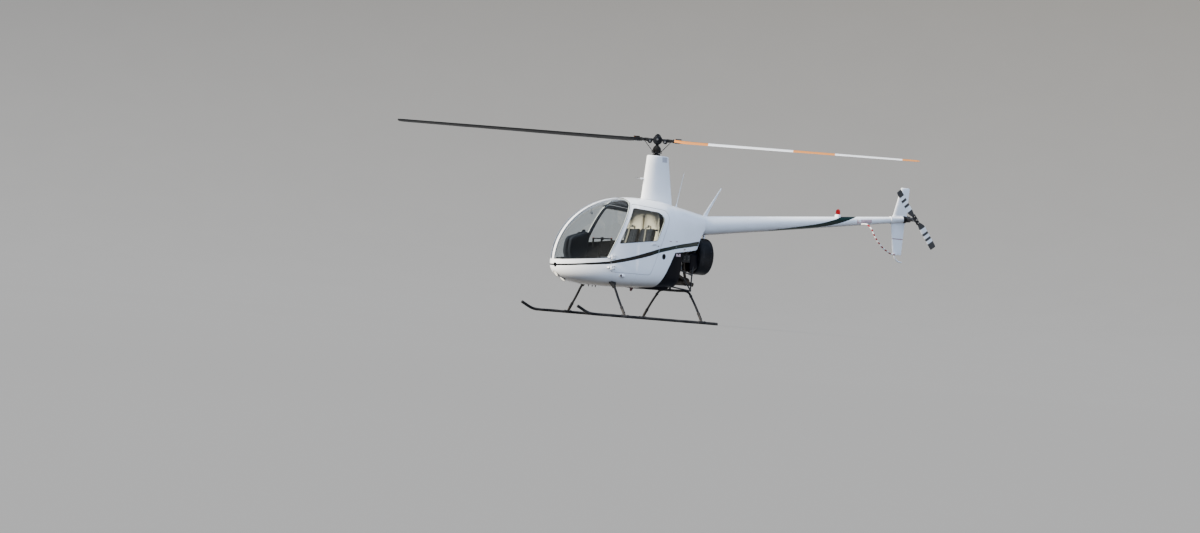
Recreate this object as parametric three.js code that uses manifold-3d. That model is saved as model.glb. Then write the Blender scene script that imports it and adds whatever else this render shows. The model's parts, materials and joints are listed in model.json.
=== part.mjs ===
// A light two-seat helicopter on skids, as a three.js scene of named solids.
// Millimetres. +X is forward, +Y is port (left), +Z is up. Inside this file the
// mast stands on the Z axis and the skids rest on z = 0. The last lines move the
// whole aircraft so that the origin is under the middle of its overall box.
import * as THREE from "three";
import { mergeVertices } from "three/addons/utils/BufferGeometryUtils.js";
import Module from "manifold-3d";

const wasm = await Module();
wasm.setup();

// Driving dimensions
const rotorRadius = 3835;
const rotorHeight = 2630; // middle of the blade roots
const bladeChord = 183;
const rotorRest = -30; // degrees from dead ahead, towards starboard
const tailRotor = { x: -4370, y: 255, radius: 533, chord: 102, axle: 65, rest: 38, pitch: 8 };
const skidTread = 940; // centre of the aircraft to the centre of a skid tube
const skidTube = 21; // radius
const skidWear = 2; // the tubes' undersides are worn flat this deep
const seam = 0.4; // where two pieces touch
const panelGap = 7; // round a door

const nose = { x: 1530, z: 750 };
const cabinWall = 25;
const cowlWall = 8;
const glassDepth = 3; // the glass lies this far under the outer surface
const glassThickness = 6;

const boom = { rootX: -745, tipX: -4100, rise: 0.1143, refX: -905, refZ: 1450, refR: 140, taper: 0.0285, wall: 6 };

// Body lines aft of the nose. Columns: x, roof height, widest height, belly height,
// half width, roundness above the widest line, roundness below it.
const bodyLines = [
  [-960, 1588, 1450, 1300, 140, 2.0, 2.0],
  [-830, 1600, 1440, 1180, 182, 2.1, 2.2],
  [-500, 1656, 1270, 600, 352, 2.7, 3.4],
  [-330, 1683, 1150, 496, 446, 3.0, 4.0],
  [-200, 1704, 1060, 478, 502, 3.2, 4.4],
  [0, 1736, 930, 466, 556, 3.5, 4.4],
  [340, 1752, 850, 446, 560, 3.6, 4.2],
  [700, 1708, 810, 432, 551, 3.4, 3.8],
  [1100, 1521, 760, 452, 474, 2.8, 2.9],
  [1530, 750, 750, 750, 0, 2.2, 2.3],
];
const noseRoof = { from: 340, height: 1002 }; // quarter ellipse down to the nose
const noseBelly = { from: 700, height: 318, power: 2.9 };
const noseWidth = { from: 450, width: 560, power: 2.2 };

// Outlines in the side view: x, z, corner radius
const doorOutline = [
  [855, 640, 45],
  [855, 900, 60],
  [543, 1652, 45],
  [-20, 1598, 70],
  [-48, 1490, 30],
  [221, 640, 55],
];
const doorWindow = [
  [748, 1058, 28],
  [529, 1590, 35],
  [105, 1556, 60],
  [32, 1466, 40],
  [150, 1146, 35],
];
const windshield = [
  [1700, 742, 0],
  [906, 842, 12],
  [557, 1660, 30],
  [585, 1730, 10],
  [585, 1900, 0],
  [1700, 1900, 0],
];
const bowHalfWidth = 30; // the strip between the two windshield panels
const tubTop = 1010; // the tub's upper edge, where the roof and its posts begin
const aftEdge = [
  [110, 380],
  [-178, 1000],
  [-112, 1900],
]; // of the cabin
const cowlAftEdge = [
  [-806, 1900],
  [-806, 1392],
  [-718, 1240],
  [-678, 1084],
  [-612, 1064],
];
const bayPanelAft = -330;
const backWall = [
  [205, 532.4],
  [205, 800],
  [128, 1250],
  [118, 1740],
]; // its front face, behind the seats

// Inside the cabin
const floor = { top: 532, thickness: 10, front: 1210 };
const seat = { front: 640, top: 790, inner: 40, outer: 440, cushion: 80, backTop: 1330, wall: 10 };

// Down the middle of the nose
const lamps = [
  { x: 1450, z: 561, pitch: -32, radius: 52 },
  { x: 1342, z: 494, pitch: -52, radius: 52 },
];
const inlet = { x: 1518, y: 72, z: 684, radius: 24 };
const sidePort = { x: 28, z: 926, radius: 38 };
const navLight = { x: 660, z: 600, radius: 26 };

// Hinge pins of the doors
const hingeLine = { x: 862, y: 566 };
const hingeHeights = [704, 852];
const hingePin = 6;
const hingeKnuckle = 12;

// Mast and rotor head
const shaftRadius = 28;
const mast = { base: 1676, top: 2400, outer: 45, inner: 34 };
const fairing = { wall: 3, lowZ: 1600, low: [-337, 200, 112], highZ: 2400, high: [-200, 145, 92] };
const gearbox = { x: 105, y: 130, low: 1296 };
const driveShaft = { z: 1330, radius: 18 };
const hub = { low: 2540, top: 2720, half: 165, spindle: 40, bladeRoot: 250 };
const twist = -7; // degrees from the mast to the tip
const pitchAtThreeQuarters = 10; // degrees

// Landing gear
const skid = { aft: -720, bend: 1290, tip: 1528, tipRise: 116, legs: [770, -475] };
const legTube = 17;
const legUnder = [489, 457]; // height of the front and the rear leg where they cross the belly

// Engine, fan and frame
const crank = { x: -620, z: 950 };
const cylinderX = [-290, -465];
const scroll = { front: -722, aft: -957, radius: 270, z: 990, hole: 172, wall: 4 };
const fan = { radius: 158, front: -742, aft: -925 };

// Tail
const castingAft = -4330;
const guardTube = 11;
const beaconX = -3145;

const rad = THREE.MathUtils.degToRad;
const vec = (x, y, z) => new THREE.Vector3(x, y, z);

// Materials
const paint = (color, roughness, metalness = 0) =>
  new THREE.MeshStandardMaterial({ color, roughness, metalness });
const white = paint(0xeef0f2, 0.25);
const black = paint(0x15171a, 0.45);
const darkMetal = paint(0x2b2e33, 0.5, 0.6);
const bareMetal = paint(0x9a9ea3, 0.35, 0.9);
const orange = paint(0xf0a04a, 0.4);
const glass = new THREE.MeshStandardMaterial({
  color: 0x8fa3ad,
  roughness: 0.05,
  transparent: true,
  opacity: 0.35,
});
const cloth = paint(0x2c3444, 0.9);
const trim = paint(0x3a3d40, 0.7);
const wallTrim = paint(0xb9b2a2, 0.85);
const red = paint(0xc01828, 0.3);
const green = paint(0x1a9a50, 0.3);
const lens = paint(0xf4f2e6, 0.1);

// A closed geometry as a manifold solid, with its faces turned outwards.
function solid(geometry) {
  const bare = geometry.index ? geometry.toNonIndexed() : geometry.clone();
  const only = new THREE.BufferGeometry().setAttribute("position", bare.getAttribute("position"));
  const merged = mergeVertices(only, 1e-3);
  const corner = (i) => vec().fromBufferAttribute(merged.attributes.position, i);
  const index = merged.index.array;
  const kept = [];
  let volume = 0;
  for (let i = 0; i < index.length; i += 3) {
    const [a, b, c] = [index[i], index[i + 1], index[i + 2]];
    if (a === b || b === c || a === c) continue;
    kept.push(a, b, c);
    volume += corner(a).dot(corner(b).cross(corner(c)));
  }
  if (volume < 0) kept.reverse();
  return new wasm.Manifold(
    new wasm.Mesh({
      numProp: 3,
      vertProperties: merged.attributes.position.array,
      triVerts: new Uint32Array(kept),
    }),
  );
}

// A manifold solid as a geometry.
function geometryOf(made) {
  const mesh = made.getMesh();
  const step = mesh.numProp;
  const position = new Float32Array(mesh.numVert * 3);
  for (let i = 0; i < mesh.numVert; i++) {
    position.set(mesh.vertProperties.subarray(i * step, i * step + 3), i * 3);
  }
  return new THREE.BufferGeometry()
    .setAttribute("position", new THREE.BufferAttribute(position, 3))
    .setIndex(new THREE.BufferAttribute(mesh.triVerts, 1));
}

const join = (first, ...others) => others.reduce((all, next) => all.add(next), first);
const cut = (first, ...others) => others.reduce((all, next) => all.subtract(next), first);

// The same solid on the other side of the aircraft.
function mirrored(made) {
  return solid(geometryOf(made).scale(1, -1, 1));
}

// A skin over rings that all have the same number of points. Each end is closed
// by a fan to the middle of its ring, or to the tip where one is given.
function loft(rings, tip = null) {
  const count = rings[0].length;
  const points = rings.flat();
  const middle = (ring) => ring.reduce((sum, p) => sum.add(p), vec(0, 0, 0)).divideScalar(count);
  const ends = [middle(rings[0]), tip ?? middle(rings.at(-1))];
  const first = points.length;
  points.push(...ends);
  const faces = [];
  for (let r = 0; r + 1 < rings.length; r++) {
    for (let k = 0; k < count; k++) {
      const [a, b] = [r * count + k, r * count + ((k + 1) % count)];
      const [c, d] = [a + count, b + count];
      const starboard = k >= count / 4 && k < (3 * count) / 4; // so that both sides are mirror images
      faces.push(...(starboard ? [a, b, d, a, d, c] : [a, b, c, b, d, c]));
    }
  }
  const last = (rings.length - 1) * count;
  for (let k = 0; k < count; k++) {
    const next = (k + 1) % count;
    faces.push(first, next, k, first + 1, last + k, last + next);
  }
  const position = new Float32Array(points.flatMap((p) => [p.x, p.y, p.z]));
  return solid(
    new THREE.BufferGeometry().setAttribute("position", new THREE.BufferAttribute(position, 3)).setIndex(faces),
  );
}

// A closed outline with rounded corners, from rows of x, y and corner radius.
function outline(rows) {
  const shape = new THREE.Shape();
  const corner = (row) => new THREE.Vector2(row[0], row[1]);
  rows.forEach((row, i) => {
    const here = corner(row);
    const before = corner(rows.at(i - 1)).sub(here);
    const after = corner(rows[(i + 1) % rows.length]).sub(here);
    const radius = row[2] ?? 0;
    const start = here.clone().addScaledVector(before.normalize(), radius);
    const end = here.clone().addScaledVector(after.normalize(), radius);
    if (i === 0) shape.moveTo(start.x, start.y);
    else shape.lineTo(start.x, start.y);
    if (radius > 0) shape.quadraticCurveTo(here.x, here.y, end.x, end.y);
  });
  shape.closePath();
  return shape;
}

// The outline moved inwards by a distance, with its corner radii kept.
function inset(rows, distance) {
  const next = (i) => rows[(i + 1) % rows.length];
  const area = rows.reduce((sum, [x, y], i) => sum + x * next(i)[1] - next(i)[0] * y, 0);
  const inward = rows.map(([x, y], i) => {
    const [u, v] = next(i);
    const scale = Math.sign(area) / Math.hypot(u - x, v - y);
    return [(y - v) * scale, (u - x) * scale];
  });
  return rows.map(([x, y, radius], i) => {
    const [a, b] = [inward.at(i - 1), inward[i]];
    const share = distance / (1 + a[0] * b[0] + a[1] * b[1]);
    return [x + (a[0] + b[0]) * share, y + (a[1] + b[1]) * share, radius];
  });
}

// A plate through the side view: the outline's x and z, from y = low to y = high.
function sidePlate(rows, low, high, curveSegments = 3) {
  const geometry = new THREE.ExtrudeGeometry(outline(rows), {
    depth: high - low,
    bevelEnabled: false,
    curveSegments,
  });
  return solid(geometry.rotateX(Math.PI / 2).translate(0, high, 0));
}

const box = (x0, x1, y0, y1, z0, z1) =>
  solid(
    new THREE.BoxGeometry(x1 - x0, y1 - y0, z1 - z0).translate((x0 + x1) / 2, (y0 + y1) / 2, (z0 + z1) / 2),
  );

// A round bar between two points, with a second radius where it tapers.
function rod(from, to, radius, sides = 10, endRadius = radius) {
  const along = to.clone().sub(from);
  const geometry = new THREE.CylinderGeometry(endRadius, radius, along.length(), sides);
  const turn = new THREE.Quaternion().setFromUnitVectors(vec(0, 1, 0), along.clone().normalize());
  return solid(geometry.applyQuaternion(turn).translate(...from.clone().addScaledVector(along, 0.5)));
}

// A round bar along a smooth curve through points.
function bentRod(points, radius, steps = 12, sides = 10) {
  const section = new THREE.Shape();
  for (let k = 0; k < sides; k++) {
    const a = (2 * Math.PI * k) / sides;
    const [x, y] = [radius * Math.cos(a), radius * Math.sin(a)];
    if (k === 0) section.moveTo(x, y);
    else section.lineTo(x, y);
  }
  section.closePath();
  const extrudePath = new THREE.CatmullRomCurve3(points, false, "centripetal");
  return solid(new THREE.ExtrudeGeometry(section, { steps, extrudePath, bevelEnabled: false }));
}

// A smooth curve through one column of the body lines.
function bodyLine(column, x) {
  const rows = bodyLines;
  let i = rows.findIndex((row) => row[0] > x) - 1;
  if (i === -2) i = rows.length - 2;
  i = Math.max(0, i);
  const slope = (k) => {
    const [a, b] = [rows[Math.max(0, k - 1)], rows[Math.min(rows.length - 1, k + 1)]];
    return (b[column] - a[column]) / (b[0] - a[0]);
  };
  const [a, b] = [rows[i], rows[i + 1]];
  const span = b[0] - a[0];
  const t = (x - a[0]) / span;
  const [m, n] = [slope(i) * span, slope(i + 1) * span];
  return (
    (2 * t ** 3 - 3 * t ** 2 + 1) * a[column] +
    (t ** 3 - 2 * t ** 2 + t) * m +
    (3 * t ** 2 - 2 * t ** 3) * b[column] +
    (t ** 3 - t ** 2) * n
  );
}

// How far a quarter superellipse has come in, from 1 where it starts to 0 at the nose.
const fade = (x, from, depth, power) =>
  (1 - Math.min(1, Math.max(0, (x - from) / (nose.x - depth - from))) ** power) ** (1 / power);

// The body's section at x, this deep under its outer surface.
function bodySection(x, depth) {
  const roof =
    x > noseRoof.from
      ? nose.z + (noseRoof.height - depth) * fade(x, noseRoof.from, depth, 2)
      : bodyLine(1, x) - depth;
  const belly =
    x > noseBelly.from
      ? nose.z - (noseBelly.height - depth) * fade(x, noseBelly.from, depth, noseBelly.power)
      : bodyLine(3, x) + depth;
  const width =
    x > noseWidth.from
      ? (noseWidth.width - depth) * fade(x, noseWidth.from, depth, noseWidth.power)
      : bodyLine(4, x) - depth;
  const toNose = Math.max(0, Math.min(1, (x - noseBelly.from) / (nose.x - noseBelly.from)));
  const waist = Math.min(roof, Math.max(belly, bodyLine(2, x) * (1 - toNose) + nose.z * toNose));
  return { roof, belly, width, waist, above: bodyLine(5, x), below: bodyLine(6, x) };
}

const ringPoints = 24;
function bodyRing(x, depth) {
  const s = bodySection(x, depth);
  const ring = [];
  for (let k = 0; k < ringPoints; k++) {
    const a = (2 * Math.PI * k) / ringPoints;
    const [c, n] = [Math.cos(a), Math.sin(a)];
    const power = 2 / (n > 0 ? s.above : s.below);
    const height = n > 0 ? s.roof - s.waist : s.waist - s.belly;
    ring.push(vec(x, s.width * Math.sign(c) * Math.abs(c) ** power, s.waist + height * Math.sign(n) * Math.abs(n) ** power));
  }
  return ring;
}

// The whole body as one solid, this deep under its outer surface.
function bodySolid(depth, aft = -900, stations = 14) {
  const front = nose.x - depth;
  const rings = [];
  for (let i = stations; i >= 1; i--) {
    const x = front - (front - aft) * (1 - Math.cos(((Math.PI / 2) * i) / stations));
    rings.push(bodyRing(x, depth));
  }
  return loft(rings, vec(front, 0, nose.z));
}

// The outer surface's half width at a place in the side view.
function skin(x, z) {
  const s = bodySection(x, 0);
  const [height, power] = z > s.waist ? [s.roof - s.waist, s.above] : [s.waist - s.belly, s.below];
  const share = Math.min(1, Math.abs(z - s.waist) / height);
  return s.width * (1 - share ** power) ** (1 / power);
}

const boomCentre = (x) => boom.refZ + boom.rise * (boom.refX - x);
const boomRadius = (x) => boom.refR + boom.taper * (x - boom.refX);

const helicopter = new THREE.Group();
const mainRotor = new THREE.Group();
mainRotor.rotation.z = rad(rotorRest);
const tailRotorGroup = new THREE.Group();
tailRotorGroup.position.set(tailRotor.x, tailRotor.y, boomCentre(tailRotor.x));
tailRotorGroup.rotation.y = rad(tailRotor.rest);
helicopter.add(mainRotor, tailRotorGroup);

function add(name, made, material, group = helicopter) {
  const mesh = new THREE.Mesh(geometryOf(made), material);
  mesh.name = name;
  group.add(mesh);
}

// One piece on the port side and its mirror image on the starboard side.
function addPair(name, made, material, otherMaterial = material) {
  add(`${name}_left`, made, material);
  add(`${name}_right`, mirrored(made), otherMaterial);
}

const far = 1200; // past the body's side
const high = 1900; // past its roof
const skinSolid = bodySolid(0);
const cabinHollow = bodySolid(cabinWall);
const insideCabin = bodySolid(cabinWall + seam);
const overSkin = bodySolid(-seam);
const paneShell = cut(bodySolid(glassDepth), bodySolid(glassDepth + glassThickness));
const shifted = (rows, dx) => rows.map(([x, z]) => [x + dx, z]);
const aheadOfAftEdge = sidePlate([...aftEdge, [1700, high], [1700, 380]], -far, far);

// A round bar on a lamp's own axis
function lampBar({ x, z, pitch, radius }, back, ahead, extra = 0) {
  const axis = vec(Math.cos(rad(pitch)), 0, Math.sin(rad(pitch)));
  const at = (distance) => vec(x, 0, z).addScaledVector(axis, distance);
  return rod(at(-back), at(ahead), radius + extra, 12);
}

// Knuckles on the door and on the cabin, one above another on one upright pin line
function doorHinge() {
  const { x, y } = hingeLine;
  const onDoor = [];
  const onCabin = [];
  const pinHoles = [];
  for (const z of hingeHeights) {
    for (const [low, top] of [
      [z - 27, z - 10.5],
      [z + 10.5, z + 27],
    ]) {
      onDoor.push(rod(vec(x, y, low), vec(x, y, top), hingeKnuckle, 8));
      onDoor.push(box(x - 62, x - 4, y - 9, y + 4, low, top));
      onDoor.push(box(x - 62, x - 40, y - 50, y + 4, low, top));
    }
    onCabin.push(rod(vec(x, y, z - 10), vec(x, y, z + 10), hingeKnuckle, 8));
    onCabin.push(box(x + 4, x + 40, skin(x + 40, z) - 6, y + 2, z - 10, z + 10));
    onCabin.push(rod(vec(x, y, z - 30), vec(x, y, z + 30), hingePin, 8));
    pinHoles.push(rod(vec(x, y, z - 40), vec(x, y, z + 40), hingePin + 0.7, 8));
  }
  return { onDoor: join(...onDoor), onCabin: join(...onCabin), pinHoles: join(...pinHoles) };
}
const hinge = doorHinge();

function cabin() {
  const paneHole = sidePlate(windshield, bowHalfWidth, far, 3);
  const doorHole = sidePlate(doorOutline, 100, far, 3);
  const legHole = gearLeg(0, 1);
  const body = join(
    cut(
      cut(skinSolid, cabinHollow).intersect(aheadOfAftEdge),
      paneHole,
      mirrored(paneHole),
      doorHole,
      mirrored(doorHole),
      ...lamps.map((lamp) => lampBar(lamp, 90, 60, 2 * seam)),
      rod(vec(inlet.x - 60, inlet.y, inlet.z), vec(inlet.x + 60, inlet.y, inlet.z), inlet.radius, 10),
      rod(vec(sidePort.x, 300, sidePort.z), vec(sidePort.x, far, sidePort.z), sidePort.radius, 12),
      rod(vec(0, 0, 1500), vec(0, 0, high), mast.outer + 8, 12),
      legHole,
    ),
    hinge.onCabin,
    mirrored(hinge.onCabin),
  );
  add("cabin_roof", body.intersect(box(-400, 1700, -far, far, tubTop, high)), white);
  add("cabin_tub", body.intersect(box(-400, 1700, -far, far, 300, tubTop - seam)), white);
  const lampPlate = rod(vec(1412, 0, 600), vec(1322, 0, 549), 16, 8);
  add("landing_lights", join(...lamps.map((lamp) => lampBar(lamp, 42, 60).intersect(bodySolid(4))), lampPlate), lens);
  const pane = paneShell.intersect(sidePlate(inset(windshield, seam), bowHalfWidth + seam, far, 3));
  addPair("windshield", pane, glass);
  const { x, z, radius } = navLight;
  const lamp = new THREE.SphereGeometry(radius, 10, 6).scale(1.7, 0.9, 1).translate(x, skin(x, z) + 4, z);
  addPair("nav_light", cut(solid(lamp), overSkin), red, green);
}

function doors() {
  const panel = cut(skinSolid, cabinHollow).intersect(sidePlate(inset(doorOutline, panelGap), 100, far, 3));
  const frame = cut(panel, sidePlate(doorWindow, 100, far, 3));
  addPair("door", cut(join(frame, hinge.onDoor), hinge.pinHoles), white);
  addPair("door_window", paneShell.intersect(sidePlate(inset(doorWindow, seam), 100, far, 3)), glass);
}

function cabinInside() {
  const slab = box(backWall[0][0] - 40, floor.front, -far, far, floor.top - floor.thickness, floor.top);
  add("cabin_floor", slab.intersect(insideCabin), trim);
  const behind = shifted(backWall, -10).reverse();
  const wall = sidePlate([...backWall, ...behind], -far, far);
  add("cabin_back_wall", wall.intersect(insideCabin), wallTrim);
  const firewall = [...shifted(aftEdge, 12), ...shifted(aftEdge, 22).reverse()];
  const shaftHole = rod(vec(-300, 0, driveShaft.z), vec(0, 0, driveShaft.z), driveShaft.radius + 6, 10);
  add("firewall", cut(sidePlate(firewall, -far, far).intersect(insideCabin), shaftHole), darkMetal);

  const base = seat.wall;
  const front = backWall[0][0] + seam;
  const outside = box(front, seat.front, -far, far, floor.top + seam, seat.top).intersect(insideCabin);
  const inside = box(front + base, seat.front - base, -far, far, 400, seat.top - base);
  add("seat_base", cut(outside, inside.intersect(bodySolid(cabinWall + base))), trim);
  const { inner, outer, top, cushion, backTop } = seat;
  const bottom = top + seam;
  const pad = box(front + 20, seat.front, inner, outer, bottom, bottom + cushion);
  addPair("seat_cushion", pad, cloth);
  const low = bottom + cushion + 2;
  const back = [
    [193.1, low, 0],
    [128.4, 1250, 0],
    [126.9, backTop, 10],
    [190, backTop, 30],
    [205, 1250, 30],
    [268, low, 20],
  ];
  addPair("seat_back", sidePlate(back, inner, outer), cloth);

  const console = [
    [1040, floor.top + seam, 0],
    [1052, 800, 40],
    [1015, 1165, 12],
    [1085, 1185, 20],
    [1305, 1105, 60],
    [1330, 900, 60],
    [1200, floor.top + seam, 0],
  ];
  const halfWidth = 105;
  const hollow = sidePlate(inset(console, 8), 8 - halfWidth, halfWidth - 8);
  const opening = box(1060, 1180, 8 - halfWidth, halfWidth - 8, 500, 600);
  add("instrument_console", cut(sidePlate(console, -halfWidth, halfWidth), join(hollow, opening)), trim);
}

function controls() {
  const { top } = floor;
  const stick = { x: 745, bendX: 800, bendZ: 950, radius: 14 };
  const yoke = { x: 765, z: 1120, reach: 300, radius: 10 };
  const grip = { top: 1130, low: 1000, lowX: 748, radius: 15 };
  const route = [
    vec(stick.x, 0, top + seam),
    vec(stick.x, 0, 700),
    vec(stick.bendX, 0, stick.bendZ),
    vec(yoke.x, 0, yoke.z),
  ];
  const grips = [-yoke.reach, yoke.reach].map((y) =>
    rod(vec(yoke.x, y, grip.top), vec(grip.lowX, y, grip.low), grip.radius),
  );
  const bar = rod(vec(yoke.x, -yoke.reach, yoke.z), vec(yoke.x, yoke.reach, yoke.z), yoke.radius);
  add("cyclic_stick", join(bentRod(route, stick.radius, 7, 8), bar, ...grips), black);
  for (const [name, y] of [
    ["collective_lever_left", 468],
    ["collective_lever_right", 0],
  ]) {
    const slope = 127 / 372;
    const at = (x) => vec(x, y, 778 + slope * (x - 318));
    const underSeat = box(0, 800, -far, far, 700, seat.top + seam);
    add(name, cut(join(rod(at(318), at(690), 11), rod(at(575), at(695), 16)), underSeat), black);
  }
  const foot = { x: 1130, radius: 10, from: 120, to: 245 };
  const plate = { aft: 1088, front: 1098, half: 32, low: 590, top: 680 };
  const pedals = [152, 238].map((y) =>
    join(
      rod(vec(foot.x, y, 546), vec(1100, y, 650), 7),
      box(plate.aft, plate.front, y - plate.half, y + plate.half, plate.low, plate.top),
    ),
  );
  const barZ = top + seam + foot.radius;
  const crossBar = rod(vec(foot.x, foot.from, barZ), vec(foot.x, foot.to, barZ), foot.radius);
  addPair("pedals", join(crossBar, ...pedals), darkMetal);
}

// A solid of revolution about the Z axis, from rows of radius and height.
function turned(rows, sides = 16) {
  const points = rows.map(([r, z]) => new THREE.Vector2(r, z));
  return solid(new THREE.LatheGeometry(points, sides).rotateX(Math.PI / 2));
}

// The same, about the X axis, from rows of x and radius, through the point y = 0, z.
function turnedAlong(rows, z, sides = 24) {
  const points = rows.map(([x, r]) => new THREE.Vector2(r, x));
  return solid(new THREE.LatheGeometry(points, sides).rotateZ(-Math.PI / 2).translate(0, 0, z));
}

const ringRows = (inner, outer, low, top) => [
  [inner, low],
  [outer, low],
  [outer, top],
  [inner, top],
  [inner, low],
];

// An upright streamlined body: blunt in front, fine behind. Each end is x aft, x front, width.
function streamlined(wall) {
  const ring = ([aft, front, width], z) => {
    const [length, points] = [front - aft - 2 * wall, 16];
    return [...Array(points).keys()].map((k) => {
      const a = (2 * Math.PI * k) / points;
      const along = (1 + Math.cos(a)) / 2;
      const half = (width - wall) * Math.sin(a) * (0.62 + 0.38 * along);
      return vec(aft + wall + length * along, half, z);
    });
  };
  const mix = fairing.low.map((v, i) => v + (fairing.high[i] - v) * 0.5);
  const middleZ = (fairing.lowZ + fairing.highZ) / 2;
  return loft([ring(fairing.low, fairing.lowZ), ring(mix, middleZ), ring(fairing.high, fairing.highZ)]);
}

function rotorMast() {
  const { x, y, low } = gearbox;
  const tube = turned(ringRows(mast.inner, mast.outer, mast.base - 1, mast.top));
  const plate = turned(ringRows(mast.inner, 78, mast.top + seam, mast.top + 30));
  const neck = turned(ringRows(mast.inner, mast.outer - 2, mast.top - 1, mast.top + 2));
  add("gearbox_and_mast", join(box(-x, x, -y, y, low, mast.base), tube, neck, plate), darkMetal);
  const inside = streamlined(fairing.wall).intersect(box(-500, 500, -300, 300, 0, mast.top - fairing.wall));
  const hole = rod(vec(0, 0, 2300), vec(0, 0, 2500), mast.outer + seam, 24);
  const pitotZ = 2050;
  const pitot = join(
    rod(vec(163, 0, pitotZ), vec(235, 0, pitotZ - 4), 10, 12),
    rod(vec(235, 0, pitotZ - 4), vec(303, 0, pitotZ - 4), 7, 12),
  );
  add("mast_fairing", join(cut(streamlined(0), inside, hole, overSkin), cut(pitot, inside)), white);
}

// One closed blade along +X with its leading edge on the +Y side, from rows of
// radius, chord and thickness.
function blade(rows, pitch) {
  const points = 12;
  const rings = rows.map(([r, chord, thickness]) => {
    const tilt = rad(pitch(r));
    return [...Array(points).keys()].map((k) => {
      const a = (2 * Math.PI * k) / points;
      const along = (1 + Math.cos(a)) / 2; // 1 at the leading edge, 0 at the trailing edge
      const y = chord * (along - 0.72);
      const z = (thickness / 2) * Math.sin(a) * (0.45 + 0.7 * along);
      return vec(r, y * Math.cos(tilt) - z * Math.sin(tilt), y * Math.sin(tilt) + z * Math.cos(tilt));
    });
  });
  return loft(rings);
}

const halfTurn = (made) => solid(geometryOf(made).rotateZ(Math.PI));

function mainRotorParts() {
  const { low, top, half, spindle, bladeRoot } = hub;
  const shaft = rod(vec(0, 0, mast.base + seam), vec(0, 0, low + 1), shaftRadius, 12);
  const z = rotorHeight;
  const oneSide = join(
    box(-20, half, -40, 40, z - 34, z + 34),
    rod(vec(half - 25, -58, z), vec(half - 25, 58, z), 38, 12),
    rod(vec(half - 30, 0, z), vec(bladeRoot - seam, 0, z), spindle, 12, 33),
    box(185, 215, 0, 122, z - 14, z + 10),
    cut(
      rod(vec(200, 108, z), vec(75, 92, mast.top + 50), 7, 8),
      box(0, 300, 0, 200, mast.top, mast.top + 58 + seam),
    ),
  );
  const centre = join(rod(vec(0, 0, low), vec(0, 0, 2700), 46, 12), rod(vec(0, 0, 2690), vec(0, 0, top), 26, 12));
  const bolt = rod(vec(0, -70, z + 10), vec(0, 70, z + 10), 22, 10);
  add("rotor_hub", join(shaft, oneSide, halfTurn(oneSide), centre, bolt), black, mainRotor);
  const lug = box(50, 95, 60, 112, mast.top + 38, mast.top + 58);
  const ring = turned(ringRows(shaftRadius + 1, 88, mast.top + 38, mast.top + 58));
  add("swashplate_upper", join(ring, lug, halfTurn(lug)), darkMetal, mainRotor);
  const rows = [
    [bladeRoot, 96, 62],
    [320, 120, 54],
    [430, bladeChord, 30],
    [600, bladeChord, 24],
    [2200, bladeChord, 24],
    [rotorRadius - 60, bladeChord, 24],
    [rotorRadius, bladeChord - 50, 14],
  ];
  const pitch = (r) => pitchAtThreeQuarters + twist * (r / rotorRadius - 0.75);
  const made = solid(geometryOf(blade(rows, pitch)).translate(0, 0, z));
  add("main_blade_front", made, white, mainRotor);
  add("main_blade_rear", halfTurn(made), white, mainRotor);
}

function engineCowl() {
  const wall = cut(skinSolid, bodySolid(cowlWall, -960));
  const shape = [...shifted(aftEdge.slice(1), -seam).reverse(), ...[...cowlAftEdge].reverse()];
  add("engine_cowl", cut(wall.intersect(sidePlate(shape, -far, far)), boomSolid(seam)), white);
  const bayWall = cut(skinSolid, bodySolid(6));
  const [low, waist] = shifted(aftEdge, -seam);
  const panel = [low, waist, [bayPanelAft, 1018], [bayPanelAft, 380]];
  add("bay_panel", cut(bayWall.intersect(sidePlate(panel, -far, far)), engineFrame(seam)), black);
  add("engine_frame", engineFrame(0), darkMetal);
}

// The boom's outer surface, this much larger.
function boomSolid(extra, from = boom.rootX, to = boom.tipX) {
  const at = (x) => vec(x, 0, boomCentre(x));
  return rod(at(from), at(to), boomRadius(from) + extra, 22, boomRadius(to) + extra);
}

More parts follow.
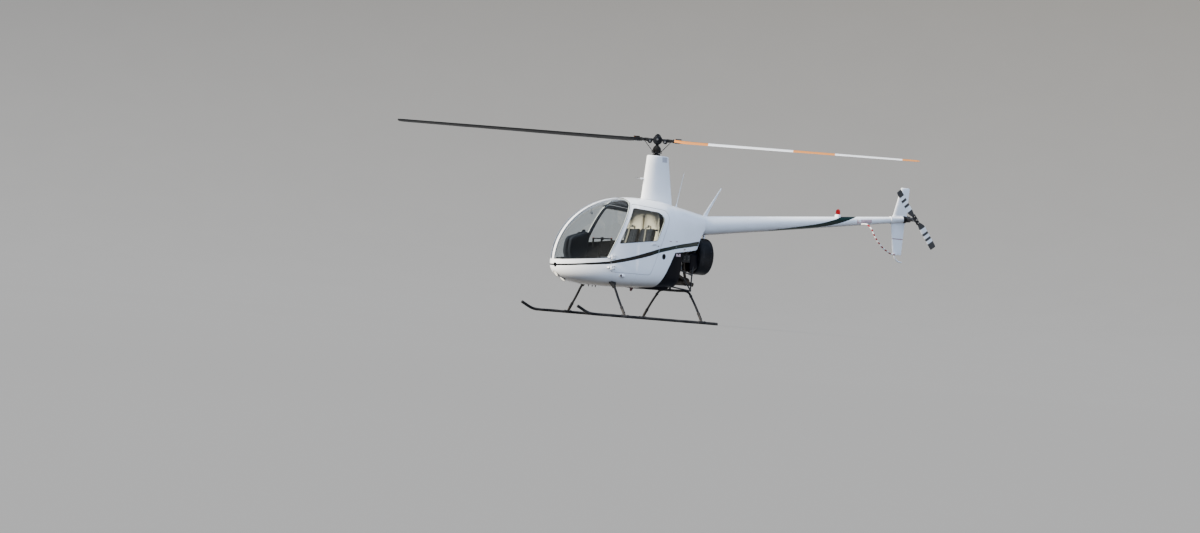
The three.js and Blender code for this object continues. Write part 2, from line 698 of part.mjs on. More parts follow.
function tailBoom() {
  const inner = boomSolid(-boom.wall, boom.rootX + 50, boom.tipX - 50);
  const at = (x) => vec(x, 0, boomCentre(x));
  const castingRadius = 56;
  const casting = rod(at(boom.tipX + 20), at(castingAft), castingRadius, 20);
  add("tail_boom", join(cut(boomSolid(0), inner), casting), white);
  const around = rod(at(boom.tipX + 100), at(castingAft - 100), castingRadius + seam, 20);
  // Fins: rows of distance from the boom's axis, x at the leading edge, x at the trailing edge
  const fin = (rows, place, thickness) => {
    const points = 12;
    const rings = rows.map(([reach, lead, trail]) =>
      [...Array(points).keys()].map((k) => {
        const a = (2 * Math.PI * k) / points;
        const along = (1 + Math.cos(a)) / 2;
        return place(reach, trail + (lead - trail) * along, (thickness / 2) * Math.sin(a) * (0.4 + 0.8 * along));
      }),
    );
    return cut(loft(rings), around);
  };
  const z0 = boomCentre(-4230);
  const upright = (reach, x, side) => vec(x, side, z0 + reach);
  const level = (reach, x, side) => vec(x, -reach, z0 + side);
  add("fin_upper", fin([[20, -4106, -4357], [490, -4224, -4374]], upright, 34), white);
  const tip = z0 - 540;
  const skidRod = [vec(-4180, 0, tip + 30), vec(-4205, 0, tip - 50), vec(-4265, 0, tip - 95), vec(-4330, 0, tip - 105)];
  const lower = fin([[-20, -4086, -4334], [-540, -4159, -4311]], upright, 34);
  add("fin_lower", join(lower, bentRod(skidRod, 9, 8)), white);
  add("stabilizer", fin([[20, -4095, -4325], [700, -4110, -4318]], level, 34), white);

  const output = boomCentre(tailRotor.x);
  add(
    "tail_gearbox",
    join(
      rod(at(castingAft - seam), at(-4425), 46, 18),
      rod(vec(tailRotor.x, 0, output), vec(tailRotor.x, tailRotor.y - tailRotor.axle, output), 32, 16),
    ),
    black,
  );
  const guard = [
    vec(-3500, 62, boomCentre(-3500) + 5),
    vec(-3545, 190, 1712),
    vec(-3590, 270, 1640),
    vec(-3650, 300, 1520),
    vec(-3760, 300, 1400),
    vec(-3900, 270, 1322),
    vec(-4050, 170, 1290),
    vec(-4190, 30, 1300),
  ];
  const clear = join(boomSolid(seam), box(-4400, -4000, -17.4, 17.4, 1200, 1700));
  add("tail_guard", cut(bentRod(guard, guardTube, 18, 8), clear), red);
}

function tailRotorParts() {
  const { radius, chord } = tailRotor;
  const yoke = { half: 26, thick: 18, reach: 85 };
  const centre = join(
    rod(vec(0, -tailRotor.axle + seam, 0), vec(0, 34, 0), 15, 16),
    box(-yoke.half, yoke.half, -yoke.thick, yoke.thick, -yoke.reach, yoke.reach),
  );
  add("tail_rotor_hub", centre, black, tailRotorGroup);
  const rows = [
    [yoke.reach + seam, 60, 22],
    [150, chord, 14],
    [radius, chord, 10],
  ];
  // The chord lies in the disc and the leading edge looks aft on the blade that stands up
  const made = geometryOf(blade(rows, () => 90 + tailRotor.pitch)).rotateY(-Math.PI / 2);
  add("tail_blade_a", solid(made), white, tailRotorGroup);
  add("tail_blade_b", solid(made.clone().rotateY(Math.PI)), white, tailRotorGroup);
}

// A leg pair: one streamlined tube from skid to skid, under or through the body.
function gearLeg(i, extra = 0) {
  const x = skid.legs[i];
  const under = legUnder[i];
  const half = [
    [skidTread - 8, skidTube + 16],
    [700, 282],
    [520, under - 50],
    [440, under - 16],
    [340, under],
    [170, under],
  ];
  const port = half.map(([y, z]) => vec(x, y, z));
  const starboard = half.map(([y, z]) => vec(x, -y, z)).reverse();
  const points = [...port, vec(x, 0, under), ...starboard];
  return bentRod(points, legTube + extra, 22, 8);
}

function landingGear() {
  const { aft, bend, tip, tipRise } = skid;
  const z = skidTube - skidWear;
  const path = [
    vec(aft, skidTread, z),
    vec(0, skidTread, z),
    vec(bend - 140, skidTread, z),
    vec(bend - 60, skidTread, z),
    vec(bend + 60, skidTread, z + 14),
    vec(tip, skidTread, tipRise),
  ];
  const rail = cut(bentRod(path, skidTube, 10, 10), box(aft - 10, tip, 800, far, -50, 0));
  addPair("skid", rail, black);
  const around = bentRod(path, skidTube + seam, 10, 10);
  ["gear_leg_front", "gear_leg_rear"].forEach((name, i) =>
    add(name, cut(gearLeg(i), around, mirrored(around)), black),
  );
}

function engine() {
  const { x, z } = crank;
  const crankcase = { aft: -600, front: -206, half: 105, under: 130, over: 60, nose: 70 };
  const plate = { thick: 12, half: 185, under: 180, over: 45 };
  const struts = [
    [-165, z - 60],
    [165, z - 60],
    [0, z - 165],
  ]; // y and z of the three that hold the scroll
  const middle = join(
    box(crankcase.aft, crankcase.front, -crankcase.half, crankcase.half, z - crankcase.under, z + crankcase.over),
    rod(vec(crankcase.aft, 0, z), vec(x, 0, z), crankcase.nose, 16),
    box(x, x + plate.thick, -plate.half, plate.half, z - plate.under, z + plate.over),
    ...struts.map(([y, h]) => rod(vec(x + plate.thick / 2, y, h), vec(scroll.front + seam, y, h), 9, 10)),
  );
  const barrel = { half: 48, inner: 90, outer: 300, under: 52, over: 28 };
  const fin = { half: 68, inner: 140, pitch: 20, thick: 7, count: 8, under: 72, over: 48 };
  const head = { half: 62, inner: 290, outer: 334, under: 66, over: 42 };
  const barrels = cylinderX.map((cx) => {
    const fins = [...Array(fin.count).keys()].map((k) => {
      const y = fin.inner + k * fin.pitch;
      return box(cx - fin.half, cx + fin.half, y, y + fin.thick, z - fin.under, z + fin.over);
    });
    return join(
      box(cx - barrel.half, cx + barrel.half, barrel.inner, barrel.outer, z - barrel.under, z + barrel.over),
      ...fins,
      box(cx - head.half, cx + head.half, head.inner, head.outer, z - head.under, z + head.over),
    );
  });
  const shroud = box(cylinderX[1] - 80, cylinderX[0] + 80, 130, 325, z + 46, z + 51);
  const bank = join(...barrels, shroud);
  const sump = join(box(-470, -250, -90, 90, z - 290, z - 129), box(-420, -300, -60, 60, z - 380, z - 289));
  add("engine", join(middle, bank, mirrored(bank), sump), darkMetal);
  const muffler = { x: -545, half: 240, radius: 60, under: 350 };
  const pipes = [];
  for (const side of [-1, 1]) {
    for (const cx of cylinderX) {
      const route = [
        vec(cx, side * 250, z - head.under),
        vec(cx - 15, side * 252, z - 190),
        vec(muffler.x, side * 200, z - muffler.under + 15),
      ];
      pipes.push(bentRod(route, 21, 5, 8));
    }
  }
  const across = (y) => vec(muffler.x, y, z - muffler.under);
  const silencer = rod(across(-muffler.half), across(muffler.half), muffler.radius, 18);
  const tail = bentRod([vec(-560, 170, z - 350), vec(-640, 190, z - 385), vec(-760, 200, z - 400)], 30, 6, 12);
  const ports = box(crankcase.aft, -180, -360, 360, z - fin.under - seam, z + 60);
  add("exhaust", cut(join(silencer, tail, ...pipes), ports), bareMetal);
}

function coolingFan() {
  const { front, aft, radius, z, hole, wall } = scroll;
  const edge = 26; // the shell's rounded front rim
  const rows = [
    [front, 70],
    [front, radius - edge],
    [front - 8, radius - 8],
    [front - edge, radius],
    [aft + 34, radius],
    [aft + 10, radius - 10],
    [aft, radius - 34],
    [aft, hole],
    [aft + wall, hole],
    [aft + wall, radius - 35],
    [aft + 13, radius - 13],
    [aft + 35, radius - wall],
    [front - edge, radius - wall],
    [front - 10, radius - 11],
    [front - wall, radius - edge - 1],
    [front - wall, 70],
    [front, 70],
  ];
  const shell = turnedAlong(rows, z, 20);
  const eye = rod(vec(front - 20, 0, crank.z), vec(front + 20, 0, crank.z), 62, 18);
  const bracket = box(-912, -880, -14, 14, z + radius - 6, 1400);
  const body = cut(join(shell, cut(bracket, boomSolid(seam))), eye);
  add("fan_scroll", body, black);
  const spokes = [...Array(8).keys()].map((k) =>
    solid(
      new THREE.BoxGeometry(132, 4, 120)
        .translate(fan.aft + 105, 0, 94)
        .rotateX((2 * Math.PI * k) / 8)
        .translate(0, 0, crank.z),
    ),
  );
  const disc = rod(vec(fan.front - 8, 0, crank.z), vec(fan.front - 60, 0, crank.z), fan.radius, 18, 80);
  const nose = rod(vec(fan.front - 50, 0, crank.z), vec(fan.aft, 0, crank.z), 62, 12, 40);
  const axle = rod(vec(crank.x - seam, 0, crank.z), vec(fan.front - 20, 0, crank.z), 26, 16);
  const sheave = rod(vec(-645, 0, crank.z), vec(-700, 0, crank.z), 86, 16);
  add("cooling_fan", join(disc, nose, axle, sheave, ...spokes), bareMetal);
  const [low, top, inner] = [crank.z, driveShaft.z, 94];
  const loop = (r, extra) =>
    join(
      rod(vec(-650 + extra, 0, low), vec(-695 - extra, 0, low), r, 16),
      rod(vec(-650 + extra, 0, top), vec(-695 - extra, 0, top), r, 16),
      box(-695 - extra, -650 + extra, -r, r, low, top),
    );
  const upperSheave = rod(vec(-645, 0, top), vec(-700, 0, top), inner + 1, 16);
  const shaft = rod(vec(-700, 0, top), vec(-gearbox.x - seam, 0, top), driveShaft.radius, 10);
  add("drive_belts", join(cut(loop(inner + 9, 0), loop(inner, 5)), upperSheave, shaft), black);
}

// The welded tube frame that holds the engine and the boom, with this much more radius.
function engineFrame(extra) {
  const tube = 11 + extra;
  // Rows of x, y, z at both ends, for the port side
  const bars = [
    [-225, 310, 512, -575, 318, 470],
    [-575, 318, 470, -590, 300, 700],
    [-445, 330, 643, -575, 318, 478],
    [-590, 300, 700, -728, 96, 1340],
    [-590, 300, 700, -225, 342, 800],
    [-225, 310, 512, -225, 366, 985],
    [-225, 366, 985, -728, 96, 1500],
  ];
  const ends = bars.flatMap(([a, b, c, d, e, f]) => {
    const [from, to] = [vec(a, b, c), vec(d, e, f)];
    return [rod(from, to, tube, 6)];
  });
  const side = join(...ends);
  const across = [
    [-575, 318, 470],
    [-225, 310, 512],
  ].map(([x, y, z]) => rod(vec(x, -y, z), vec(x, y, z), tube, 6));
  const ring = turnedAlong(
    [
      [boom.rootX - 20, 118],
      [boom.rootX - 20, 138],
      [boom.rootX + 28, 138],
      [boom.rootX + 28, 118],
      [boom.rootX - 20, 118],
    ],
    boomCentre(boom.rootX),
    24,
  );
  const seats = [boomSolid(seam, boom.rootX + seam), gearLeg(1, seam)];
  return cut(join(side, mirrored(side), ...across, ring), ...seats);
}

function fittings() {
  const onBoom = boomCentre(beaconX) + boomRadius(beaconX);
  const beaconBase = { sunk: 30, height: 34, radius: 40 };
  const stand = onBoom + beaconBase.height;
  const base = cut(
    rod(vec(beaconX, 0, onBoom - beaconBase.sunk), vec(beaconX, 0, stand), beaconBase.radius, 18),
    boomSolid(seam),
  );
  add("beacon_base", base, white);
  const from = stand + seam;
  const dome = [[0, from], [36, from], [37, from + 30], [30, from + 60], [16, from + 76], [0, from + 80]];
  const lamp = geometryOf(turned(dome, 18)).translate(beaconX, 0, 0);
  add("beacon_lens", solid(lamp), red);
  const plate = (x, z, chord, thickness) =>
    [...Array(10).keys()].map((k) => {
      const a = (2 * Math.PI * k) / 10;
      return vec(x + (chord / 2) * Math.cos(a), (thickness / 2) * Math.sin(a), z);
    });
  const bladeAntenna = loft([plate(-874, 1560, 66, 16), plate(-905, 1640, 48, 12), plate(-1112, 2010, 18, 7)]);
  add("antenna_blade", cut(bladeAntenna, boomSolid(seam)), white);
  const whip = join(
    rod(vec(-390, 0, 1640), vec(-399, 0, 1722), 16, 14, 9),
    rod(vec(-399, 0, 1718), vec(-481, 0, 2190), 4, 8, 3),
  );
  add("antenna_whip", cut(whip, overSkin), white);
}

cabin();
doors();
cabinInside();
controls();
rotorMast();
mainRotorParts();
engineCowl();
tailBoom();
tailRotorParts();
landingGear();
engine();
coolingFan();
fittings();

const bounds = new THREE.Box3().setFromObject(helicopter, true);
const middle = bounds.getCenter(vec());
helicopter.position.set(-middle.x, -middle.y, -bounds.min.z);

export default helicopter;
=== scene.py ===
"""Looks of a light two-seat helicopter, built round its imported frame. Metres, +X forward, +Y port, +Z up."""

import json
import logging
import math
from dataclasses import dataclass, field, replace
from enum import Enum
from typing import Iterable, Optional, Sequence

import bmesh
import bpy
import numpy as np
from mathutils import Matrix, Vector


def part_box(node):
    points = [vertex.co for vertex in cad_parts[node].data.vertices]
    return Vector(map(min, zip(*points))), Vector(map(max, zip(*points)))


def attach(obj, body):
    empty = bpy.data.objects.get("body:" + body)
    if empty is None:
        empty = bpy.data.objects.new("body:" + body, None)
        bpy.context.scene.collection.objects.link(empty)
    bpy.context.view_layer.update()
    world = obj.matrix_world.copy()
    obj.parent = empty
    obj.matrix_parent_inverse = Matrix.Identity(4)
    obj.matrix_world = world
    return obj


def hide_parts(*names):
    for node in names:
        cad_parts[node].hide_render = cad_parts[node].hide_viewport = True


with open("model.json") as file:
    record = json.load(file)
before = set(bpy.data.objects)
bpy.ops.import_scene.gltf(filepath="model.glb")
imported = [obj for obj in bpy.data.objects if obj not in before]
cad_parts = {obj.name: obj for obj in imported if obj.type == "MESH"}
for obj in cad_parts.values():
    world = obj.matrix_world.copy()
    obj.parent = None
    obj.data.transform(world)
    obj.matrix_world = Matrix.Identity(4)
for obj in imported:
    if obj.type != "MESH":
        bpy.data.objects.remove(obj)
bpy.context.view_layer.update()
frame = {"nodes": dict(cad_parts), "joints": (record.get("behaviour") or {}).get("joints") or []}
log = logging.getLogger("helicopter")

# The mast's foot in the frame's coordinates: every size below is counted from it.
ROTOR_TOP = 2.720
SPIN = next(j for j in frame["joints"] if j["name"] == "main_rotor_spin")
ORIGIN = Vector((SPIN["pos_m"][0], SPIN["pos_m"][1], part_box("rotor_hub")[1].z - ROTOR_TOP))

Point = Sequence[float]
Color = tuple[float, float, float]
Socket = bpy.types.NodeSocket


class Body(Enum):
    """The bodies that pieces ride on."""

    AIRFRAME = "airframe"
    ROTOR = "main_rotor"
    TAIL_ROTOR = "tail_rotor"
    FAN = "engine_fan"
    PORT_DOOR = "port_door"
    STARBOARD_DOOR = "starboard_door"


class Slot(Enum):
    """The record's material slots."""

    WHITE_PAINT = "white_paint"
    WHITE_METAL = "white_metal"
    BLACK_PAINT = "black_paint"
    BLACK_PANEL = "black_panel"
    ENGINE = "engine_grey"
    FRAME = "frame_steel"
    EXHAUST = "exhaust_steel"
    ALLOY = "fan_alloy"
    RUBBER = "belt_rubber"
    WINDOW = "window_glass"
    LAMP = "lamp_glass"
    RED_LENS = "red_lens"
    GREEN_LENS = "green_lens"
    CLOTH = "seat_cloth"
    TRIM = "dark_trim"
    WALL = "wall_trim"
    GUARD = "guard_stripe"


class Marking(Enum):
    """What is painted over a finish's own colour."""

    NONE = "none"
    HULL_STRIPE = "hull stripe"
    BOOM_STRIPE = "boom stripe"
    ROTOR_BANDS = "rotor bands"
    TAIL_BANDS = "tail bands"
    GUARD_BANDS = "guard bands"


# Outlines of the two green stripes in the side view: x, lower edge, upper edge.
HULL_STRIPE = (
    (1.60, 0.668, 0.682), (1.39, 0.6935, 0.708), (1.274, 0.710, 0.724), (1.147, 0.724, 0.744),
    (1.01, 0.741, 0.764), (0.868, 0.759, 0.790), (0.72, 0.792, 0.831), (0.568, 0.831, 0.872),
    (0.412, 0.874, 0.9215), (0.254, 0.925, 0.9755), (0.097, 0.984, 1.031), (-0.073, 1.032, 1.077),
    (-0.268, 1.075, 1.122), (-0.494, 1.111, 1.162), (-0.634, 1.135, 1.188), (-0.90, 1.160, 1.215),
)
# The hull's stripe turns from black to green between these two x.
STRIPE_CHANGE = (0.12, 0.24)
# How far each stripe reaches beyond its measured edges, so that it reads as dark as in a small picture.
STRIPE_SPREAD = 0.0060
STRIPE_BLACK = (0.003, 0.004, 0.005)
# How soft its edges are, and the shares of the hull stripe's height between which it turns black.
STRIPE_BLUR = 0.0012
STRIPE_TOP = (0.70, 0.76)
BOOM_STRIPE = (
    (-1.62, 1.390, 1.400), (-2.06, 1.452, 1.492), (-2.50, 1.541, 1.578), (-2.84, 1.608, 1.656),
    (-3.006, 1.648, 1.708), (-3.10, 1.676, 1.742), (-3.183, 1.703, 1.782), (-3.28, 1.740, 1.860),
    (-3.44, 1.806, 1.960), (-3.60, 1.880, 1.990),
)
# Orange bands on the main blades: from and to, along the blade.
ROTOR_BANDS = ((0.25, 0.747), (1.99, 2.60), (3.58, 3.90))
TAIL_BANDS = ((0.175, 0.25), (0.29, 0.34), (0.38, 0.43))
BAND_BLUR = 0.002
# The guard's bands: how fast they follow each other up and along, how many a step, and their softness.
GUARD_RATES = (9.0, 4.0)
GUARD_COUNT = 1.4
GUARD_BLUR = 0.08
# Clear coats are this rough.
COAT_ROUGHNESS = 0.06


class Tree:
    """A node tree with short calls that add its nodes and link them."""

    def __init__(self, tree: bpy.types.NodeTree) -> None:
        """Starts from an empty tree."""
        self.tree = tree
        tree.nodes.clear()

    def add(self, kind: str, inputs: Optional[dict] = None, **settings: object) -> bpy.types.Node:
        """Adds a node.

        Args:
            kind: the node's type without its ShaderNode prefix.
            inputs: values or sockets for the node's inputs, by name or number.
            settings: properties of the node.

        Returns:
            The new node.
        """
        node = self.tree.nodes.new(kind if kind.startswith("NodeGroup") else "ShaderNode" + kind)
        for name, value in settings.items():
            setattr(node, name, value)
        for name, value in (inputs or {}).items():
            self.put(node.inputs[name], value)
        return node

    def put(self, target: Socket, value: object) -> None:
        """Links a socket to an input, or sets the input's own value.

        Args:
            target: the input.
            value: a socket, a number, a vector or a colour.
        """
        if isinstance(value, bpy.types.NodeSocket):
            self.tree.links.new(value, target)
        elif target.type == "RGBA" and len(value) == 3:
            target.default_value = (*value, 1.0)
        else:
            target.default_value = value

    def math(self, operation: str, *values: object, clamp: bool = False) -> Socket:
        """Adds a Math node.

        Args:
            operation: the node's operation.
            values: its inputs in order.
            clamp: whether the result is kept between 0 and 1.

        Returns:
            The node's result.
        """
        node = self.add("Math", dict(enumerate(values)), operation=operation, use_clamp=clamp)
        return node.outputs[0]

    def step(self, value: Socket, low: float, high: float) -> Socket:
        """Adds a smooth step.

        Args:
            value: what is compared.
            low: where the step is 0.
            high: where the step is 1.

        Returns:
            A mask from 0 to 1.
        """
        node = self.add("MapRange", {0: value, 1: low, 2: high}, interpolation_type="SMOOTHSTEP")
        return node.outputs[0]

    def mix(self, share: object, first: object, second: object, blend: str = "MIX") -> Socket:
        """Mixes two colours.

        Args:
            share: how much of the second.
            first: the first colour.
            second: the second colour.
            blend: how the second is laid over the first.

        Returns:
            The mixed colour.
        """
        node = self.add("Mix", {0: share, 6: first, 7: second}, data_type="RGBA", blend_type=blend)
        return node.outputs[2]

    def noise(self, place: Socket, scale: float, detail: float = 3.0, roughness: float = 0.5) -> Socket:
        """Adds a noise texture.

        Args:
            place: where it is read.
            scale: its frequency.
            detail: its octaves.
            roughness: how strong the finer octaves are.

        Returns:
            The noise's value.
        """
        inputs = {"Vector": place, "Scale": scale, "Detail": detail, "Roughness": roughness}
        return self.add("TexNoise", inputs).outputs["Fac"]

    def between(self, value: Socket, low: object, high: object, blur: float) -> Socket:
        """Adds a mask for a range.

        Args:
            value: what is compared.
            low: the range's start, a number or a socket.
            high: its end, a number or a socket.
            blur: the width of its soft edges.

        Returns:
            A mask that is 1 inside the range.
        """
        rise = self.step(self.math("SUBTRACT", value, low), -blur, blur)
        fall = self.step(self.math("SUBTRACT", high, value), -blur, blur)
        return self.math("MULTIPLY", rise, fall)


class Effects:
    """The shader groups that several finishes share, each built once."""

    made: dict[str, bpy.types.NodeTree] = {}

    @classmethod
    def group(cls, name: str, inputs: dict, outputs: dict) -> tuple[bpy.types.NodeTree, Optional[Tree]]:
        """Finds a group or starts a new one.

        Args:
            name: the group's name.
            inputs: its inputs' names and default numbers.
            outputs: its outputs' names and socket types.

        Returns:
            The group, and its tree where it still has to be filled.
        """
        if name in cls.made:
            return cls.made[name], None
        group = bpy.data.node_groups.new(name, "ShaderNodeTree")
        for label, value in inputs.items():
            socket = group.interface.new_socket(label, in_out="INPUT", socket_type="NodeSocketFloat")
            socket.default_value = value
        for label, kind in outputs.items():
            group.interface.new_socket(label, in_out="OUTPUT", socket_type="NodeSocket" + kind)
        cls.made[name] = group
        return group, Tree(group)

    @classmethod
    def place(cls) -> bpy.types.NodeTree:
        """Where a point lies on the aircraft, counted from the mast's foot.

        Returns:
            A group with the outputs Place, X, Y and Z.
        """
        group, tree = cls.group("Aircraft place", {}, {"Place": "Vector", "X": "Float", "Y": "Float",
                                                       "Z": "Float"})
        if tree:
            local = tree.add("TexCoord").outputs["Object"]
            moved = tree.add("VectorMath", {0: local, 1: tuple(ORIGIN)}, operation="SUBTRACT").outputs[0]
            split = tree.add("SeparateXYZ", {0: moved})
            tree.add("NodeGroupOutput", {"Place": moved, **{axis: split.outputs[axis] for axis in "XYZ"}})
        return group

    @classmethod
    def grain(cls) -> bpy.types.NodeTree:
        """Fine relief of paint, castings or mouldings, with slow changes of shade.

        Returns:
            A group with the inputs Size and Streak and the outputs Height and Shade.
        """
        group, tree = cls.group("Surface grain", {"Size": 0.002, "Streak": 0.0},
                                {"Height": "Float", "Shade": "Float"})
        if tree:
            given = tree.add("NodeGroupInput").outputs
            local = tree.add("TexCoord").outputs["Object"]
            scale = tree.math("DIVIDE", 1.0, given["Size"])
            stretch = tree.add("CombineXYZ", {0: tree.math("SUBTRACT", 1.0, given["Streak"]), 1: 1.0, 2: 1.0})
            along = tree.add("VectorMath", {0: local, 1: stretch.outputs[0]}, operation="MULTIPLY").outputs[0]
            fine = tree.add("TexNoise", {"Vector": along, "Scale": scale, "Detail": 2.0}).outputs["Fac"]
            slow = tree.noise(along, 2.3, 4.0, 0.55)
            tree.add("NodeGroupOutput", {"Height": fine, "Shade": slow})
        return group

    @classmethod
    def wear(cls) -> bpy.types.NodeTree:
        """Bare metal where edges have been rubbed.

        Returns:
            A group with the inputs Radius and Amount and the output Mask.
        """
        group, tree = cls.group("Edge wear", {"Radius": 0.003, "Amount": 0.5}, {"Mask": "Float"})
        if tree:
            given = tree.add("NodeGroupInput").outputs
            rounded = tree.add("Bevel", {"Radius": given["Radius"]}, samples=4).outputs[0]
            normal = tree.add("NewGeometry").outputs["Normal"]
            turn = tree.add("VectorMath", {0: rounded, 1: normal}, operation="DOT_PRODUCT").outputs["Value"]
            edge = tree.math("SUBTRACT", 1.0, turn)
            local = tree.add("TexCoord").outputs["Object"]
            patches = tree.step(tree.noise(local, 38.0, 5.0, 0.65), 0.42, 0.66)
            rubbed = tree.math("MULTIPLY", tree.step(edge, 0.03, 0.16), patches)
            tree.add("NodeGroupOutput", {"Mask": tree.math("MULTIPLY", rubbed, given["Amount"])})
        return group

    @classmethod
    def dust(cls) -> bpy.types.NodeTree:
        """Dust and oily film, thickest low down.

        Returns:
            A group with the inputs Amount and Height and the output Mask.
        """
        group, tree = cls.group("Dust", {"Amount": 0.3, "Height": 0.6}, {"Mask": "Float"})
        if tree:
            given = tree.add("NodeGroupInput").outputs
            spot = tree.add("Group", node_tree=cls.place())
            cloud = tree.step(tree.noise(spot.outputs["Place"], 7.0, 6.0, 0.62), 0.40, 0.72)
            speck = tree.step(tree.noise(spot.outputs["Place"], 160.0, 2.0), 0.55, 0.75)
            low = tree.math("SUBTRACT", 1.0, tree.math("DIVIDE", spot.outputs["Z"], given["Height"]),
                            clamp=True)
            both = tree.math("ADD", tree.math("MULTIPLY", cloud, 0.7), tree.math("MULTIPLY", speck, 0.3))
            spread = tree.math("ADD", tree.math("MULTIPLY", low, 0.8), 0.2)
            mask = tree.math("MULTIPLY", tree.math("MULTIPLY", both, spread), given["Amount"], clamp=True)
            tree.add("NodeGroupOutput", {"Mask": mask})
        return group

    @classmethod
    def weave(cls) -> bpy.types.NodeTree:
        """Plain weave, laid on by the way the surface faces.

        Returns:
            A group with the input Pitch and the outputs Height and Thread.
        """
        group, tree = cls.group("Weave", {"Pitch": 0.0022}, {"Height": "Float", "Thread": "Float"})
        if tree:
            pitch = tree.add("NodeGroupInput").outputs["Pitch"]
            local = tree.add("SeparateXYZ", {0: tree.add("TexCoord").outputs["Object"]}).outputs
            facing = tree.add("SeparateXYZ", {0: tree.add("TexCoord").outputs["Normal"]}).outputs
            wave = {}
            for axis in "XYZ":
                turns = tree.math("DIVIDE", local[axis], pitch)
                wave[axis] = tree.math("SINE", tree.math("MULTIPLY", turns, 2 * math.pi))
            parts = []
            for first, second, away in (("X", "Y", "Z"), ("Y", "Z", "X"), ("X", "Z", "Y")):
                share = tree.math("POWER", tree.math("ABSOLUTE", facing[away]), 4.0)
                parts.append(tree.math("MULTIPLY", tree.math("MULTIPLY", wave[first], wave[second]), share))
            total = tree.math("ADD", tree.math("ADD", parts[0], parts[1]), parts[2])
            height = tree.math("ADD", tree.math("MULTIPLY", total, 0.5), 0.5)
            thread = tree.step(height, 0.2, 0.8)
            tree.add("NodeGroupOutput", {"Height": height, "Thread": thread})
        return group


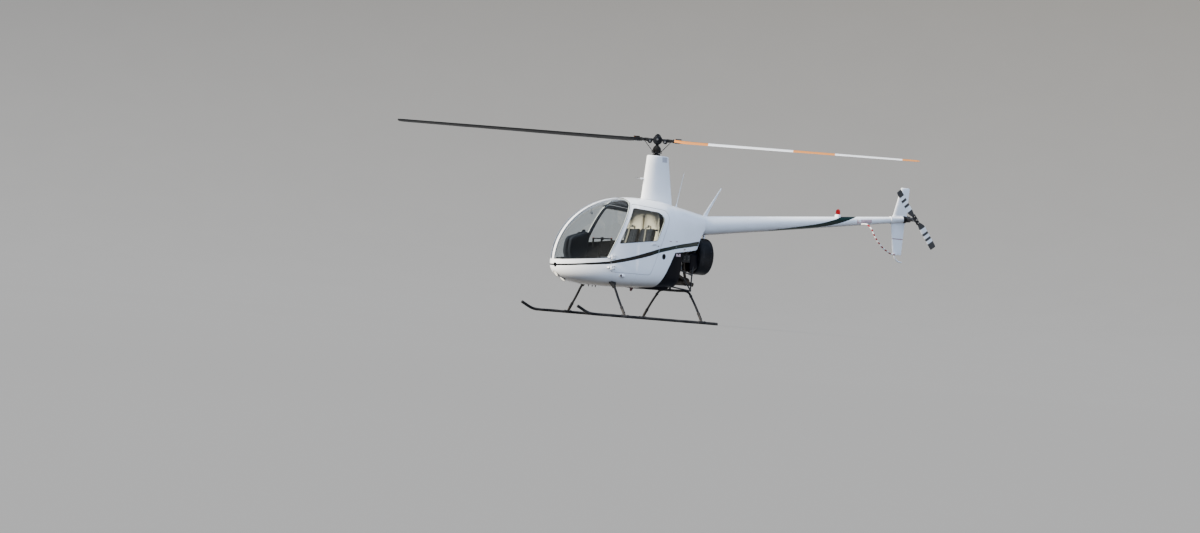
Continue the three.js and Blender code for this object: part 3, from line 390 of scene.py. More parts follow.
@dataclass(frozen=True)
class Finish:
    """One finish of the aircraft, with its colour, gloss, relief, wear and markings."""

    name: str
    slot: Slot
    color: Color
    roughness: float = 0.4
    metallic: float = 0.0
    coat: float = 0.0
    shade: float = 0.06
    grain: float = 0.002
    relief: float = 0.00002
    streak: float = 0.0
    wear: float = 0.0
    wear_color: Color = (0.42, 0.42, 0.43)
    dust: float = 0.0
    dust_top: float = 0.6
    dust_color: Color = (0.28, 0.25, 0.21)
    marking: Marking = Marking.NONE
    mark_color: Color = (0.002, 0.015, 0.014)
    specular: float = 0.5

    def marked(self, tree: Tree, base: Socket) -> Socket:
        """Lays the marking over the base colour.

        Args:
            tree: the material's tree.
            base: the colour under the marking.

        Returns:
            The colour with the marking.
        """
        spot = tree.add("Group", node_tree=Effects.place()).outputs
        paint: object = self.mark_color
        if self.marking in (Marking.HULL_STRIPE, Marking.BOOM_STRIPE):
            rows = HULL_STRIPE if self.marking is Marking.HULL_STRIPE else BOOM_STRIPE
            start, end = rows[0][0], rows[-1][0]
            share = tree.math("DIVIDE", tree.math("SUBTRACT", spot["X"], start), end - start)
            edges = []
            for column in (1, 2):
                curve = tree.add("FloatCurve", {"Value": share})
                points = curve.mapping.curves[0].points
                places = [((row[0] - start) / (end - start), row[column] / 2) for row in rows]
                points[0].location, points[1].location = places[0], places[-1]
                for place in places[1:-1]:
                    points.new(*place)
                curve.mapping.update()
                edges.append(tree.math("MULTIPLY_ADD", curve.outputs[0], 2.0,
                                       (2 * column - 3) * STRIPE_SPREAD))
            inside = tree.between(spot["Z"], edges[0], edges[1], STRIPE_BLUR)
            if self.marking is Marking.HULL_STRIPE:
                height = tree.math("DIVIDE", tree.math("SUBTRACT", spot["Z"], edges[0]),
                                   tree.math("SUBTRACT", *edges[::-1]))
                black = tree.math("MAXIMUM", tree.step(spot["X"], *STRIPE_CHANGE),
                                  tree.step(height, *STRIPE_TOP))
                paint = tree.mix(black, paint, STRIPE_BLACK)
            ahead = tree.math("LESS_THAN", share, 1.0)
            behind = tree.math("GREATER_THAN", share, 0.0)
            mask = tree.math("MULTIPLY", inside, tree.math("MULTIPLY", ahead, behind))
        elif self.marking is Marking.GUARD_BANDS:
            rise, run = (tree.math("MULTIPLY", spot[axis], rate) for axis, rate in zip("ZX", GUARD_RATES))
            wave = tree.math("SINE", tree.math("MULTIPLY", tree.math("ADD", rise, run),
                                               2 * math.pi * GUARD_COUNT))
            mask = tree.step(wave, -GUARD_BLUR, GUARD_BLUR)
        else:
            reach = tree.add("Attribute", attribute_name="reach").outputs["Fac"]
            rows = ROTOR_BANDS if self.marking is Marking.ROTOR_BANDS else TAIL_BANDS
            bands = [tree.between(reach, low, high, BAND_BLUR) for low, high in rows]
            mask = tree.math("MAXIMUM", tree.math("MAXIMUM", bands[0], bands[1]), bands[2])
        return tree.mix(mask, base, paint)

    def base(self, tree: Tree, shade: Socket) -> Socket:
        """The base colour with its slow changes and its marking.

        Args:
            tree: the material's tree.
            shade: the slow noise of the grain.

        Returns:
            The colour.
        """
        deeper = tuple(c * (1 - 4 * self.shade) for c in self.color)
        base = tree.mix(tree.step(shade, 0.3, 0.75), self.color, deeper)
        return base if self.marking is Marking.NONE else self.marked(tree, base)

    def shader(self, tree: Tree) -> Socket:
        """Builds the surface shader.

        Args:
            tree: the material's tree.

        Returns:
            The shader's output.
        """
        grain = tree.add("Group", {"Size": self.grain, "Streak": self.streak}, node_tree=Effects.grain())
        shade = grain.outputs["Shade"]
        base = self.base(tree, shade)
        rough = tree.math("ADD", tree.math("MULTIPLY", shade, 0.3 * self.roughness), self.roughness * 0.85)
        metal: object = self.metallic
        if self.wear:
            mask = tree.add("Group", {"Amount": self.wear}, node_tree=Effects.wear()).outputs[0]
            base = tree.mix(mask, base, self.wear_color)
            rough = tree.math("SUBTRACT", rough, tree.math("MULTIPLY", mask, 0.15 * self.roughness))
            metal = tree.math("MAXIMUM", mask, self.metallic)
        if self.dust:
            mask = tree.add("Group", {"Amount": self.dust, "Height": self.dust_top},
                            node_tree=Effects.dust()).outputs[0]
            base = tree.mix(mask, base, self.dust_color)
            rough = tree.math("ADD", rough, tree.math("MULTIPLY", mask, 0.4), clamp=True)
        bump = tree.add("Bump", {"Strength": 1.0, "Distance": self.relief, "Height": grain.outputs["Height"]})
        inputs = {"Base Color": base, "Roughness": rough, "Metallic": metal, "Normal": bump.outputs[0]}
        node = tree.add("BsdfPrincipled", inputs)
        node.inputs["Specular IOR Level"].default_value = self.specular
        node.inputs["Coat Weight"].default_value = self.coat
        node.inputs["Coat Roughness"].default_value = COAT_ROUGHNESS
        return node.outputs[0]

    def material(self) -> bpy.types.Material:
        """Finds or builds the finish's material.

        Returns:
            The material.
        """
        found = bpy.data.materials.get(self.name)
        if found:
            return found
        made = bpy.data.materials.new(self.name)
        made.use_nodes = True
        tree = Tree(made.node_tree)
        tree.add("OutputMaterial", {"Surface": self.shader(tree)})
        made.diffuse_color = (*self.color, 1.0)
        return made


@dataclass(frozen=True)
class Cloth(Finish):
    """Woven cloth with a soft sheen."""

    specular: float = 0.3
    pitch: float = 0.0022
    sheen: float = 0.12

    def shader(self, tree: Tree) -> Socket:
        """Builds the cloth's shader.

        Args:
            tree: the material's tree.

        Returns:
            The shader's output.
        """
        weave = tree.add("Group", {"Pitch": self.pitch}, node_tree=Effects.weave()).outputs
        grain = tree.add("Group", {"Size": 0.004}, node_tree=Effects.grain()).outputs
        base = self.base(tree, grain["Shade"])
        base = tree.mix(tree.math("MULTIPLY", weave["Thread"], 0.5), base, tuple(c * 1.6 for c in self.color))
        height = tree.math("ADD", weave["Height"], tree.math("MULTIPLY", grain["Height"], 0.6))
        bump = tree.add("Bump", {"Strength": 0.8, "Distance": self.relief, "Height": height}).outputs[0]
        rough = tree.math("ADD", tree.math("MULTIPLY", weave["Thread"], 0.06), self.roughness - 0.03)
        node = tree.add("BsdfPrincipled", {"Base Color": base, "Roughness": rough, "Normal": bump})
        node.inputs["Sheen Weight"].default_value = self.sheen
        node.inputs["Sheen Roughness"].default_value = 0.5
        node.inputs["Specular IOR Level"].default_value = self.specular
        return node.outputs[0]


@dataclass(frozen=True)
class Glass(Finish):
    """Clear or coloured glass that lets light through to what is behind it."""

    through: float = 0.8
    glow: float = 0.0
    veil: float = 0.0
    veil_roughness: float = 0.3
    bending: float = 1.45

    def shader(self, tree: Tree) -> Socket:
        """Builds the glass.

        Args:
            tree: the material's tree.

        Returns:
            The shader's output.
        """
        grain = tree.add("Group", {"Size": self.grain}, node_tree=Effects.grain()).outputs
        rough = tree.math("ADD", tree.math("MULTIPLY", grain["Shade"], self.roughness), self.roughness * 0.5)
        bump = tree.add("Bump", {"Strength": 0.3, "Distance": self.relief,
                                 "Height": grain["Height"]}).outputs[0]
        color = self.base(tree, grain["Shade"])
        node = tree.add("BsdfPrincipled", {"Base Color": color, "Roughness": rough, "Normal": bump})
        node.inputs["Transmission Weight"].default_value = 1.0
        node.inputs["IOR"].default_value = self.bending
        node.inputs["Sheen Weight"].default_value = self.veil
        node.inputs["Sheen Roughness"].default_value = self.veil_roughness
        if self.glow:
            node.inputs["Emission Color"].default_value = (*self.color, 1.0)
            node.inputs["Emission Strength"].default_value = self.glow
        clear = tree.add("BsdfTransparent", {0: self.color}).outputs[0]
        shadow = tree.add("LightPath").outputs["Is Shadow Ray"]
        share = tree.math("MULTIPLY", shadow, self.through)
        return tree.add("MixShader", {0: share, 1: node.outputs[0], 2: clear}).outputs[0]


WHITE = Finish("hull white", Slot.WHITE_PAINT, (0.80, 0.82, 0.85), 0.24, coat=0.25, specular=0.3,
               shade=0.012, grain=0.004, relief=0.00001, dust=0.10, dust_top=0.75,
               dust_color=(0.42, 0.39, 0.34), marking=Marking.HULL_STRIPE)
PLAIN_WHITE = Finish("plain white", Slot.WHITE_METAL, (0.80, 0.82, 0.85), 0.26, coat=0.25, specular=0.3,
                     shade=0.015, grain=0.004, relief=0.00001, wear=0.12, wear_color=(0.55, 0.55, 0.54))
HINGE_WHITE = replace(PLAIN_WHITE, name="hinge white", wear=0.0)
BOOM_WHITE = Finish("boom white", Slot.WHITE_METAL, (0.80, 0.82, 0.85), 0.26, coat=0.25, specular=0.3,
                    shade=0.015, grain=0.004, relief=0.00001, marking=Marking.BOOM_STRIPE)
STEEL = Finish("bright steel", Slot.WHITE_METAL, (0.55, 0.55, 0.56), 0.28, 1.0, grain=0.0015, relief=0.00002)
BLACK = Finish("satin black", Slot.BLACK_PAINT, (0.006, 0.007, 0.010), 0.42, coat=0.04, shade=0.05, wear=0.35,
               dust=0.25, dust_top=0.4, specular=0.22)
PANEL_BLACK = Finish("bay panel black", Slot.BLACK_PANEL, (0.002, 0.0025, 0.006), 0.42, shade=0.06,
                     grain=0.003, relief=0.00008, dust=0.05, dust_top=0.6, dust_color=(0.06, 0.058, 0.058),
                     specular=0.12)
BLADE_TOP = Finish("blade top", Slot.WHITE_METAL, (0.80, 0.81, 0.83), 0.3, coat=0.3, shade=0.02,
                   marking=Marking.ROTOR_BANDS, mark_color=(0.60, 0.21, 0.03))
BLADE_UNDER = Finish("blade underside", Slot.BLACK_PAINT, (0.007, 0.008, 0.011), 0.46, shade=0.06,
                     specular=0.2)
BLADE_EDGE = Finish("blade edge", Slot.BLACK_PAINT, (0.012, 0.013, 0.015), 0.4, 0.2, grain=0.001, streak=0.97,
                    specular=0.2)
TAIL_BLADE = Finish("tail blade", Slot.WHITE_METAL, (0.03, 0.032, 0.036), 0.34, coat=0.3, shade=0.03,
                    marking=Marking.TAIL_BANDS, mark_color=(0.78, 0.79, 0.80))
# Cast alloy, cylinder grey and exhaust steel are far darker than these metals are: painted shade for the
# shadow in the engine bay, where most of them sit.
CAST = Finish("cast alloy", Slot.ENGINE, (0.050, 0.052, 0.056), 0.48, 0.6, shade=0.1, grain=0.0025,
              relief=0.00035, wear=0.4, dust=0.35, dust_top=1.4, dust_color=(0.07, 0.06, 0.05))
CYLINDER = Finish("cylinder grey", Slot.ENGINE, (0.030, 0.032, 0.036), 0.45, 0.5, shade=0.1, wear=0.5,
                  dust=0.3, dust_top=1.4, dust_color=(0.08, 0.065, 0.05))
TUBE = Finish("frame tube", Slot.FRAME, (0.02, 0.021, 0.024), 0.38, shade=0.06, wear=0.5, dust=0.3,
              dust_top=1.0)
HOT = Finish("exhaust steel", Slot.EXHAUST, (0.085, 0.075, 0.068), 0.42, 0.9, shade=0.14, grain=0.003,
             relief=0.0001, dust=0.3, dust_top=1.1, dust_color=(0.12, 0.07, 0.04))
ALLOY = Finish("fan alloy", Slot.ALLOY, (0.48, 0.49, 0.5), 0.35, 1.0, shade=0.05, streak=0.9, wear=0.0)
RUBBER = Finish("rubber", Slot.RUBBER, (0.014, 0.014, 0.014), 0.72, shade=0.08, relief=0.0001)
HOSE = Finish("duct hose", Slot.RUBBER, (0.30, 0.045, 0.02), 0.7, shade=0.06, relief=0.0001, dust=0.35,
              dust_top=1.4)
TRIM = Finish("cabin trim", Slot.TRIM, (0.022, 0.024, 0.030), 0.62, shade=0.05, grain=0.0012, relief=0.0002,
              specular=0.2)
CARPET = Cloth("cabin carpet", Slot.TRIM, (0.032, 0.036, 0.046), 0.95, relief=0.0012, pitch=0.004)
WALL = Finish("wall trim", Slot.WALL, (0.62, 0.56, 0.45), 0.7, shade=0.05, grain=0.0012, relief=0.0002)
CLOTH = Cloth("seat cloth", Slot.CLOTH, (0.016, 0.018, 0.024), 0.9, relief=0.0005)
BELT = Cloth("harness webbing", Slot.CLOTH, (0.16, 0.15, 0.13), 0.8, relief=0.0003, pitch=0.0016)
DIAL = Finish("dial face", Slot.TRIM, (0.006, 0.006, 0.007), 0.25, coat=0.8)
NEEDLE = Finish("dial white", Slot.TRIM, (0.75, 0.75, 0.72), 0.4)
SEAL = Finish("window seal", Slot.RUBBER, (0.018, 0.018, 0.020), 0.55)
WINDOW = Glass("window glass", Slot.WINDOW, (0.86, 0.90, 0.92), 0.012, shade=0.0, relief=0.00002, grain=0.05,
               through=0.95, veil=1.0)
LENS = Glass("lamp glass", Slot.LAMP, (0.98, 0.95, 0.86), 0.02, shade=0.0, glow=0.45)
MIRROR = Finish("lamp bowl", Slot.LAMP, (0.86, 0.86, 0.84), 0.08, 1.0, shade=0.0)
RED_LENS = Glass("red lens", Slot.RED_LENS, (0.75, 0.02, 0.03), 0.05, shade=0.03, through=0.9, glow=0.04)
# Port lamp lens: a much darker copy of the red lens, painted shade so that it reads near black on the
# aircraft's shaded side.
NAV_RED_SHADED = replace(RED_LENS, name="red lamp in shade", color=(0.16, 0.006, 0.010), glow=0.0)
GREEN_LENS = Glass("green lens", Slot.GREEN_LENS, (0.02, 0.5, 0.15), 0.05, shade=0.03, through=0.9, glow=0.04)
PALE_SEAL = Finish("pale seal", Slot.RUBBER, (0.62, 0.63, 0.65), 0.6)
GUARD = Finish("guard bands", Slot.GUARD, (0.80, 0.80, 0.80), 0.3, coat=0.3, marking=Marking.GUARD_BANDS,
               mark_color=(0.21, 0.006, 0.010))
RED = Finish("red paint", Slot.GUARD, (0.55, 0.02, 0.03), 0.35, coat=0.3)
LABEL = Finish("blank label", Slot.WHITE_METAL, (0.60, 0.44, 0.46), 0.45)
DARK_LABEL = replace(LABEL, name="dark label", color=(0.30, 0.15, 0.16))
GREY_LABEL = replace(LABEL, name="grey label", color=(0.50, 0.50, 0.55))


def angles(count: int, shift: float = 0.0) -> list[float]:
    """Angles evenly spaced round a full turn.

    Args:
        count: how many.
        shift: how far they are turned on, as a share of one step.

    Returns:
        The angles.
    """
    return [2 * math.pi * (k + shift) / count for k in range(count)]


def smooth_path(points: Sequence[Point], steps: int) -> list[Vector]:
    """Runs a smooth curve through points.

    Args:
        points: the points that the curve passes.
        steps: the number of stretches of the result.

    Returns:
        Points along the curve, the first and last of them among those given.
    """
    given = [Vector(p) for p in points]
    full = [2 * given[0] - given[1], *given, 2 * given[-1] - given[-2]]
    result = []
    for i in range(steps + 1):
        place = i / steps * (len(given) - 1)
        k = min(int(place), len(given) - 2)
        share = place - k
        a, b, c, d = full[k:k + 4]
        knots = [0.0]
        for first, second in ((a, b), (b, c), (c, d)):
            knots.append(knots[-1] + max((second - first).length, 1e-6) ** 0.5)
        t = knots[1] + (knots[2] - knots[1]) * share

        def blend(u: Vector, v: Vector, low: float, high: float) -> Vector:
            """A point between two others, by where t lies between two knots."""
            return u * ((high - t) / (high - low)) + v * ((t - low) / (high - low))

        p, q, r = blend(a, b, *knots[0:2]), blend(b, c, *knots[1:3]), blend(c, d, *knots[2:4])
        m, n = blend(p, q, knots[0], knots[2]), blend(q, r, knots[1], knots[3])
        result.append(blend(m, n, knots[1], knots[2]))
    return result


def rounded_outline(rows: Sequence[Sequence[float]], steps: int = 8) -> list[tuple[float, float]]:
    """Rounds the corners of an outline.

    Args:
        rows: x, z and how far from the corner the rounding starts.
        steps: the stretches of one rounded corner.

    Returns:
        The outline's points.
    """
    result = []
    for i, row in enumerate(rows):
        here = Vector(row[:2])
        before = (Vector(rows[i - 1][:2]) - here).normalized()
        after = (Vector(rows[(i + 1) % len(rows)][:2]) - here).normalized()
        radius = row[2] if len(row) > 2 else 0.0
        if not radius:
            result.append(tuple(here))
            continue
        start, end = here + before * radius, here + after * radius
        for k in range(steps + 1):
            t = k / steps
            result.append(tuple(start * (1 - t) ** 2 + here * (2 * t * (1 - t)) + end * t * t))
    return result


def inset(rows: Sequence[Sequence[float]], distance: float) -> list[tuple[float, ...]]:
    """Moves an outline inwards.

    Args:
        rows: x, z and corner size.
        distance: how far in; less than zero moves it out.

    Returns:
        Rows of the same kind.
    """
    pairs = [(row[:2], rows[(i + 1) % len(rows)][:2]) for i, row in enumerate(rows)]
    area = sum(a[0] * b[1] - b[0] * a[1] for a, b in pairs)
    inward = []
    for (x, z), (u, v) in pairs:
        scale = math.copysign(1.0, area) / math.hypot(u - x, v - z)
        inward.append(((z - v) * scale, (u - x) * scale))
    result = []
    for i, row in enumerate(rows):
        a, b = inward[i - 1], inward[i]
        share = distance / (1 + a[0] * b[0] + a[1] * b[1])
        result.append((row[0] + (a[0] + b[0]) * share, row[1] + (a[1] + b[1]) * share, *row[2:]))
    return result


@dataclass
class Draft:
    """The points and faces of one piece, while it is being made. A mark is the number of a face's finish."""

    points: list[Vector] = field(default_factory=list)
    faces: list[tuple[int, ...]] = field(default_factory=list)
    marks: list[int] = field(default_factory=list)
    reach: list[float] = field(default_factory=list)

    def extend(self, points: Iterable[Point], faces: Iterable[Sequence[int]], mark: int = 0) -> None:
        """Adds points and the faces between them.

        Args:
            points: the new points.
            faces: the new faces, counted from the first new point.
            mark: the faces' finish.
        """
        first = len(self.points)
        self.points.extend(Vector(p) for p in points)
        for face in faces:
            self.faces.append(tuple(first + k for k in face))
            self.marks.append(mark)

    def loft(self, rings: Sequence[Sequence[Point]], mark: int = 0, caps: bool = True, around: bool = True,
             looped: bool = False) -> None:
        """Adds a skin over rings that have the same number of points.

        Args:
            rings: the rings, in order.
            mark: the skin's finish.
            caps: whether the first and last ring are closed.
            around: whether each ring is closed on itself.
            looped: whether the last ring joins the first.
        """
        count = len(rings[0])
        faces: list[tuple[int, ...]] = []
        last = len(rings) if looped else len(rings) - 1
        for r in range(last):
            low, top = r * count, ((r + 1) % len(rings)) * count
            for k in range(count if around else count - 1):
                n = (k + 1) % count
                faces.append((low + k, low + n, top + n, top + k))
        if caps and not looped:
            faces.append(tuple(reversed(range(count))))
            faces.append(tuple(range((len(rings) - 1) * count, len(rings) * count)))
        self.extend([p for ring in rings for p in ring], faces, mark)

    def tube(self, path: Sequence[Point], radius: object, sides: int = 14, mark: int = 0, flat: float = 1.0,
             looped: bool = False) -> None:
        """Adds a round bar along a path.

        Args:
            path: the points of its centreline.
            radius: one radius, or one for each point.
            sides: the points of its section.
            mark: its finish.
            flat: the section's height as a share of its width.
            looped: whether the path is a closed ring.
        """
        line = [Vector(p) for p in path]
        count = len(line)
        radii = [radius] * count if isinstance(radius, (int, float)) else list(radius)
        side = Vector((0, 0, 1))
        first = (line[1] - line[0]).normalized()
        if abs(first.dot(side)) > 0.9:
            side = Vector((1, 0, 0))
        rings = []
        for i, here in enumerate(line):
            after = line[(i + 1) % count] if looped else line[min(i + 1, count - 1)]
            before = line[i - 1] if looped or i else line[0]
            along = (after - before).normalized()
            side = (side - along * side.dot(along)).normalized()
            other = along.cross(side)
            rings.append([here + (side * math.cos(a) * flat + other * math.sin(a)) * radii[i]
                          for a in angles(sides)])
        self.loft(rings, mark, looped=looped)

    def turned(self, rows: Sequence[Sequence[float]], base: Point, axis: Point, sides: int = 32,
               mark: int = 0, looped: bool = False) -> None:
        """Adds a solid of revolution.

        Args:
            rows: distance along the axis and radius.
            base: the axis's start.
            axis: its direction.
            sides: the points round it.
            mark: its finish.
            looped: whether the rows close on themselves, as on a ring.
        """
        along = Vector(axis).normalized()
        side = along.orthogonal().normalized()
        other = along.cross(side)
        rings = []
        for distance, radius in rows:
            middle = Vector(base) + along * distance
            small = max(radius, 1e-5)
            rings.append([middle + (side * math.cos(a) + other * math.sin(a)) * small for a in angles(sides)])
        self.loft(rings, mark, looped=looped)

    def rod(self, start: Point, end: Point, radius: float, sides: int = 16, mark: int = 0,
            edge: float = 0.0) -> None:
        """Adds a straight round bar with chamfered ends.

        Args:
            start: the middle of one end.
            end: the middle of the other.
            radius: its radius.
            sides: the points round it.
            mark: its finish.
            edge: the chamfer.
        """
        along = Vector(end) - Vector(start)
        length = along.length
        chamfer = min(edge, radius * 0.6, length * 0.45)
        rows = [(0.0, radius - chamfer), (chamfer, radius), (length - chamfer, radius),
                (length, radius - chamfer)]
        self.turned(rows if chamfer else [rows[0], rows[3]], start, along, sides, mark)

    def block(self, low: Point, top: Point, bevel: float = 0.004, mark: int = 0,
              turn: Optional[Matrix] = None) -> None:
        """Adds a box with rounded edges.

        Args:
            low: its lowest corner.
            top: its highest corner.
            bevel: the rounding.
            mark: its finish.
            turn: how it is turned about its own middle.
        """
        made = bmesh.new()
        bmesh.ops.create_cube(made, size=1.0)
        size = Vector(top) - Vector(low)
        bmesh.ops.scale(made, vec=size, verts=made.verts)
        if bevel:
            width = min(bevel, *(0.45 * abs(s) for s in size))
            bmesh.ops.bevel(made, geom=list(made.edges), offset=width, segments=2, affect="EDGES",
                            profile=0.5)
        matrix = Matrix.Translation((Vector(top) + Vector(low)) / 2) @ (turn or Matrix.Identity(4))
        bmesh.ops.transform(made, matrix=matrix, verts=made.verts)
        made.verts.index_update()
        self.extend([v.co.copy() for v in made.verts], [[v.index for v in f.verts] for f in made.faces], mark)
        made.free()

    def plate(self, rows: Sequence[Sequence[float]], low: float, top: float, mark: int = 0,
              bevel: float = 0.0, steps: int = 8) -> None:
        """Adds a plate through the side view.

        Args:
            rows: x, z and corner size of its outline.
            low: its lower y.
            top: its higher y.
            mark: its finish.
            bevel: the rounding of its edges.
            steps: the stretches of one rounded corner.
        """
        outer = rounded_outline(rows, steps)
        if bevel:
            inner = rounded_outline(inset(rows, bevel), steps)
            layers = [(inner, low), (outer, low + bevel), (outer, top - bevel), (inner, top)]
        else:
            layers = [(outer, low), (outer, top)]
        self.loft([[(x, y, z) for x, z in line] for line, y in layers], mark)

    def domes(self, places: Iterable[tuple[Point, Point]], radius: float, height: float,
              mark: int = 0) -> None:
        """Adds small round heads, such as rivets and screws.

        Args:
            places: where each sits and the way it faces.
            radius: a head's radius.
            height: how far it stands up.
            mark: its finish.
        """
        for place, facing in places:
            rows = [(-0.0004, radius), (height * 0.55, radius * 0.86), (height, radius * 0.4)]
            self.turned(rows, place, facing, 7, mark)

    def bolt(self, place: Point, axis: Point, size: float, mark: int = 0) -> None:
        """Adds a bolt's head on its washer.

        Args:
            place: where the washer lies.
            axis: the way the head stands up.
            size: the head's half width.
            mark: its finish.
        """
        self.turned([(0, size * 1.5), (size * 0.25, size * 1.5)], place, axis, 14, mark)
        self.turned([(0, size), (size * 0.9, size), (size * 1.1, size * 0.8)], place, axis, 6, mark)

    def move(self, matrix: Matrix) -> "Draft":
        """Moves everything that is in the draft.

        Args:
            matrix: where to.

        Returns:
            The draft itself.
        """
        self.points = [matrix @ p for p in self.points]
        return self

    def moved(self, matrix: Matrix) -> "Draft":
        """A copy in another place.

        Args:
            matrix: where to.

        Returns:
            The copy.
        """
        points = [matrix @ p for p in self.points]
        return Draft(points, list(self.faces), list(self.marks), list(self.reach))

    def add(self, other: "Draft") -> None:
        """Adds another draft with its finishes.

        Args:
            other: the other draft.
        """
        first = len(self.points)
        self.points.extend(other.points)
        self.faces.extend(tuple(first + k for k in face) for face in other.faces)
        self.marks.extend(other.marks)

    def copy_across(self) -> "Draft":
        """Adds the mirror image on the other side of the aircraft.

        Returns:
            The draft itself.
        """
        self.add(self.mirrored())
        return self

    def mirrored(self) -> "Draft":
        """The same on the other side of the aircraft.

        Returns:
            A new draft.
        """
        points = [Vector((p.x, -p.y, p.z)) for p in self.points]
        return Draft(points, [tuple(reversed(face)) for face in self.faces], list(self.marks),
                     list(self.reach))

    def data(self, name: str) -> bpy.types.Mesh:
        """Turns the draft into a mesh with its faces pointing out.

        Args:
            name: the mesh's name.

        Returns:
            The mesh.
        """
        mesh = bpy.data.meshes.new(name)
        mesh.from_pydata([tuple(p) for p in self.points], [], self.faces)
        mesh.polygons.foreach_set("material_index", self.marks)
        made = bmesh.new()
        made.from_mesh(mesh)
        bmesh.ops.remove_doubles(made, verts=made.verts, dist=2e-6)
        bmesh.ops.recalc_face_normals(made, faces=made.faces)
        made.to_mesh(mesh)
        made.free()
        return mesh

    def piece(self, name: str, body: Body, finishes: Sequence[Finish], stands_for: Sequence[str] = (),
              sharp: float = 32.0) -> bpy.types.Object:
        """Turns the draft into a finished piece of the aircraft.

        Args:
            name: the piece's name.
            body: what it rides on.
            finishes: its finishes, in the order of the marks.
            stands_for: the nodes that it replaces.
            sharp: the angle in degrees above which an edge is sharp.

        Returns:
            The piece.
        """
        mesh = self.data(name)
        if self.reach:
            mesh.attributes.new("reach", "FLOAT", "POINT").data.foreach_set("value", self.reach)
        return install(mesh, name, body, finishes, stands_for, sharp)


def install(mesh: bpy.types.Mesh, name: str, body: Body, finishes: Sequence[Finish],
            stands_for: Sequence[str] = (), sharp: Optional[float] = 32.0) -> bpy.types.Object:
    """Puts a mesh in its place on the aircraft.

    Args:
        mesh: the mesh, counted from the mast's foot.
        name: the piece's name.
        body: what it rides on.
        finishes: its finishes, by material index.
        stands_for: the nodes that it replaces.
        sharp: the angle in degrees above which an edge is sharp, or None where the mesh has its own normals.

    Returns:
        The piece.
    """
    piece = bpy.data.objects.new(name, mesh)
    bpy.context.scene.collection.objects.link(piece)
    if sharp is not None:
        mesh.transform(Matrix.Translation(ORIGIN))
        mesh.polygons.foreach_set("use_smooth", [True] * len(mesh.polygons))
        mesh.set_sharp_from_angle(angle=math.radians(sharp))
    for finish in finishes:
        mesh.materials.append(finish.material())
    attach(piece, body.value)
    if stands_for:
        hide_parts(*stands_for)
    mesh.calc_loop_triangles()
    log.info("%s: %d triangles, rides on %s", name, len(mesh.loop_triangles), body.value)
    return piece


def dress(node: str, finish: Finish) -> None:
    """Gives a node of the frame its finish.

    Args:
        node: the node's name.
        finish: the finish.
    """
    piece = frame["nodes"][node]
    piece.data.materials.clear()
    piece.data.materials.append(finish.material())
    log.info("%s: keeps its own form", node)


def carve(base: bpy.types.Mesh, steps: Sequence[tuple[str, Draft]]) -> bpy.types.Mesh:
    """Cuts, joins or intersects a mesh with drafts.

    Args:
        base: the mesh to start from, which is kept.
        steps: an operation, DIFFERENCE, UNION or INTERSECT, and its draft.

    Returns:
        The new mesh.
    """
    work = bpy.data.objects.new("carved", base)
    bpy.context.scene.collection.objects.link(work)
    tools = []
    for operation, draft in steps:
        tool = bpy.data.objects.new("tool", draft.data("tool"))
        bpy.context.scene.collection.objects.link(tool)
        tool.hide_render = True
        tools.append(tool)
        modifier = work.modifiers.new("cut", "BOOLEAN")
        modifier.operation, modifier.solver, modifier.object = operation, "EXACT", tool
    depsgraph = bpy.context.evaluated_depsgraph_get()
    made = bpy.data.meshes.new_from_object(work.evaluated_get(depsgraph))
    for item in (work, *tools):
        bpy.data.objects.remove(item)
    return made


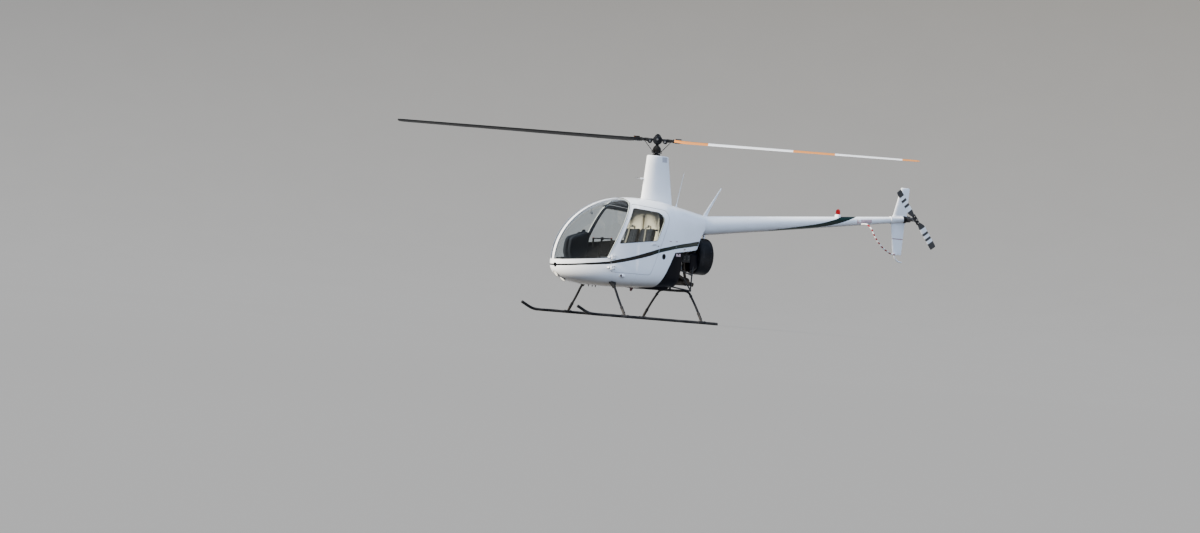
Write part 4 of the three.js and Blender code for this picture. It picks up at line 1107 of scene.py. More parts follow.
@dataclass(frozen=True)
class Hull:
    """The fuselage's surface: body lines joined by rounded sections."""

    nose_x: float = 1.530
    nose_z: float = 0.750
    wall: float = 0.025
    roof_from: float = 0.340
    roof_height: float = 1.002
    belly_from: float = 0.700
    belly_height: float = 0.318
    belly_power: float = 2.9
    width_from: float = 0.450
    half_width: float = 0.560
    width_power: float = 2.2
    # x, roof, widest height, belly, half width, roundness above and below the widest line
    lines: tuple[tuple[float, ...], ...] = (
        (-0.960, 1.588, 1.450, 1.300, 0.140, 2.0, 2.0), (-0.830, 1.600, 1.440, 1.180, 0.182, 2.1, 2.2),
        (-0.500, 1.656, 1.270, 0.600, 0.352, 2.7, 3.4), (-0.330, 1.683, 1.150, 0.496, 0.446, 3.0, 4.0),
        (-0.200, 1.704, 1.060, 0.478, 0.502, 3.2, 4.4), (0.000, 1.736, 0.930, 0.466, 0.556, 3.5, 4.4),
        (0.340, 1.752, 0.850, 0.446, 0.560, 3.6, 4.2), (0.700, 1.708, 0.810, 0.432, 0.551, 3.4, 3.8),
        (1.100, 1.521, 0.760, 0.452, 0.474, 2.8, 2.9), (1.530, 0.750, 0.750, 0.750, 0.000, 2.2, 2.3),
    )

    def line(self, column: int, x: np.ndarray) -> np.ndarray:
        """Reads one body line.

        Args:
            column: the line's column in the table.
            x: where it is read.

        Returns:
            Its values there.
        """
        rows = np.array(self.lines)
        xs, values = rows[:, 0], rows[:, column]
        padded_x = np.concatenate([xs[:1], xs, xs[-1:]])
        padded = np.concatenate([values[:1], values, values[-1:]])
        slopes = (padded[2:] - padded[:-2]) / (padded_x[2:] - padded_x[:-2])
        i = np.clip(np.searchsorted(xs, x, side="right") - 1, 0, len(xs) - 2)
        span = xs[i + 1] - xs[i]
        t = (x - xs[i]) / span
        return ((2 * t**3 - 3 * t**2 + 1) * values[i] + (t**3 - 2 * t**2 + t) * slopes[i] * span
                + (3 * t**2 - 2 * t**3) * values[i + 1] + (t**3 - t**2) * slopes[i + 1] * span)

    def fade(self, x: np.ndarray, start: float, depth: float, power: float) -> np.ndarray:
        """How far a quarter superellipse has come in.

        Args:
            x: where it is read.
            start: where it begins.
            depth: how deep under the outer surface.
            power: its roundness.

        Returns:
            1 at the start and 0 at the nose.
        """
        share = np.clip((x - start) / (self.nose_x - depth - start), 0, 1)
        return np.maximum(1 - share**power, 0) ** (1 / power)

    def section(self, x: np.ndarray, depth: float = 0.0) -> tuple[np.ndarray, ...]:
        """The section's sizes.

        Args:
            x: where it is cut.
            depth: how deep under the outer surface.

        Returns:
            Roof, belly, half width, widest height, and the roundness above and below it.
        """
        x = np.asarray(x, float)
        roof = np.where(x > self.roof_from, self.nose_z + (self.roof_height - depth)
                        * self.fade(x, self.roof_from, depth, 2), self.line(1, x) - depth)
        belly = np.where(x > self.belly_from, self.nose_z - (self.belly_height - depth)
                         * self.fade(x, self.belly_from, depth, self.belly_power), self.line(3, x) + depth)
        width = np.where(x > self.width_from,
                         (self.half_width - depth) * self.fade(x, self.width_from, depth, self.width_power),
                         self.line(4, x) - depth)
        nearer = np.clip((x - self.belly_from) / (self.nose_x - self.belly_from), 0, 1)
        waist = np.minimum(roof, np.maximum(belly, self.line(2, x) * (1 - nearer) + self.nose_z * nearer))
        return roof, belly, width, waist, self.line(5, x), self.line(6, x)

    def sizes(self, x: float, depth: float = 0.0) -> tuple[float, ...]:
        """The section's sizes at one place, in the order that section gives them."""
        return tuple(float(v) for v in self.section(np.array(x), depth))

    def ring(self, x: float, depth: float, count: int = 96) -> list[Vector]:
        """The section's points, evenly spaced within each quarter.

        Args:
            x: where it is cut.
            depth: how deep under the outer surface.
            count: the number of points, from the port side up and round.

        Returns:
            The points.
        """
        roof, belly, width, waist, above, below = self.sizes(x, depth)
        quarter = count // 4
        fine = np.linspace(0, math.pi / 2, 240)
        sides = []
        for height, power in ((roof - waist, above), (waist - belly, below)):
            y = width * np.cos(fine) ** (2 / power)
            z = height * np.sin(fine) ** (2 / power)
            run = np.concatenate([[0], np.cumsum(np.hypot(np.diff(y), np.diff(z)))])
            goal = np.linspace(0, run[-1], quarter + 1)
            sides.append((np.interp(goal, run, y), np.interp(goal, run, z)))
        (uy, uz), (ly, lz) = sides
        points = [Vector((x, uy[k], waist + uz[k])) for k in range(quarter)]
        points += [Vector((x, -uy[quarter - k], waist + uz[quarter - k])) for k in range(quarter)]
        points += [Vector((x, -ly[k], waist - lz[k])) for k in range(quarter)]
        points += [Vector((x, ly[quarter - k], waist - lz[quarter - k])) for k in range(quarter)]
        return points

    def rings(self, depth: float, aft: float, stations: int = 96, count: int = 96) -> list[list[Vector]]:
        """Rings from the tail end to just short of the nose.

        Args:
            depth: how deep under the outer surface.
            aft: the x of the last ring.
            stations: the number of rings.
            count: the points of a ring.

        Returns:
            The rings, from aft to front.
        """
        front = self.nose_x - depth
        places = [front - (front - aft) * (1 - math.cos(math.pi / 2 * i / stations))
                  for i in range(stations, 0, -1)]
        return [self.ring(x, depth, count) for x in places]

    def shell(self, outer: float, inner: float, aft: float = -0.90) -> Draft:
        """A wall between two depths, open at its aft end.

        Args:
            outer: the depth of its outer surface.
            inner: the depth of its inner surface.
            aft: the x of its rim.

        Returns:
            The closed wall.
        """
        tips = [[Vector((self.nose_x - depth, 0, self.nose_z))] * 96 for depth in (outer, inner)]
        outside = [*self.rings(outer, aft), tips[0]]
        inside = [*self.rings(inner, aft), tips[1]]
        draft = Draft()
        draft.loft([*reversed(outside), *inside], caps=False)
        return draft

    def skin(self, x: float, z: float, depth: float = 0.0) -> float:
        """The half width at a place in the side view.

        Args:
            x: the place's x.
            z: its height.
            depth: how deep under the outer surface.

        Returns:
            The half width, 0 above the roof or under the belly.
        """
        roof, belly, width, waist, above, below = self.sizes(x, depth)
        height, power = (roof - waist, above) if z > waist else (waist - belly, below)
        share = min(1.0, abs(z - waist) / max(height, 1e-6))
        return width * (1 - share**power) ** (1 / power)

    def normals(self, points: np.ndarray) -> tuple[np.ndarray, np.ndarray]:
        """The surface's normals near some points.

        Args:
            points: the points, one a row.

        Returns:
            The outward normals, and how far each point is from the outer surface, roughly.
        """
        def field_at(p: np.ndarray) -> np.ndarray:
            """The implicit value at points: 0 on the outer surface."""
            roof, belly, width, waist, above, below = self.section(np.minimum(p[:, 0], self.nose_x - 1e-4))
            over = p[:, 2] > waist
            height = np.maximum(np.where(over, roof - waist, waist - belly), 1e-3)
            power = np.where(over, above, below)
            side = np.abs(p[:, 1]) / np.maximum(width, 1e-3)
            return (side**power + (np.abs(p[:, 2] - waist) / height) ** power) ** (1 / power) - 1

        gap = 4e-4
        value = field_at(points)
        slope = np.stack([(field_at(points + d) - field_at(points - d)) / (2 * gap)
                          for d in np.eye(3) * gap], 1)
        length = np.maximum(np.linalg.norm(slope, axis=1), 1e-9)
        return slope / length[:, None], value / length

    def polish(self, mesh: bpy.types.Mesh, marks: tuple[int, int, int] = (0, 1, 0)) -> None:
        """Gives a carved skin the true surface's normals, so that cuts leave no marks in its shine.

        Args:
            mesh: the skin, counted from the mast's foot.
            marks: the finish numbers of its outside, its inside and its cut edges.
        """
        points = np.empty(len(mesh.vertices) * 3)
        mesh.vertices.foreach_get("co", points)
        points = points.reshape(-1, 3)
        true, _ = self.normals(points)
        split = np.zeros((len(mesh.loops), 3))
        kinds = []
        for face in mesh.polygons:
            flat = np.array(face.normal)
            spots = list(face.vertices)
            lean = float(true[spots].mean(0) @ flat)
            skin_face = abs(lean) > 0.86
            sign = 1.0 if lean > 0 else -1.0
            kinds.append(marks[2] if not skin_face else marks[0] if lean > 0 else marks[1])
            for k, spot in zip(face.loop_indices, spots):
                split[k] = true[spot] * sign if skin_face and points[spot][0] < self.nose_x - 0.012 else flat
        mesh.polygons.foreach_set("material_index", kinds)
        mesh.polygons.foreach_set("use_smooth", [True] * len(mesh.polygons))
        mesh.transform(Matrix.Translation(ORIGIN))
        mesh.normals_split_custom_set([tuple(n) for n in split])


HULL = Hull()
# Wider than the body and higher than its roof, for tools that cut right through.
FAR = 1.2
HIGH = 1.9
# Radius and height of a screw's head.
SCREW = (0.0042, 0.0016)


def side_cut(rows: Sequence[Sequence[float]], inner: float, both: bool = True, steps: int = 8) -> Draft:
    """A tool that cuts straight through one or both sides of the body.

    Args:
        rows: its outline in the side view: x, z and corner size.
        inner: how far from the middle it starts.
        both: whether it also cuts the starboard side.
        steps: the stretches of one rounded corner.

    Returns:
        The tool.
    """
    draft = Draft()
    draft.plate(rows, inner, FAR, steps=steps)
    return draft.copy_across() if both else draft


def across(rows: Sequence[Sequence[float]]) -> Draft:
    """A tool that spans the body's whole width, with an outline in the side view."""
    draft = Draft()
    draft.plate([(*row, 0.0)[:3] for row in rows], -FAR, FAR)
    return draft


def along_skin(rows: Sequence[Sequence[float]], lift: float = 0.0, spacing: float = 0.02,
               looped: bool = True) -> list[tuple[Vector, Vector]]:
    """Follows an outline on the port side of the body.

    Args:
        rows: the outline: x, z and corner size.
        lift: how far outside the surface.
        spacing: the distance between places.
        looped: whether the outline closes on itself.

    Returns:
        Places on the surface, and the way the surface faces there.
    """
    line = rounded_outline(rows)
    if looped:
        line = [*line, line[0]]
    places = []
    for (ax, az), (bx, bz) in zip(line, line[1:]):
        steps = max(1, round(math.hypot(bx - ax, bz - az) / spacing))
        for k in range(steps):
            x, z = ax + (bx - ax) * k / steps, az + (bz - az) * k / steps
            if x < HULL.nose_x - 0.02:
                places.append((x, HULL.skin(x, z), z))
    points = np.array(places)
    facing, _ = HULL.normals(points)
    return [(Vector(p) + Vector(n) * lift, Vector(n)) for p, n in zip(points, facing)]


@dataclass
class Cabin:
    """The cabin's wall with its windshield, nose fittings and the bow between the two panes."""

    # Outline in the side view: x, z and corner size
    windshield: tuple[tuple[float, ...], ...] = (
        (1.700, 0.742, 0.0), (0.906, 0.842, 0.012), (0.557, 1.660, 0.030), (0.585, 1.730, 0.010),
        (0.585, 1.900, 0.0), (1.700, 1.900, 0.0),
    )
    aft_edge: tuple[tuple[float, float], ...] = ((0.110, 0.380), (-0.178, 1.000), (-0.112, 1.900))
    # The white strip between the panes: half its width, and its x at the roof and at the sill
    bow: float = 0.030
    bow_start: float = 0.585
    bow_end: float = 1.526
    tub_top: float = 1.010
    seam: float = 0.0004
    glass_depth: float = 0.003
    glass_thickness: float = 0.006
    # Lamps down the middle of the nose: x, z, pitch in degrees, radius
    lamps: tuple[tuple[float, ...], ...] = ((1.450, 0.561, -32.0, 0.052), (1.342, 0.494, -52.0, 0.052))
    # Air inlet beside the lamps: x, y, z, radius
    inlet: tuple[float, float, float, float] = (1.518, 0.072, 0.684, 0.032)
    # Round port in the side: x, z, half width, half height
    side_port: tuple[float, float, float, float] = (0.028, 0.926, 0.030, 0.041)
    # Side lamps: x, z, radius
    nav_light: tuple[float, float, float] = (0.660, 0.600, 0.026)

    def lamp_axis(self, lamp: Sequence[float]) -> tuple[Vector, Vector]:
        """A lamp's middle and the way it points.

        Args:
            lamp: its row.

        Returns:
            The middle of its glass and its axis.
        """
        x, z, pitch, _ = lamp
        return Vector((x, 0, z)), Vector((math.cos(math.radians(pitch)), 0, math.sin(math.radians(pitch))))

    def inlet_place(self) -> tuple[Vector, Vector, float]:
        """The middle of the nose inlet on the skin, the way it faces and its radius."""
        x, y, z, radius = self.inlet
        facing, gap = HULL.normals(np.array([[x, y, z]]))
        out = Vector(facing[0])
        return Vector((x, y, z)) - out * float(gap[0]), out, radius

    def wall(self, doors: "Doors") -> None:
        """Builds the roof and the tub, cut from one wall.

        Args:
            doors: the doors, whose outline is cut out.
        """
        holes = Draft()
        for lamp in self.lamps:
            middle, axis = self.lamp_axis(lamp)
            holes.rod(middle - axis * 0.09, middle + axis * 0.06, lamp[3] + 0.001, 40)
        place, facing, radius = self.inlet_place()
        holes.rod(place - facing * 0.06, place + facing * 0.06, radius, 32)
        x, z, half, tall = self.side_port
        port = Draft()
        port.rod((0, 0.3, 0), (0, FAR, 0), tall, 40)
        port.move(Matrix.Translation((x, 0, z)) @ Matrix.Diagonal((half / tall, 1, 1, 1)))
        holes.extend(port.points, port.faces)
        holes.rod((0, 0, 1.5), (0, 0, HIGH), 0.053, 40)
        tub_box, roof_box = Draft(), Draft()
        tub_box.block((-0.4, -FAR, 0.3), (1.7, FAR, self.tub_top - self.seam), 0)
        roof_box.block((-0.4, -FAR, self.tub_top), (1.7, FAR, HIGH), 0)
        leg = LandingGear().leg_draft(0, 0.001, 20)
        body = carve(HULL.shell(0, HULL.wall).data("wall"), [
            ("INTERSECT", across([*self.aft_edge, (1.7, HIGH), (1.7, 0.38)])),
            ("DIFFERENCE", side_cut(self.windshield, self.bow)),
            ("DIFFERENCE", side_cut(doors.outline, 0.1)),
            ("DIFFERENCE", holes),
            ("DIFFERENCE", leg),
        ])
        for name, half in (("cabin_roof", roof_box), ("cabin_tub", tub_box)):
            mesh = carve(body, [("INTERSECT", half)])
            HULL.polish(mesh)
            install(mesh, name + "_skin", Body.AIRFRAME, [WHITE, TRIM], [name], None)

    def panes(self) -> None:
        """Builds the two windshield panes with their seals and rows of screws."""
        shape = side_cut(inset(self.windshield, self.seam), self.bow + self.seam, both=False)
        shell = HULL.shell(self.glass_depth, self.glass_depth + self.glass_thickness).data("glass")
        port = carve(shell, [("INTERSECT", shape)])
        for side, sign in (("left", 1), ("right", -1)):
            mesh = port.copy()
            mirror_mesh(mesh, sign)
            HULL.polish(mesh, (0, 0, 0))
            install(mesh, f"windshield_{side}_glass", Body.AIRFRAME, [WINDOW], [f"windshield_{side}"], None)
        edge = self.windshield[1:4]
        line = [(1.513, 0.766, 0.0), *edge, (0.585, 1.736, 0.0)]
        seal, screws = Draft(), Draft()
        places = along_skin(line, -0.0012, looped=False)
        seal.tube([p for p, _ in places], 0.0032, 8)
        bow = self.bow_line(self.bow, -0.0012)
        seal.tube([p for p, _ in bow], 0.0032, 8, 1)
        seal.copy_across().piece("windshield_seals", Body.AIRFRAME, [SEAL, PLAIN_WHITE])
        outside = [(1.505, 0.756, 0.0), (0.893, 0.832, 0.012), (0.546, 1.660, 0.030), (0.569, 1.727, 0.0)]
        screws.domes(along_skin(outside, 0.0002, 0.075, looped=False)[1:-1], *SCREW)
        screws.domes(self.bow_line(0.014, 0.0002, 15)[1:-1], *SCREW)
        screws.copy_across().piece("windshield_screws", Body.AIRFRAME, [PLAIN_WHITE])

    def bow_line(self, y: float, lift: float, steps: int = 70) -> list[tuple[Vector, Vector]]:
        """Follows the top of the nose from the sill to the roof.

        Args:
            y: how far to port.
            lift: how far outside the surface.
            steps: the number of stretches.

        Returns:
            Places and the way the surface faces there.
        """
        places = []
        for k in range(steps + 1):
            t = k / steps * 0.985
            x = self.bow_start + (self.bow_end - self.bow_start) * math.sin(t * math.pi / 2)
            roof, _, width, waist, above, _ = HULL.sizes(x)
            share = min(1.0, y / max(width, 1e-3))
            places.append((x, y, waist + (roof - waist) * (1 - share**above) ** (1 / above)))
        facing, _ = HULL.normals(np.array(places))
        return [(Vector(p) + Vector(n) * lift, Vector(n)) for p, n in zip(places, facing)]

    def nose_fittings(self) -> None:
        """Builds the landing lamps, the air inlet, the side port and the side lamps."""
        lamp_draft, glass = Draft(), Draft()
        for lamp in self.lamps:
            middle, axis = self.lamp_axis(lamp)
            r = lamp[3]
            rim = middle + axis * 0.012
            # Distance along the axis and radius, for a lamp of 52 mm
            bowl = [(-0.036, 0.006), (-0.034, 0.018), (-0.026, 0.031), (-0.012, 0.041), (0.0, 0.045),
                    (0.001, 0.047), (-0.004, 0.047), (-0.030, 0.034), (-0.042, 0.014)]
            lamp_draft.turned([(d, q * r / 0.052) for d, q in bowl], rim, axis, 40, looped=True)
            lamp_draft.turned([(-0.004, 0.0515), (0.004, 0.0515), (0.006, 0.047), (0.002, 0.045),
                               (-0.004, 0.045)], rim, axis, 40, 1, looped=True)
            lamp_draft.turned([(-0.034, 0.0), (-0.034, 0.005), (-0.020, 0.006), (-0.014, 0.0)], rim, axis, 14)
            glass.turned([(-0.002, 0.0455), (0.0, 0.0455), (0.0035, 0.036), (0.0055, 0.020), (0.006, 0.001),
                          (0.004, 0.001), (0.0035, 0.020), (0.0015, 0.036)], rim, axis, 40, looped=True)
        lamp_draft.piece("landing_light_bowls", Body.AIRFRAME, [MIRROR, STEEL], ["landing_lights"])
        glass.piece("landing_light_glass", Body.AIRFRAME, [LENS])
        grilles = Draft()
        place, facing, radius = self.inlet_place()
        grilles.turned([(-0.022, radius - 0.003), (0.0, radius - 0.003), (0.0015, radius),
                        (0.0005, radius + 0.002), (-0.003, radius + 0.002), (-0.003, radius - 0.0005),
                        (-0.022, radius - 0.0005)], place, facing, 40, looped=True)
        grilles.turned([(-0.024, 0.0001), (-0.024, radius), (-0.021, radius), (-0.021, 0.0001)], place,
                       facing, 32)
        self.mesh_screen(grilles, place - facing * 0.014, facing, radius - 0.002, 7)
        x, z, half, tall = self.side_port
        port = Draft()
        port.turned([(-0.024, tall - 0.003), (0.0, tall - 0.003), (0.001, tall + 0.001),
                     (-0.003, tall + 0.002), (-0.003, tall), (-0.024, tall)], (0, 0, 0), (0, 1, 0), 40,
                    looped=True)
        self.mesh_screen(port, Vector((0, -0.018, 0)), Vector((0, 1, 0)), tall - 0.002, 9)
        port.turned([(-0.045, 0.0001), (-0.045, tall), (-0.041, tall), (-0.041, 0.0001)], (0, 0, 0),
                    (0, 1, 0), 32)
        port.move(Matrix.Translation((x, HULL.skin(x, z), z)) @ Matrix.Diagonal((half / tall, 1, 1, 1)))
        grilles.extend(port.points, port.faces)
        grilles.piece("air_ports", Body.AIRFRAME, [BLACK])
        x, z, radius = self.nav_light
        y = HULL.skin(x, z)
        for side, sign, lens in (("left", 1, NAV_RED_SHADED), ("right", -1, GREEN_LENS)):
            lamp = Draft()
            rings = []
            for k in range(17):
                a = math.pi * k / 16
                rings.append([Vector((x + 1.7 * radius * math.cos(a), y - 0.001 + 0.9 * radius * math.sin(a)
                                      * max(0.02, math.cos(b)), z + radius * math.sin(a) * math.sin(b)))
                              for b in angles(24)])
            lamp.loft(rings)
            lamp.marks = [0 if k < 6 * 24 else 1 for k in range(len(lamp.marks))]
            housing = Draft()
            housing.turned([(-0.003, radius * 1.05), (0.004, radius * 1.0), (0.006, radius * 0.8),
                            (-0.003, radius * 0.8)], (0, 0, 0), (0, 1, 0), 36, looped=True)
            housing.move(Matrix.Translation((x, y, z)) @ Matrix.Diagonal((1.75, 1, 1.08, 1)))
            if sign < 0:
                lamp, housing = lamp.mirrored(), housing.mirrored()
            lamp.piece(f"nav_light_{side}_lens", Body.AIRFRAME, [lens, PLAIN_WHITE], [f"nav_light_{side}"])
            housing.piece(f"nav_light_{side}_base", Body.AIRFRAME, [PLAIN_WHITE])

    def mesh_screen(self, draft: Draft, middle: Vector, axis: Vector, radius: float, wires: int) -> None:
        """Adds a round screen of crossed wires.

        Args:
            draft: where it is added.
            middle: its middle.
            axis: the way it faces.
            radius: its radius.
            wires: the number of wires each way.
        """
        side = axis.orthogonal().normalized()
        other = axis.cross(side)
        for first, second in ((side, other), (other, side)):
            for k in range(wires):
                off = radius * (2 * (k + 1) / (wires + 1) - 1)
                half = math.sqrt(max(radius**2 - off**2, 1e-8))
                draft.rod(middle + first * off - second * half, middle + first * off + second * half, 0.0008,
                          5)

    def belly(self) -> None:
        """Builds the small drains and the aerial under the belly."""
        draft = Draft()
        for x, y, length in ((0.935, 0.02, 0.024), (0.875, 0.02, 0.022), (0.824, 0.02, 0.026),
                             (0.081, 0.02, 0.024)):
            z = HULL.sizes(x)[1]
            draft.rod((x, y, z + 0.01), (x, y, z - length), 0.006, 12, edge=0.002)
            draft.turned([(0, 0.014), (0.003, 0.014)], (x, y, z - 0.002), (0, 0, -1), 20)
        x = 0.223
        z = HULL.sizes(x)[1]
        rings = []
        for drop, chord, width in ((0.004, 0.066, 0.018), (-0.030, 0.050, 0.014), (-0.056, 0.030, 0.009)):
            rings.append([Vector((x - 0.25 * drop + chord / 2 * math.cos(a), width / 2 * math.sin(a),
                                  z + drop)) for a in angles(24)])
        draft.loft(rings, 1)
        draft.piece("belly_fittings", Body.AIRFRAME, [BLACK, DARK_LABEL])

    def build(self, doors: "Doors") -> None:
        """Builds the cabin's outside.

        Args:
            doors: the doors that fit in it.
        """
        self.wall(doors)
        self.panes()
        self.nose_fittings()
        self.belly()


def mirror_mesh(mesh: bpy.types.Mesh, sign: int) -> None:
    """Puts a mesh on the starboard side where the sign is less than zero."""
    if sign < 0:
        mesh.transform(Matrix.Diagonal((1, -1, 1, 1)))
        mesh.flip_normals()


@dataclass
class Doors:
    """Both cabin doors with their panes, hinges and handles."""

    # Outlines in the side view: x, z and corner size
    outline: tuple[tuple[float, ...], ...] = (
        (0.855, 0.640, 0.045), (0.855, 0.900, 0.060), (0.543, 1.652, 0.045), (-0.020, 1.598, 0.070),
        (-0.048, 1.490, 0.030), (0.221, 0.640, 0.055),
    )
    window: tuple[tuple[float, ...], ...] = (
        (0.748, 1.058, 0.028), (0.529, 1.590, 0.035), (0.105, 1.556, 0.060), (0.032, 1.466, 0.040),
        (0.150, 1.146, 0.035),
    )
    gap: float = 0.007
    # The pins: x and y
    hinge: tuple[float, float] = (0.862, 0.566)
    hinge_heights: tuple[float, float] = (0.704, 0.852)
    pin: float = 0.006
    knuckle: float = 0.012
    # x and z
    handle: tuple[float, float] = (0.166, 1.089)

    def hinges(self) -> tuple[Draft, Draft]:
        """Builds the hinges' two halves, on the port side.

        Returns:
            The half on the door and the half on the cabin.
        """
        door, cabin = Draft(), Draft()
        x, y = self.hinge
        for z in self.hinge_heights:
            for low, top in ((z - 0.027, z - 0.0105), (z + 0.0105, z + 0.027)):
                door.turned([(0, self.pin + 0.0007), (0, self.knuckle), (top - low, self.knuckle),
                             (top - low, self.pin + 0.0007)], (x, y, low), (0, 0, 1), 28, looped=True)
                door.block((x - 0.062, y - 0.009, low), (x - 0.009, y + 0.004, top), 0.002)
                door.block((x - 0.062, y - 0.050, low), (x - 0.040, y + 0.004, top), 0.002)
            cabin.rod((x, y, z - 0.010), (x, y, z + 0.010), self.knuckle, 28, edge=0.001)
            inner = HULL.skin(x + 0.04, z) - 0.006
            cabin.block((x + 0.009, inner, z - 0.010), (x + 0.040, y + 0.002, z + 0.010), 0.002)
            cabin.rod((x, y, z - 0.030), (x, y, z + 0.030), self.pin, 20, edge=0.001)
            cabin.bolt((x, y, z + 0.0285), (0, 0, 1), 0.005)
        return door, cabin

    def build(self) -> None:
        """Builds both doors."""
        shell = HULL.shell(0, HULL.wall).data("door wall")
        panel = carve(shell, [
            ("INTERSECT", side_cut(inset(self.outline, self.gap), 0.1, both=False)),
            ("DIFFERENCE", side_cut(self.window, 0.1, both=False)),
        ])
        glass_shell = HULL.shell(0.003, 0.009).data("door glass")
        glass = carve(glass_shell, [("INTERSECT", side_cut(inset(self.window, 0.0004), 0.1, both=False))])
        on_door, on_cabin = self.hinges()
        seal = Draft()
        seal.tube([p for p, _ in along_skin(self.window, -0.0012)], 0.0034, 8, looped=True)
        inner_seal = Draft()
        inner_seal.tube([p for p, _ in along_skin(inset(self.outline, 0.0035), -0.006)], 0.0030, 8,
                        looped=True)
        handle = self.handle_draft()
        lining = self.lining_draft()
        for side, sign, body in (("left", 1, Body.PORT_DOOR), ("right", -1, Body.STARBOARD_DOOR)):
            def turned(draft: Draft) -> Draft:
                """The draft on this door's side."""
                return draft if sign > 0 else draft.mirrored()

            mesh = panel.copy()
            mirror_mesh(mesh, sign)
            HULL.polish(mesh)
            install(mesh, f"door_{side}_skin", body, [WHITE, TRIM], [f"door_{side}"], None)
            pane = glass.copy()
            mirror_mesh(pane, sign)
            HULL.polish(pane, (0, 0, 0))
            install(pane, f"door_window_{side}_glass", body, [WINDOW], [f"door_window_{side}"], None)
            turned(on_door).piece(f"door_hinge_{side}", body, [HINGE_WHITE])
            turned(on_cabin).piece(f"cabin_hinge_{side}", Body.AIRFRAME, [HINGE_WHITE])
            turned(seal).piece(f"door_window_seal_{side}", body, [SEAL])
            turned(inner_seal).piece(f"door_frame_seal_{side}", Body.AIRFRAME, [PALE_SEAL])
            turned(handle).piece(f"door_handle_{side}", body, [STEEL, BLACK, HINGE_WHITE])
            turned(lining).piece(f"door_lining_{side}", body, [TRIM, WALL])

    def handle_draft(self) -> Draft:
        """The outside handle with its lock, and the inside lever.

        Returns:
            The draft, on the port side.
        """
        x, z = self.handle
        y = HULL.skin(x, z)
        draft = Draft()
        draft.turned([(0, 0.0001), (0, 0.011), (0.003, 0.011), (0.0045, 0.008), (0.0045, 0.0001)],
                     (x - 0.035, y, z - 0.02), (0, 1, 0), 28)
        draft.block((x - 0.002, y - 0.003, z - 0.014), (x + 0.075, y + 0.0015, z + 0.014), 0.0025, 2)
        lever = smooth_path([(x + 0.004, y + 0.004, z), (x + 0.012, y + 0.012, z), (x + 0.040, y + 0.013, z),
                             (x + 0.066, y + 0.011, z)], 14)
        draft.tube(lever, 0.0055, 12, flat=0.55)
        inside = HULL.skin(x, z, HULL.wall)
        draft.rod((x, inside + 0.004, z - 0.06), (x, inside - 0.022, z - 0.06), 0.008, 16, 1, 0.002)
        draft.tube(smooth_path([(x, inside - 0.018, z - 0.06), (x + 0.05, inside - 0.024, z - 0.055),
                                (x + 0.095, inside - 0.020, z - 0.05)], 10), 0.006, 12, 1)
        return draft

    def lining_draft(self) -> Draft:
        """The door's inside lining with its pocket.

        Returns:
            The draft, on the port side.
        """
        rows = ((0.79, 0.70), (0.79, 0.90), (0.68, 1.02), (0.20, 1.02), (0.27, 0.70))
        layers = []
        line = rounded_outline([(*row, 0.03) for row in rows], 5)
        for depth, shrink in ((0.024, 0.0), (0.030, 0.0), (0.033, 0.006)):
            middle = Vector((0.52, 0.86))
            spots = [middle + (Vector(p) - middle) * (1 - shrink / 0.2) for p in line]
            layers.append([Vector((p.x, HULL.skin(p.x, p.y, depth), p.y)) for p in spots])
        draft = Draft()
        draft.loft(layers)
        pocket = rounded_outline([(0.66, 0.72, 0.02), (0.66, 0.86, 0.02), (0.36, 0.86, 0.02),
                                  (0.36, 0.72, 0.02)], 4)
        rings = [[Vector((x, HULL.skin(x, z, depth), z)) for x, z in pocket] for depth in (0.030, 0.046)]
        draft.loft(rings)
        return draft


